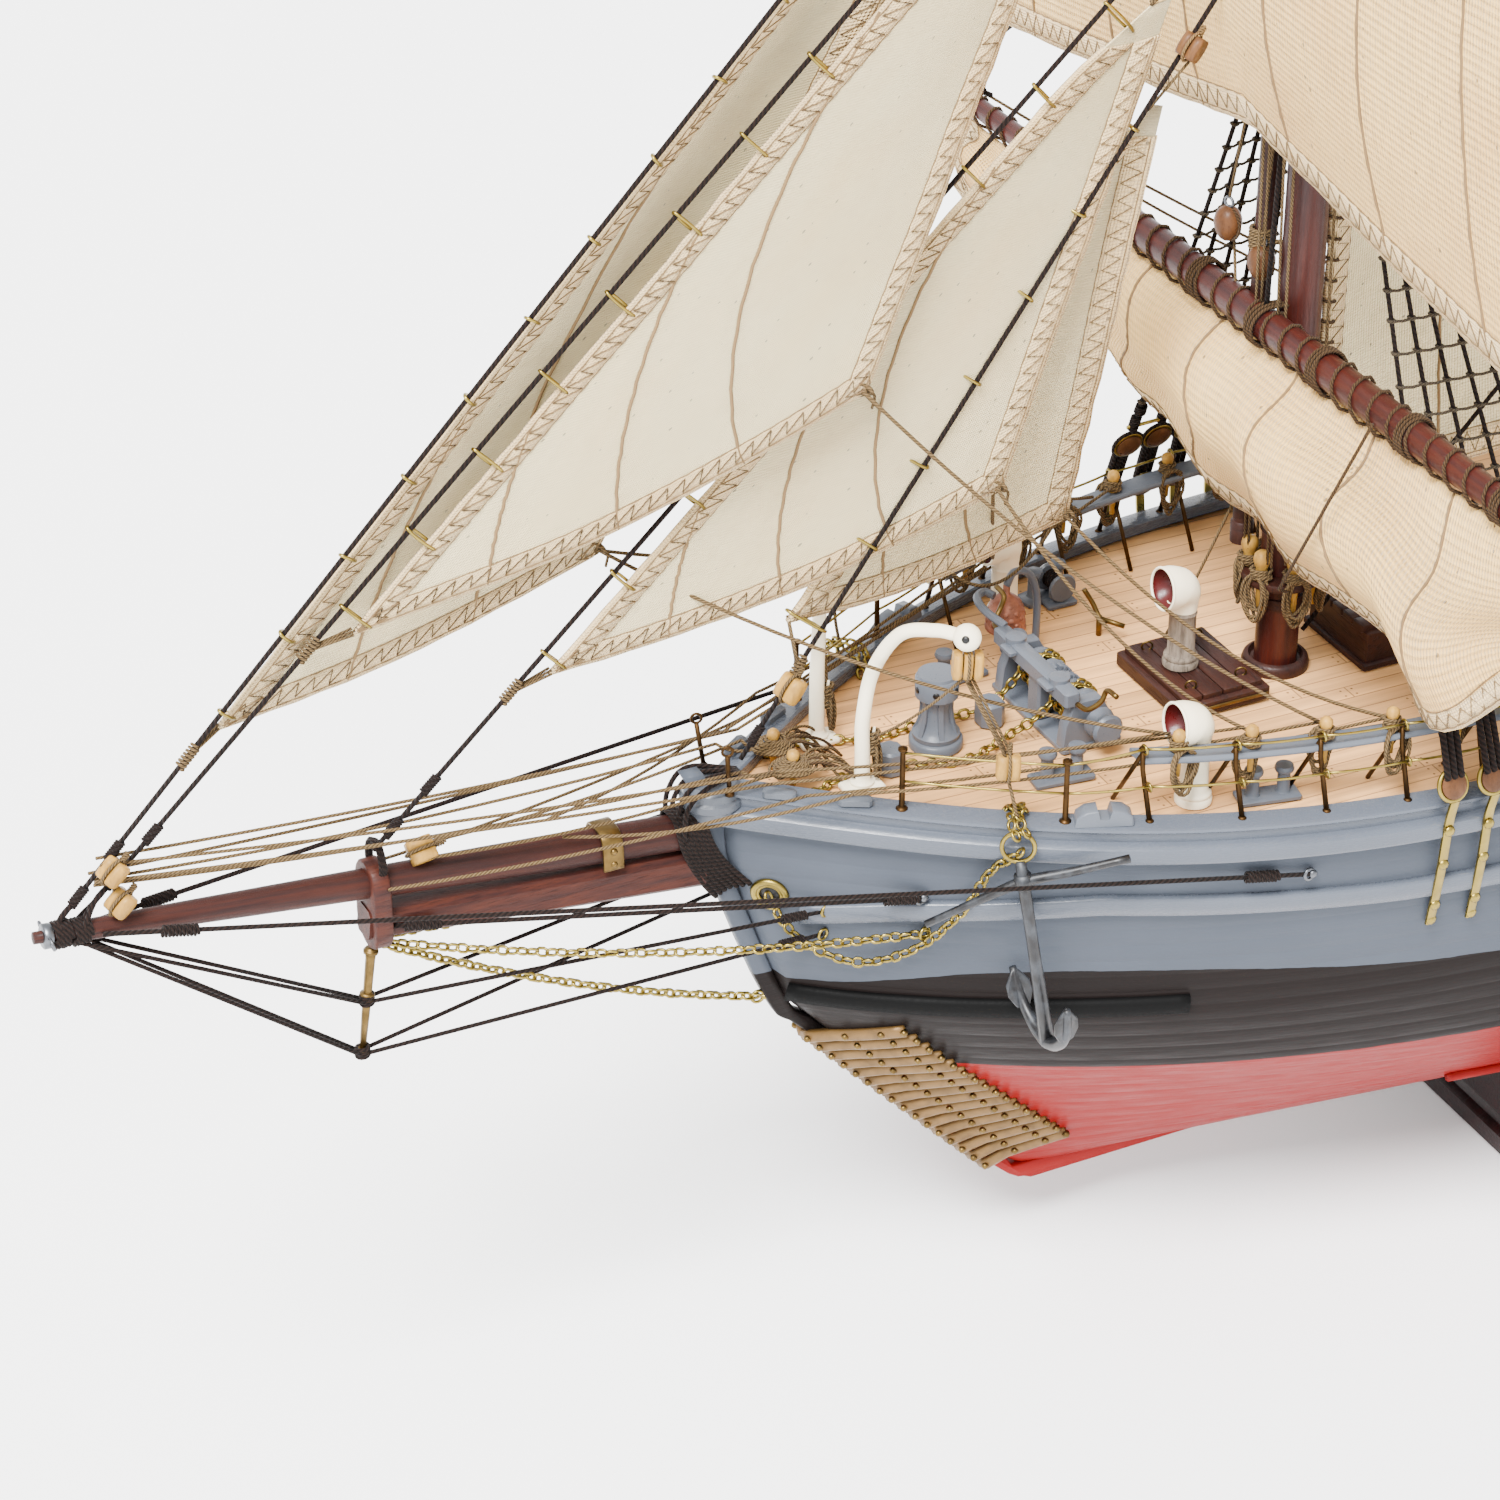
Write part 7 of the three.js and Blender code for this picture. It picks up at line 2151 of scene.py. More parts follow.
def make_bow_rigging():
    """Gammoning, martingale, bobstays and the bowsprit's shrouds."""
    for k in range(7):
        x = -324.4 + 0.95 * k
        high, deep = boom_at(x)[2] + 4.3, 107.5 + 0.5 * k
        path = []
        for g in around(40):
            rise = math.copysign(abs(math.sin(g)) ** 0.7, math.sin(g))
            down = 0.5 - 0.5 * rise
            px = x + 9.0 * down ** 1.8
            pz = mix(high, deep, down)
            y = mix(4.5, 3.1, down) * math.copysign(abs(math.cos(g)) ** 0.5, math.cos(g))
            if px > stem_x(pz) + 0.5 and abs(y) > 1.2:
                y = math.copysign(max(abs(y), abs(side_point(px, pz, 1, 0.6)[1])), y)
            path.append(vec(px, y, pz))
        DARK.tube(path, 0.55, 6, loop=True)
    for f in (0.46, 0.94):
        c = mix(STRIKER_TOP, STRIKER_FOOT, f)
        windings(DARK, c - vec(0, 0, 1.1), c + vec(0, 0, 1.1), 1.15, 4, 0.42, 6)
    tip, mid, low = boom_at(-443), vec(-387.1, 0, 104.6), vec(-388.4, 0, 93.2)
    for y in (-1, 1):
        DARK.tube([tip + vec(0, y * 1.8, -0.6), mid + vec(-0.6, y * 0.9, 0)], 0.42, 6)
        DARK.tube([tip + vec(1.5, y * 1.4, -1.2), low + vec(-0.6, y * 0.9, 0)], 0.42, 6)
        for a, z in ((mid, 106.5), (low, 100.5)):
            b = side_point(-297.5, z, y, 1.0)
            DARK.tube([a + vec(0.4, y * 0.8, 0), b], 0.42, 6)
            seize(DARK, a, b, 0.93, 5, 0.75, 0.28)
            ring(HANKS, b, (0.3, y, 0), 1.1, 0.32, 14, 6)
        # Bowsprit shrouds to the hull, with dark seizings and bright hooks.
        for x, z, start in ((-282.5, 112.3, -383), (-215.9, 116.3, -437)):
            b = side_point(x, z, y, 1.4)
            a = sprit_at(start) + vec(0, y * 3.2, 0) if start > -390 else boom_at(start) + vec(0, y * 2.4, 0)
            DARK.tube([a, b], 0.46, 6)
            seize(DARK, a, b, 0.955, 6.5, 0.9, 0.34)
            seize(DARK, a, b, 0.06, 6.5, 0.9, 0.34)
            ring(HOOKS, b - unit(b - a) * 0.8, (0.2, y, 0.1), 1.1, 0.36, 14, 6)
            nail(HOOKS, b, (0, y, 0), 0.9)
    links = Shape()
    cap = vec(-384.5, 0, 116.8)
    chain(links, sagging(cap, (-306.5, 0, 80.6), 3.0, 30), 1.75, 0.34)
    ring(links, (-305.8, 0, 80.3), (0, 1, 0), 1.3, 0.36, 16, 6)
    links.tube([(-305.0, 0, 80.0), (-301.5, 0, 79.2)], 0.6, 8)
    for y in (-1, 1):
        chain(links, sagging(cap + vec(0.8, y * 1.2, 0.6), side_point(-281.6, 102.8, y, 1.0), 3.5, 34))
        ring(links, side_point(-281.6, 102.8, y, 1.0), (0.4, y, 0), 1.3, 0.36, 14, 6)
    links.make("bobstay_chains", "brass", BRASS)

    # Posts and coils round the stem head.
    woods, coils, posts = Shape(), Shape(), Shape()
    for y in (-5.6, 5.6):
        foot = vec(-314.5, y, deck_top(-314) + 3.2)
        posts.tube([foot, foot + vec(-0.6, 0.1 * y, 5), foot + vec(-1.0, 0.2 * y, 9.2)], 0.5, 8)
        ring(posts, foot + vec(-1.0, 0.2 * y, 10.2), (0.3, 1, 0), 1.0, 0.3, 16, 6)
        posts.turned(((1.0, 0), (0.9, 0.5), (0.55, 0.9)), 10, foot - vec(0, 0, 0.2))
    posts.make("stem_posts", "brass", DARK_BRASS)
    for y in (-4.2, 4.2):
        belay(woods, coils, (-300.5, y, on_deck(-300) + 4.4), seed=int(abs(y)) + (y > 0), coil="flat",
              size=0.95)
        for k in range(9):
            spread = -0.5 + k / 8
            a = vec(-300, y, on_deck(-300) + 4)
            reach = 8 + 5 * math.sin(k * 2.3 + y) ** 2
            path = smooth([a, a + vec(3.5, spread * 4.5, 2.2 + 0.8 * math.sin(3.1 * k)),
                           a + vec(reach * 0.7, spread * 9 + 0.8 * math.sin(2.1 * k), 0.6),
                           a + vec(reach, spread * 12, -3.4)], 5)
            (coils if k % 3 else LACES).tube(path, 0.3, 5)
    for y in (-4.2, -1.4, 1.6, 4.4):
        DARK.tube(smooth([vec(-310, y * 0.15, deck_top(-312) + 4.2), vec(-318.5, y, deck_top(-312) + 4.8),
                          vec(-322.6, y, 130.5), vec(-323.4, y * 1.02, 124)], 6), 0.5, 6)
    pulley(woods, coils, mix(*NOSE["fore_staysail"], 0.085) + vec(0, -1.4, 0),
           NOSE["fore_staysail"][1] - NOSE["fore_staysail"][0], 5.0)
    pulley(woods, coils, boom_at(-375) + vec(0, -0.5, 5.6), (1, 0, 0.15), 5.0)
    for z, x in ((5.6, -433.1), (12.4, -434.0)):
        pulley(woods, coils, boom_at(x) + vec(0, -1.8, z), (1, 0, 1), 4.6)
        coils.tube([boom_at(x) + vec(0, -1.8, z - 2), boom_at(x) + vec(0, 0, 2)], 0.3, 5)
    woods.make("bow_pins_and_blocks", "boxwood", BOX)
    coils.make("bow_ropes", "tan_rope", TAN_ROPE)


def make_running_rigging():
    """Lifts, braces, halyards, topping lifts and the stays between the masts."""
    caps = {"fore_yard": (-197, 306), "fore_topsail_yard": (-202, 396), "fore_topgallant_yard": (-202, 462)}
    aft = {"fore_yard": (-62, 61.5, 131), "fore_topsail_yard": (-24, 2.5, 300),
           "fore_topgallant_yard": (-26, 2.0, 398)}
    for name, z, half, r, x in YARDS:
        cx, cz = caps[name]
        tip = half * 0.94
        for sign in (-1, 1):
            end = vec(x, sign * tip, z + 1.8)
            DARK.tube([end, mix(end, vec(cx, sign * 1.8, cz), 0.5), vec(cx, sign * 1.8, cz)], 0.34, 6)
            ax, ay, az = aft[name]
            lead = vec(ax, sign * ay, az)
            pulley(BLOCKS, DARK, end + unit(lead - end) * 6, lead - end, 4.6)
            TAN.tube(sagging(end + unit(lead - end) * 8, lead, 6, 16), 0.32, 6)
            TAN.tube(sagging(end + vec(0.5, 0, -1), lead + vec(3, 0, -4), 9, 16), 0.32, 6)
            # Footropes with stirrups.
            foot = [vec(x + 2.2, sign * mix(4, tip, f),
                        z - 2 - 9.5 * (1 - (2 * ((f * 3) % 1) - 1) ** 2) ** 0.5
                        * (0.35 if name != "fore_yard" else 0.45) - 5.0) for f in np.linspace(0, 1, 31)]
            DARK.tube(foot, 0.3, 5)
            for f in (0.0, 1 / 3, 2 / 3, 1.0):
                DARK.tube([vec(x + 1.4, sign * mix(4, tip, f), z),
                           vec(x + 2.2, sign * mix(4, tip, f), z - 7)], 0.26, 5)
            # Clewlines, bunt blocks and their brass rings under the yard.
            for f in (0.12, 0.3, 0.62):
                at = vec(x - 1.0, sign * tip * f, z - r - 4.4)
                if name == "fore_yard":
                    at = at + vec(2.8, 0, 0.6)
                pulley(BLOCKS, DARK, at, (0, 0.2, 1), 5.2)
                ring(HANKS, at + vec(0, 0, 4.2), (1, 0, 0), 0.9, 0.26, 12, 5)
        # Parrel lashings to the mast.
        for k in range(3):
            y = -1.6 + 1.05 * k
            path = [(x + 0.3 * math.cos(g) + (5.4 if math.cos(g) > 0 else 0) * math.cos(g)
                     + (r + 0.7) * math.cos(g),
                     y, z + (r + 0.8) * math.sin(g)) for g in around(20)]
            LACES.tube(path, 0.4, 5, loop=True)
        DARK.tube([(x, 0, z + r), (cx + 0.5, 0, min(cz, z + 60))], 0.5, 6)
    # Buntlines over the front of the course, and sheets of the topsails.
    LACES.tube([(-204.6, -47.0, 205.0), (COURSE_X - 13.5, -31.0, 203 - smooth_drop(-31 / 118) - 0.5),
                (COURSE_X - 11.0, -30.0, 203 - smooth_drop(-31 / 118) - 2.0)], 0.34, 6)
    for y in (-16.0, -11.5, 13.0, 18.5):
        TAN.tube([(-196.0, y * 0.9, 201), (-193.5, y * 0.5, 152)], 0.32, 5)
    # Mizzen and main stays, and the triatic stay.
    for a, b in (((-26.5, 0, 300), (-184.5, 0, 132)), ((139.5, 0, 262), (-14, 0, 136)),
                 ((-26.6, 0, 470), (-199, 0, 398)), ((-26.6, 0, 420), (-186, 0, 306)),
                 ((140, 0, 400), (-22, 0, 330))):
        a, b = vec(*a), vec(*b)
        DARK.tube([a, mix(a, b, 0.5), b], 0.48, 6)
        for f in (0.03, 0.95):
            seize(DARK, a, b, f, 4.5, 0.8, 0.28)
    for key, g in GAFFS.items():
        mast = MASTS[{"fore": "foremast", "main": "mainmast", "mizzen": "mizzenmast"}[key]]
        top = mast["top"]
        peak = vec(g["peak"][0] + 4, 0, g["peak"][1] + 6)
        throat = vec(g["x"] + g["r"] + 2, 0, g["throat"] + 5)
        half_way = mix(throat, peak, 0.55) + vec(0, 0, 1.5)
        cap = vec(g["x"] + g["r"] * 0.8, 0, top - 4)
        TAN.tube([peak, cap], 0.34, 6)
        TAN.tube([half_way, cap + vec(0, 0, -6)], 0.34, 6)
        TAN.tube([throat, cap + vec(0, 0, -22)], 0.34, 6)
        pulley(BLOCKS, TAN, mix(half_way, cap, 0.08), cap - half_way, 5)
        pulley(BLOCKS, TAN, throat + vec(0, 0, 4), (0, 0, 1), 5, double=True)
        pulley(BLOCKS, TAN, cap + vec(2.5, 0, -9), (0.3, 0, 1), 5, double=True)
        for sign in (-1, 1):
            TAN.tube(sagging(peak, (g["peak"][0] - 24, sign * 46, deck_top(g["peak"][0]) + 5), 5, 16), 0.3, 6)
            TAN.tube([vec(g["x"] + 2, sign * 5.2, top - 22), vec(g["x"] + 3, sign * 6.2, 150)], 0.3, 6)
        if g["boom"]:
            end = vec(g["boom"][0] - 4, 0, g["boom"][1] - 1)
            for sign in (-1, 1):
                TAN.tube(sagging(end, (g["x"] + 4, sign * 3.4, top - 20), 8, 20), 0.32, 6)
            deck = vec(min(end[0] - 8, 262), 0, deck_top(min(end[0] - 8, 262)) + 7)
            low, high = deck, vec(deck[0] + 2, 0, mix(g["tack"] - 6, g["boom"][1] - 6, 0.9) - 4)
            pulley(BLOCKS, TAN, low, (0, 0, 1), 5.4, double=True)
            pulley(BLOCKS, TAN, high, (0, 0, 1), 5.4, double=True)
            for d in (-1.2, 0.0, 1.2):
                TAN.tube([low + vec(d, d * 0.6, 2), high + vec(d, d * 0.6, -2)], 0.3, 5)
        else:
            clew = vec(g["clew"][0], 0, g["clew"][1])
            for sign in (-1, 1):
                TAN.tube(sagging(clew, (g["clew"][0] + 26, sign * 50, deck_top(-60) + 5), 4, 14), 0.34, 6)


def make_bow_lines():
    """Downhauls and tack lines that run from the boom along both sides to the pins."""
    for sign in (-1, 1):
        for k, (start, via, end) in enumerate((
                ((-437.5, 1.6, 146.5), (-308.0, 10.5, 136.0), (-238.6, 37.9, 143.4)),
                ((-436.0, 1.2, 149.5), (-306.0, 8.5, 137.0), (-224.8, 42.4, 143.4)),
                ((-383.5, 4.8, 131.0), (-303.0, 15.0, 134.5), (-211.3, 47.0, 143.4)),
                ((-374.0, 2.6, 134.0), (-306.0, 6.8, 135.5), (-300.8, 4.6, 135.0)),
                ((-437.5, 1.0, 145.5), (-312.0, 5.6, 137.0), (-300.8, 4.6, 135.6)),
                ((-348.0, 3.4, 131.5), (-296.0, 20.5, 136.0), (-197.6, 51.4, 143.4)))):
            points = [vec(p[0], sign * p[1], p[2]) for p in (start, via, end)]
            for a, b in zip(points, points[1:]):
                TAN.tube(sagging(a, b, 0.8 + 0.35 * k, 10), 0.32, 6)
    for x, y, z in EGG_BLOCKS:
        BROWN_BLOCKS.turned([(2.75 * math.sin(math.pi * k / 10) * (1 - 0.12 * math.cos(math.pi * k / 10)),
                              -3.6 * math.cos(math.pi * k / 10)) for k in range(11)], 18, (x, y, z))
        ring(HOOKS, (x, y, z + 4.4), (1, 0.3, 0), 1.0, 0.3, 14, 6)
        ring(LACES, (x, y, z), (1, 0.2, 0), 3.3, 0.34, 22, 6)
        TAN.tube([(x, y, z + 5.2), (-194.5, y * 0.4, 290)], 0.3, 6)
        TAN.tube([(x + 1.6, y, z - 3), (-193.8, y * 0.7, 152)], 0.3, 6)


def make_mast_pins():
    """Pins, coils and small gear at the foot of every mast."""
    woods, ropes, rings = Shape(), Shape(), Shape()
    for n, m in enumerate(MASTS.values()):
        x, r = m["x"], m["r"]
        z = 147.0 if n == 0 else deck_top(x) + 20
        rings.turned(((r, -0.9), (r + 3.6, -0.8), (r + 3.9, 0), (r + 3.6, 0.8), (r, 0.9)), 30, (x, 0, z))
        for k in range(6):
            g = k * TAU / 6 + 0.35
            at = vec(x + (r + 2.2) * math.cos(g), (r + 2.2) * math.sin(g), z + 0.9)
            belay(woods, ropes, at, seed=k * 5 + n, out=(math.cos(g), math.sin(g), 0), size=1.35)
    # The pole and the small drum that hang beside the foremast.
    rings.tube([(-195.0, 8.2, 152.5), (-194.6, 7.8, 200), (-194.2, 7.6, 272)], 2.0, 18)
    rings.turned(((0.001, -1.2), (1.6, -1.2), (2.3, -0.9), (2.35, 3.4), (2.0, 3.8)), 18, (-195.0, 8.2, 152.0))
    for z in (170, 215, 262):
        windings(ropes, (-194.8, 8.0, z), (-194.8, 8.0, z + 4.5), 2.35, 6, 0.4, 6)
        ropes.tube([(-194.8, 6, z + 2), (-192, 3.4, z + 2.2)], 0.5, 6)
    ropes.tube(sagging((-196.2, 9.6, 160), (-207, 16, on_deck(-207) + 1), 1.0), 0.3, 5)
    ropes.tube([(-193.6, 9.6, 156), (-193.0, 7.0, 147)], 0.3, 5)
    rings.make("mast_pin_rings", "varnished_wood", HATCH, flat=45)
    woods.make("mast_pins", "boxwood", BOX)
    ropes.make("mast_coils", "tan_rope", TAN_ROPE)


make_pin_boards()
make_bowsprit()
make_masts()
make_yards()
make_stays()
make_sheets()
make_lacing()
make_shrouds()
make_bow_rigging()
make_running_rigging()
make_bow_lines()
make_mast_pins()
DARK.make("standing_rigging", "dark_rope", DARK_ROPE)
TAN.make("running_rigging", "tan_rope", TAN_ROPE)
LIGHT.make("block_strops", "tan_rope", LIGHT_ROPE)
LACES.make("sail_lacings", "tan_rope", LACING)
BLOCKS.make("rigging_blocks", "boxwood", BLOCK_WOOD, flat=45)
BROWN_BLOCKS.make("yard_blocks", "boxwood", DEADEYE)
HANKS.make("stay_hanks", "brass", BRASS)
HOOKS.make("shroud_hooks", "black_iron", SILVER)


# ---------------------------------------------------------------- after deck
HOUSE = dict(x0=34.0, x1=124.0, half=23.0, z=deck_top(120) + GAP, height=17.0)
ROOF_Z = HOUSE["z"] + HOUSE["height"] + 1.8


def porthole(brasses, glasses, at, face):
    """Brass rim and dark pane on a wall; face points away from the wall."""
    brasses.turned(((3.1, 0), (3.1, 0.5), (2.7, 0.85), (2.3, 0.7), (2.2, 0.3), (0.001, 0.28)), 28, at, face)
    glasses.turned(((2.15, 0.2), (2.1, 0.42), (0.001, 0.5)), 24, at, face)


def make_deckhouse():
    x0, x1, half, z0, high = HOUSE["x0"], HOUSE["x1"], HOUSE["half"], HOUSE["z"], HOUSE["height"]
    z1 = z0 + high
    walls, frames_, brass, glass = Shape(), Shape(), Shape(), Shape()
    walls.box((x0, -half, z0), (x1, half, z1), 0.4)
    frames_.box((x0 - 0.6, -half - 0.6, z0), (x1 + 0.6, half + 0.6, z0 + 2.0), 0.3)
    frames_.box((x0 - 0.5, -half - 0.5, z1 - 1.8), (x1 + 0.5, half + 0.5, z1 - 0.2), 0.25)
    for sign in (-1, 1):
        for k in range(7):
            x = mix(x0 + 1, x1 - 1, k / 6)
            frames_.box((x - 0.9, sign * (half + 0.2) - 0.4, z0 + 1.8),
                        (x + 0.9, sign * (half + 0.2) + 0.4, z1 - 1.6), 0.15)
        for k in range(6):
            x = mix(x0 + 1, x1 - 1, (k + 0.5) / 6)
            at = (x, sign * (half + 0.05), z0 + 10.2)
            porthole(brass, glass, at, (0, sign, 0))
            for g in around(6):
                nail(brass, (x + 2.7 * math.cos(g), sign * (half + 0.7), z0 + 10.2 + 2.7 * math.sin(g)),
                     (0, sign, 0), 0.26)
    for x, face in ((x0, -1), (x1, 1)):
        for y in (-13, 13):
            frames_.box((x + face * 0.3 - 0.4, y - 5, z0 + 0.8), (x + face * 0.3 + 0.4, y + 5, z1 - 1.8), 0.2)
            for zz in (z0 + 2.2, z0 + 8.6):
                walls.box((x + face * 0.75 - 0.3, y - 3.6, zz), (x + face * 0.75 + 0.3, y + 3.6, zz + 4.6),
                          0.3)
            brass.turned(((0.55, 0), (0.4, 0.8), (0.75, 1.2), (0.001, 1.7)), 10,
                         (x + face * 0.8, y + 4, z0 + 7.6),
                         (face, 0, 0))
        porthole(brass, glass, (x + face * 0.05, 0, z0 + 10.2), (face, 0, 0))
    roof = Shape()
    roof.grid([round_corners(x0 - grow, x1 + grow, half + grow, 2.2, 5, z) for z, grow in
               ((z1 - 0.05, 1.6), (z1 + 0.3, 2.1), (z1 + 1.3, 2.1), (z1 + 1.7, 1.6))])
    roof_planks = Shape()
    for k in range(11):
        y = mix(-half - 1, half + 1, (k + 0.5) / 11)
        roof_planks.box((x0 - 1, y - 2.02, z1 + 1.3), (x1 + 1, y + 2.02, z1 + 1.82), 0.15)
    # Skylight, hand rails and a companion hood on the roof.
    sky = Shape()
    sky.box((50, -8, z1 + 1.6), (76, 8, z1 + 4.6), 0.3)
    for sign in (-1, 1):
        rows = []
        for x in (50, 76):
            rows.append([(x, sign * 8.6, z1 + 4.4), (x, 0, z1 + 8.6), (x, 0, z1 + 9.3),
                         (x, sign * 8.9, z1 + 5.0)])
        sky.grid(facing(rows, sign > 0))
        for k in range(4):
            x = mix(52.6, 73.4, k / 3)
            a = vec(x, sign * 2.0, z1 + 8.75)
            b = vec(x, sign * 7.2, z1 + 6.15)
            for dx in (-1.9, 1.9):
                sky.tube([a + vec(dx, 0, 0.2), b + vec(dx, 0, 0.2)], 0.4, 6)
            glass.put([a + vec(-1.8, 0, 0.12), a + vec(1.8, 0, 0.12), b + vec(1.8, 0, 0.12),
                       b + vec(-1.8, 0, 0.12),
                       a + vec(-1.8, 0, -0.3), a + vec(1.8, 0, -0.3), b + vec(1.8, 0, -0.3),
                       b + vec(-1.8, 0, -0.3)],
                      [(0, 1, 2, 3), (7, 6, 5, 4), (0, 4, 5, 1), (1, 5, 6, 2), (2, 6, 7, 3), (3, 7, 4, 0)])
        y = sign * 19.5
        brass.tube([(x0 + 2, y, z1 + 3.9), (x1 - 2, y, z1 + 3.9)], 0.4, 8)
        for k in range(8):
            x = mix(x0 + 2, x1 - 2, k / 7)
            brass.turned(((0.8, 0), (0.4, 0.5), (0.4, 2.2), (0.65, 2.4)), 8, (x, y, z1 + 1.7))
    rows = []
    for x in (82.0, 97.0):
        rows.append([(x, 6.2, z1 + 1.6), (x, 6.2, z1 + 6.4), (x, 4.0, z1 + 8.0), (x, 0, z1 + 8.8),
                     (x, -4.0, z1 + 8.0), (x, -6.2, z1 + 6.4), (x, -6.2, z1 + 1.6)])
    sky.grid(rows)
    walls.make("deckhouse_walls", "varnished_wood", VARNISH, replaces=["deckhouse"], flat=40)
    frames_.make("deckhouse_frames", "varnished_wood", HATCH, flat=40)
    brass.make("deckhouse_brass", "brass", BRASS)
    glass.make("deckhouse_glass", "black_iron", GLASS)
    roof.make("deckhouse_roof", "white_paint", WHITE, flat=40)
    roof_planks.make("deckhouse_roof_planks", "deck_planks", BOX, flat=40)
    sky.make("roof_skylight", "varnished_wood", VARNISH, flat=40)


def make_funnel():
    z = ROOF_Z + GAP
    body, black, brass, ropes = Shape(), Shape(), Shape(), Shape()
    body.turned(((8, 0), (8, 1.4), (7.4, 1.9), (6.7, 2.4), (6.6, 3), (6.6, 33.0)), 36, (112, 0, z))
    black.turned(((6.6, 33.0), (6.7, 33.2), (6.7, 37.8), (7.25, 38.3), (7.3, 39.8), (6.9, 40.1), (5.8, 40.1),
                  (5.7, 39), (5.7, 22), (0.001, 21.9)), 36, (112, 0, z))
    for h in (12.0, 22.5, 33.2):
        brass.turned(((6.6, -0.6), (6.85, -0.45), (6.85, 0.45), (6.6, 0.6)), 36, (112, 0, z + h))
    brass.tube(smooth([(104, 0, z), (104, 0, z + 20), (104, 0, z + 36), (103.4, 0, z + 39.5)], 5), 1.0, 12)
    for h in (10.0, 30.0):
        brass.tube([(104, 0, z + h), (106, 0, z + h)], 0.5, 6)
    for sx in (-1, 1):
        for sy in (-1, 1):
            a = (112 + sx * 4.6, sy * 4.9, z + 34)
            b = (112 + sx * (10.5 if sx > 0 else 20), sy * 20.5, ROOF_Z + 0.5)
            ropes.tube([a, b], 0.28, 6)
            ring(brass, b, (sx, sy, 0), 0.8, 0.24, 12, 5)
    body.make("funnel_casing", "funnel_paint", BUFF, replaces=["funnel"], flat=45)
    black.make("funnel_top", "black_iron", BLACK_PAINT_AND_HOLE_SHADE, flat=45)
    brass.make("funnel_bands_and_pipe", "brass", OLD_BRASS, flat=45)
    ropes.make("funnel_guys", "dark_rope", DARK_ROPE)


BOAT_X, BOAT_Y, BOAT_Z = 70, 47, 150  # middle of a lifeboat
BOAT_LONG, BOAT_WIDE = 27, 8          # half its length and width
CHOCK_Z = 142.2                       # underside of the blocks that it rests on


def boat_width(f):
    """Share of a lifeboat's full width at f, from -1 at one end to 1 at the other."""
    return math.sqrt(max(0.0, 1 - (f * BOAT_LONG / 27.6) ** 2))


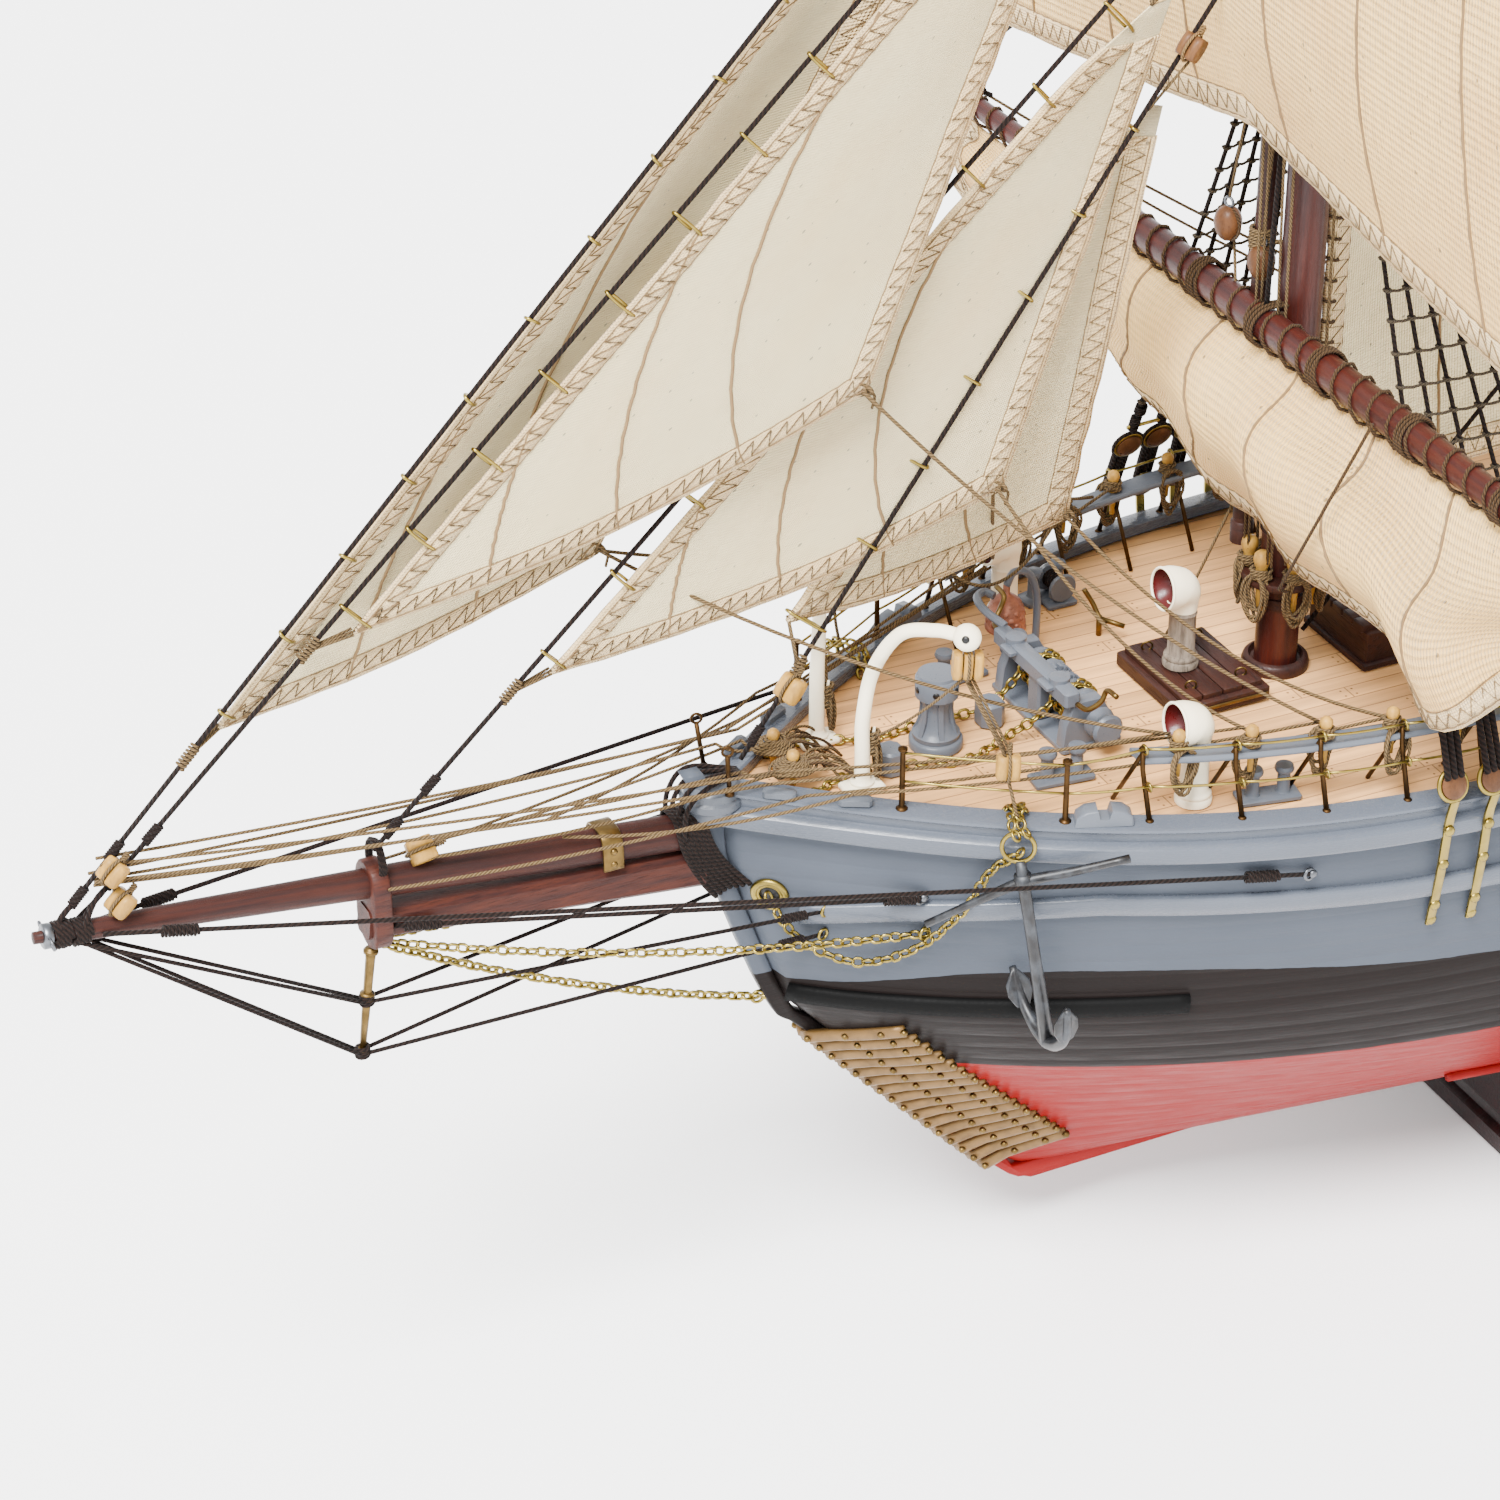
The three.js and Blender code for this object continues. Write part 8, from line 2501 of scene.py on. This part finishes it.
def make_lifeboats():
    for side, sign in SIDES:
        boat, cover, ropes, davits = Shape(), Shape(), Shape(), Shape()
        centre = vec(BOAT_X, sign * BOAT_Y, BOAT_Z)
        levels = ((0, -5.5), (0.3, -5.2), (0.62, -4.4), (0.82, -3.0), (0.95, -1.0), (1.0, 0.6), (1.02, 2.0),
                  (0.98, 2.35))
        rows = []
        for f in np.linspace(-1, 1, 41):
            full = max(0.05, boat_width(f))
            rise = 2.4 * f ** 2
            right = [(f * BOAT_LONG, BOAT_WIDE * full * y + (0.14 if k % 2 else 0) * full,
                      z * mix(0.6, 1, full) + rise)
                     for k, (y, z) in enumerate(levels)]
            left = [(a, -b, c) for a, b, c in right[:0:-1]]
            rows.append([centre + vec(*p) for p in right + left])
        boat.grid(rows)
        rows = []
        for f in np.linspace(-0.985, 0.985, 41):
            full = max(0.05, boat_width(f))
            rise = 2.4 * f ** 2
            section = []
            for y, z in ((-1.04, 1.1), (-1.04, 2.3), (-0.8, 3.0), (-0.45, 3.8), (0, 4.5), (0.45, 3.8),
                         (0.8, 3.0), (1.04, 2.3), (1.04, 1.1), (0.5, 1.0), (-0.5, 1.0)):
                droop = 0.25 * math.sin(f * 40) * (1 - abs(y))
                section.append(centre + vec(f * BOAT_LONG, (BOAT_WIDE + 0.05) * full * y,
                                            (z - droop) * mix(0.6, 1, full) + rise))
            rows.append(section[::-1])
        cover.grid(rows)
        # Rope looped round the cover's edge, and keel, chocks and gripes.
        path = []
        for k in range(73):
            f = mix(-0.95, 0.95, k / 72)
            full = boat_width(f)
            path.append(centre + vec(f * BOAT_LONG, (BOAT_WIDE + 0.5) * full,
                                     0.6 + 1.5 * (k % 2) + 2.4 * f ** 2))
        ropes.tube(path, 0.26, 5)
        ropes.tube([centre + (p - centre) * vec(1, -1, 1) for p in path], 0.26, 5)
        boat.box(centre + vec(-22, -0.5, -6.3), centre + vec(22, 0.5, -5.0), 0.25)
        for dx in (-15, 15):
            base = centre + vec(dx, 0, 0)
            deck = deck_top(base[0])
            davits.box((base[0] - 1.2, base[1] - 7.5, CHOCK_Z), (base[0] + 1.2, base[1] + 7.5, CHOCK_Z + 2),
                       0.3)
            for dy in (-6, 6):
                davits.tube([(base[0], base[1] + dy, deck), (base[0], base[1] + dy, 142.6)], 0.8, 8)
                davits.turned(((1.6, 0), (1.5, 0.6), (0.9, 1)), 10, (base[0], base[1] + dy, deck + 0.05))
            gripe = [base + vec(0.3 * math.sin(g), 8.7 * math.cos(g), 0.8 + 5.4 * math.sin(g))
                     for g in np.linspace(0.02, math.pi - 0.02, 17)]
            ropes.tube(gripe, 0.4, 6)
        for dx in (-22.5, 22.5):
            x = BOAT_X + dx
            foot = vec(x, sign * 59.5, deck_top(x) + 2.4)
            path = smooth([foot, foot + vec(0, 0, 18), foot + vec(0, sign * 0.4, 30),
                           foot + vec(0, -sign * 3.5, 37),
                           foot + vec(0, -sign * 9.5, 40), foot + vec(0, -sign * 12.5, 39.6)], 6)
            davits.tube(path, np.interp(np.linspace(0, 1, len(path)), (0, 0.5, 1), (1.35, 1.2, 0.9)), 14)
            davits.turned(((2.2, 0), (2.0, 0.8), (1.4, 1.2)), 14, foot - vec(0, 0, 0.2))
            end = path[-1]
            davits.turned(ball(1.5, 8), 14, end)
            upper, lower = end + vec(0, 0, -4.4), vec(x, sign * BOAT_Y, 158.0)
            pulley(AFTER_BLOCKS, ropes, upper, (0, 0, 1), 4.6, double=True)
            pulley(AFTER_BLOCKS, ropes, lower, (0, 0, 1), 4.6, double=True)
            for d in (-0.8, 0, 0.8):
                ropes.tube([upper + vec(d, 0, -2), lower + vec(d, 0, 2)], 0.28, 5)
            ropes.tube([lower + vec(0, 0, -2), vec(x, sign * BOAT_Y, 153.6)], 0.4, 6)
            ropes.tube(sagging(upper, foot + vec(0, 0, 9), 1.2), 0.28, 5)
            windings(ropes, foot + vec(0, 0, 7), foot + vec(0, 0, 11), 1.7, 6, 0.3, 5)
        boat.make(f"lifeboat_{side}_hull", "white_paint", WHITE, replaces=[f"lifeboat_{side}"], flat=55)
        cover.make(f"lifeboat_{side}_cover", "sail_cotton", HEM)
        davits.make(f"boat_davits_{side}", "white_paint", WHITE, flat=50)
        ropes.make(f"boat_falls_{side}", "tan_rope", TAN_ROPE)


HELM_X, WHEEL_RADIUS = 236.0, 7.2


def make_wheel():
    x, z = HELM_X, deck_top(HELM_X) + GAP + 11
    stand, brass = Shape(), Shape()
    stand.box((x - 11, -4.5, z - 11), (x - 2.4, 4.5, z - 1.5), 0.4)
    stand.box((x - 11.6, -5.1, z - 11), (x - 1.9, 5.1, z - 9.6), 0.3)
    stand.turned(((0.001, -4.3), (4.3, -4.3), (4.5, -4.0), (4.5, 4.0), (4.3, 4.3), (0.001, 4.3)), 24,
                 (x - 6.7, 0, z - 1.5), (1, 0, 0))
    for dx in (-4.4, 0.0, 4.4):
        brass.turned(((4.5, -0.35), (4.72, -0.25), (4.72, 0.25), (4.5, 0.35)), 24,
                     (x - 6.7 + dx * 0.8, 0, z - 1.5), (1, 0, 0))
    brass.tube([(x - 4.5, 0, z), (x - 1.8, 0, z)], 0.8, 12)
    # Binnacle ahead of the wheel, and a grating to stand on.
    bx, bz = x - 26, deck_top(x - 26) + 0.2
    stand.turned(((3.6, 0), (3.6, 1.2), (2.6, 2.0), (2.2, 3.6), (2.2, 9.5), (3.2, 10.4), (3.3, 11.4),
                  (0.001, 11.5)), 8, (bx, 0, bz))
    steps = [(2.9 * math.cos(g), 11.4 + 3.6 * math.sin(g)) for g in np.linspace(0, math.pi / 2, 8)]
    brass.turned([*steps, (0.001, 15.2)], 24, (bx, 0, bz))
    for sign in (-1, 1):
        brass.turned(ball(1.3, 8), 14, (bx, sign * 4.2, bz + 9.4))
        brass.tube([(bx, sign * 2, bz + 9.4), (bx, sign * 4.2, bz + 9.4)], 0.4, 6)
    stand.make("wheel_box", "varnished_wood", VARNISH, replaces=["wheel_stand"], flat=40)
    brass.make("binnacle_and_wheel_brass", "brass", BRASS)
    grating = Shape()
    gz = deck_top(x + 6) + 0.1
    for k in range(7):
        grating.box((x + 3.4, -9 + 3 * k - 0.5, gz), (x + 15.5, -9 + 3 * k + 0.5, gz + 1.0), 0.15)
    for k in range(5):
        grating.box((x + 3.4 + 2.9 * k - 0.5, -9.6, gz + 0.5), (x + 3.4 + 2.9 * k + 0.5, 9.6, gz + 1.5), 0.15)
    grating.make("helm_grating", "varnished_wood", VARNISH, flat=40)
    wheel = Shape()
    wheel.tube([(x, WHEEL_RADIUS * math.cos(g), z + WHEEL_RADIUS * math.sin(g)) for g in around(40)], 0.75,
               10, loop=True)
    wheel.turned(((0.001, -1.5), (1.4, -1.5), (1.6, -1.0), (1.6, 1.0), (1.4, 1.5), (0.001, 1.6)), 18,
                 (x, 0, z), (1, 0, 0))
    for k in range(8):
        g = k * TAU / 8
        d = vec(0, math.cos(g), math.sin(g))
        wheel.turned(((0.45, 1.0), (0.42, 2.4), (0.62, 3.6), (0.42, 4.8), (0.42, 6.6), (0.42, 7.8),
                      (0.6, 8.3), (0.62, 9.3), (0.35, 9.9), (0.001, 10.0)), 8, (x, 0, z), d)
    wheel.make("steering_wheel_turned", "varnished_wood", MAST, body="steering_wheel_body",
               replaces=["steering_wheel"])
    rim = Shape()
    for dx in (-0.72, 0.72):
        rim.tube([(x + dx, WHEEL_RADIUS * math.cos(g), z + WHEEL_RADIUS * math.sin(g)) for g in around(40)],
                 0.22, 6, loop=True)
    rim.turned(((0.9, 1.5), (0.9, 1.9), (0.001, 2.1)), 16, (x, 0, z), (1, 0, 0))
    rim.make("steering_wheel_brass", "brass", BRASS, body="steering_wheel_body")


def make_stern():
    hinge = 258.6
    blade = Shape()
    outline = [(0, 17), (8, 17.4), (14, 18.3), (15.6, 22), (16.4, 32), (16.5, 42), (15.6, 54), (13.8, 66),
               (10, 76), (6, 84), (0, 86)]
    plate_xz(blade, [(hinge + a, b) for a, b in outline], 1.5, 0.5)
    blade.tube([(hinge, 0, 17), (hinge, 0, 50), (hinge, 0, 87)], 1.6, 16)
    blade.make("rudder_blade", "hull_paint", HULL, body="rudder_body", replaces=["rudder"], flat=45)
    straps, gudgeons = Shape(), Shape()
    for z in (25, 47, 68):
        for sign in (-1, 1):
            straps.box((hinge + 1.2, sign * 1.75 - 0.25, z - 1.0),
                       (hinge + 11.5, sign * 1.75 + 0.25, z + 1.0), 0.12)
            for dx in (3.4, 6.6, 9.8):
                nail(straps, (hinge + dx, sign * 1.95, z), (0, sign, 0), 0.5)
            gudgeons.box((244.5, sign * 2.05 - 0.25, z - 3.6), (255.2, sign * 2.05 + 0.25, z - 1.8), 0.12)
        straps.turned(((1.6, -1.0), (2.0, -0.9), (2.0, 0.9), (1.6, 1.0)), 18, (hinge, 0, z))
        gudgeons.turned(((1.65, -0.8), (2.0, -0.7), (2.0, 0.7), (1.65, 0.8)), 18, (hinge, 0, z - 2.7))
    straps.make("rudder_pintle_straps", "brass", BRASS, body="rudder_body", flat=45)
    gudgeons.make("rudder_gudgeons", "brass", OLD_BRASS, flat=45)

    prop = Shape()
    at = vec(244.5, 0, 42)
    prop.turned(((0.001, -4.2), (1.5, -4.0), (1.7, -3.6), (2.5, 0), (2.6, 3.0), (2.2, 4.0), (1.2, 5.6),
                 (0.001, 6.2)), 24, at, (1, 0, 0))
    for i in range(4):
        rows = []
        for f in np.linspace(0, 1, 13):
            v = mix(1.8, 12.4, f)
            wide = along(((0, 1.5), (0.25, 2.9), (0.5, 3.5), (0.75, 3.1), (0.92, 1.8), (1, 0.5)), f)
            pitch = 0.9 + 0.35 * (0.5 - f)
            section = []
            for u, d in ((-1, 0), (-0.5, 0.42), (0, 0.55), (0.5, 0.42), (1, 0), (0.5, -0.42), (0, -0.5),
                         (-0.5, -0.42)):
                a, b = u * wide, d * mix(1.3, 0.7, f)
                section.append((a * math.cos(pitch) - b * math.sin(pitch),
                                a * math.sin(pitch) + b * math.cos(pitch), v))
            g = i * math.pi / 2
            rows.append([at + vec(p[0], p[1] * math.cos(g) - p[2] * math.sin(g),
                                  p[1] * math.sin(g) + p[2] * math.cos(g)) for p in section])
        prop.grid(rows)
    prop.make("propeller_cast", "brass", BRASS, body="propeller_body", replaces=["propeller"], flat=60)


CRADLES = (("stand_cradle_fore", -132.0), ("stand_cradle_aft", 128.0))
STAND_BOX = (-138, 150, 62)  # both ends of the stand's board, and half its width


def make_stand():
    base = Shape()
    x0, x1, half = STAND_BOX
    rows = []
    for z, inset in ((0, 0.5), (0.6, 0), (4.6, 0), (5.0, 0.5), (5.4, 1.9), (6.2, 2.6), (7.5, 2.9),
                     (8.0, 3.4)):
        rows.append(round_corners(x0 + inset, x1 - inset, half - inset, 5.0, 7, z))
    base.grid(rows)
    base.make("stand_board", "stand_mahogany", STAND, replaces=["stand_base"], flat=30)
    for name, x in CRADLES:
        cradle = Shape()
        zs = np.linspace(18.6, 55.5, 30)
        rows = []
        for dx, soft in ((-4.5, 0.45), (-4.05, 0.0), (4.05, 0.0), (4.5, 0.45)):
            def hull_y(z, px=x + dx):
                w = clamp01((z - KEEL_TOP) / 30)
                return half_breadth(px, z) + 0.55 + soft * w
            curve = []
            for z in zs:
                y = hull_y(z)
                edge = along(((8.35, 52), (14.35, 52), (56.35, 47), (60.35, 39)), z) - soft * 0.5
                if y >= edge:
                    curve.append((edge, z))
                    break
                curve.append((y, z))
            while len(curve) < 30:
                curve.append(curve[-1])
            top_y, top_z = curve[-1]
            right = [(52 - soft * 0.5, 8.35 + soft * 0.4), (52 - soft * 0.5, 14.35), (top_y, top_z - 0.01)]
            right += curve[::-1]
            right += [(2.2 + soft * 0.3, 18.0), (2.2 + soft * 0.3, 15.5)]
            rows.append([(x + dx, y, z) for y, z in right] + [(x + dx, -y, z) for y, z in right[::-1]])
        cradle.grid(rows)
        cradle.make(f"{name}_shaped", "stand_mahogany", STAND, replaces=[name], flat=30)
    pads = Shape()
    for _, x in CRADLES:
        for _, sign in SIDES:
            rows = []
            for f in np.linspace(0, 1, 18):
                z = mix(22, 44, f)
                p = vec(x, half_breadth(x, z), z)
                q = vec(x, half_breadth(x, z + 1), z + 1)
                t = unit(q - p)
                n = vec(0, t[2], -t[1])
                rows.append([vec(x + a, sign * (p[1] + n[1] * b), p[2] + n[2] * b) for a, b in
                             ((-4.2, 0.12), (4.2, 0.12), (4.3, 0.5), (-4.3, 0.5))])
            pads.grid(facing(rows, sign < 0))
    pads.make("cradle_felt", "dark_rope", FELT)


BITT_HEAD = ((2.6, 0), (2.4, 0.6), (1.9, 1.2), (1.9, 6), (2.4, 6.6), (2.6, 7.4), (2.2, 8.2), (0.001, 8.6))


def make_waist():
    """Cargo hatch and winch between the masts, pin rails by the after masts, and stern gear."""
    planks, grey, brass = Shape(), Shape(), Shape()
    for x0, x1 in ((-118.0, -62.0), (160.0, 188.0)):
        z, half = min(deck_top(x0), deck_top(x1)), 17.0 if x0 < 0 else 13.0
        planks.box((x0, -half, z - 0.3), (x1, half, z + 5.0), 0.5)
        count = int((x1 - x0) / 6.6)
        for k in range(count):
            a, b = mix(x0 + 1.4, x1 - 1.4, k / count), mix(x0 + 1.4, x1 - 1.4, (k + 1) / count)
            planks.box((a + 0.15, 1.2 - half, z + 4.4), (b - 0.15, half - 1.2, z + 6.4), 0.3)
        for sign in (-1, 1):
            for k in range(5):
                x = mix(x0 + 5, x1 - 5, k / 4)
                brass.box((x - 0.8, sign * (half + 0.1) - 0.5, z + 1.6),
                          (x + 0.8, sign * (half + 0.1) + 0.5, z + 3.6), 0.2)
            brass.tube([(x0 + 2, sign * (half + 0.9), z + 2.6), (x1 - 2, sign * (half + 0.9), z + 2.6)], 0.45,
                       6)
    x, z = -46.0, deck_top(-46)
    for y in (-9.5, 9.5):
        outline = [(x - 5, z), (x + 5, z), (x + 4, z + 3), (x + 1.6, z + 9.5), (x - 1.6, z + 9.5),
                   (x - 4, z + 3)]
        rows = [[(a, y + d, b) for a, b in outline] for d in (1.0, -1.0)]
        grey.grid(rows)
    grey.turned(((0.001, -14), (2.6, -14), (2.9, -13.4), (2.2, -12), (2.6, -10.8), (1.0, -10.4), (1.0, -8),
                 (3.4, -7.6), (3.4, -6.8), (2.2, -6), (2.2, 6), (3.4, 6.8), (3.4, 7.6), (1.0, 8), (1.0, 10.4),
                 (2.6, 10.8), (2.2, 12), (2.9, 13.4), (2.6, 14), (0.001, 14)), 24, (x, 0, z + 6.2), (0, 1, 0))
    ropes = Shape()
    windings(ropes, (x, -5.6, z + 6.2), (x, 5.6, z + 6.2), 2.6, 14, 0.4, 6)
    for _, sign in SIDES:
        for x, y in ((252, 21), (262, 15)):
            grey.turned(BITT_HEAD, 18, (x, sign * y, deck_top(x) + 0.1))
    coil_woods = Shape()
    for mast_x in (0.0, 158.0):
        for _, sign in SIDES:
            for k in range(4):
                x = mast_x + 9 * k - 12
                y = half_breadth(x, DECK_EDGE) - 3.4
                belay(coil_woods, ropes, (x, sign * y, deck_top(x) + 5.4), seed=k + int(mast_x),
                      out=(0, -sign, 0))
            a, b = mast_x - 16, mast_x + 19
            rows = []
            for px in np.linspace(a, b, 8):
                y = half_breadth(px, DECK_EDGE) - 3.4
                rows.append([(px, sign * (y + p), deck_top(px) + 4.1 + q) for p, q in
                             ((-1.6, 0), (1.6, 0), (1.7, 0.3), (1.7, 1.0), (1.4, 1.25), (-1.4, 1.25),
                              (-1.7, 1.0), (-1.7, 0.3))])
            planks.grid(facing(rows, sign < 0))
            for px in (a + 2, mast_x, b - 2):
                y = half_breadth(px, DECK_EDGE) - 3.4
                planks.box((px - 1, sign * y - 1, deck_top(px) + 2.2),
                           (px + 1, sign * y + 1, deck_top(px) + 4.3), 0.25)
    planks.make("cargo_hatches_and_rails", "varnished_wood", HATCH, flat=40)
    brass.make("hatch_battens", "brass", OLD_BRASS, flat=40)
    grey.make("cargo_winch_and_bitts", "fitting_paint", GREY, flat=42)
    ropes.make("after_coils", "tan_rope", TAN_ROPE)
    coil_woods.make("after_pins", "boxwood", BOX)


AFTER_BLOCKS = Shape()
make_deckhouse()
make_funnel()
make_lifeboats()
make_wheel()
make_stern()
make_stand()
make_waist()
AFTER_BLOCKS.make("boat_blocks", "boxwood", BLOCK_WOOD, flat=45)


# ---------------------------------------------------------------- stage, light and camera
FLOOR_HALF = 40.0            # metres, far past the picture's edge
SKY_STRENGTH = 2.28
SUN_POWER, SUN_SPREAD = 12.0, 24  # watts per square metre, degrees
LAMPS = (("key", (-1.1, -0.35, 1.5), 0.9, 15.0),
         ("fill", (-0.5, -1.6, 0.8), 1.2, 6.5))  # name, place, size, watts


def make_stage():
    """Pale floor, white sky, a soft sun and two soft lamps."""
    mesh = bpy.data.meshes.new("floor")
    half = FLOOR_HALF
    mesh.from_pydata([(-half, -half, 0), (half, -half, 0), (half, half, 0), (-half, half, 0)], [],
                     [(0, 1, 2, 3)])
    material = bpy.data.materials.new("pale_floor")
    material.use_nodes = True
    shader = material.node_tree.nodes["Principled BSDF"]
    shader.inputs["Base Color"].default_value = (0.93, 0.93, 0.93, 1)
    shader.inputs["Roughness"].default_value = 0.85
    mesh.materials.append(material)
    floor = bpy.data.objects.new("floor", mesh)
    scene.collection.objects.link(floor)

    world = bpy.data.worlds.new("studio")
    scene.world = world
    world.use_nodes = True
    background = world.node_tree.nodes["Background"]
    background.inputs["Color"].default_value = (1.0, 1.0, 1.0, 1)
    background.inputs["Strength"].default_value = SKY_STRENGTH
    sun = bpy.data.lights.new("sun", "SUN")
    sun.energy, sun.angle = SUN_POWER, math.radians(SUN_SPREAD)
    lamp = bpy.data.objects.new("sun", sun)
    lamp.rotation_euler = Vector((0.5, 0.42, -1.0)).to_track_quat("-Z", "Y").to_euler()
    scene.collection.objects.link(lamp)
    for name, place, size, power in LAMPS:
        light = bpy.data.lights.new(name, "AREA")
        light.size, light.energy = size, power
        lamp = bpy.data.objects.new(name, light)
        lamp.location = place
        aim = Vector((-0.2, 0.0, 0.15)) - lamp.location
        lamp.rotation_euler = aim.to_track_quat("-Z", "Y").to_euler()
        scene.collection.objects.link(lamp)


# The photo's camera: aim point and distance in metres, turn and lift in degrees,
# lens and film in millimetres.
CAMERA_AIM, CAMERA_AWAY, CAMERA_TURN, CAMERA_LIFT = (-0.3075, 0.0, 0.1375), 0.85, -26.26, 31.80
CAMERA_LENS, CAMERA_FILM = 108.0, 36.0


def make_camera():
    camera = bpy.data.cameras.new("camera")
    camera.lens, camera.sensor_width = CAMERA_LENS, CAMERA_FILM
    camera.clip_start, camera.clip_end = 0.05, 100.0
    obj = bpy.data.objects.new("camera", camera)
    target = Vector(CAMERA_AIM)
    turn, lift, away = math.radians(CAMERA_TURN), math.radians(CAMERA_LIFT), CAMERA_AWAY
    back = Vector((math.sin(turn) * math.cos(lift) * -1, -math.cos(turn) * math.cos(lift), math.sin(lift)))
    back.x = -abs(back.x)  # seen from ahead of the bow
    obj.location = target + back * away
    obj.rotation_euler = (-back).to_track_quat("-Z", "Y").to_euler()
    scene.collection.objects.link(obj)
    scene.camera = obj


make_stage()
make_camera()
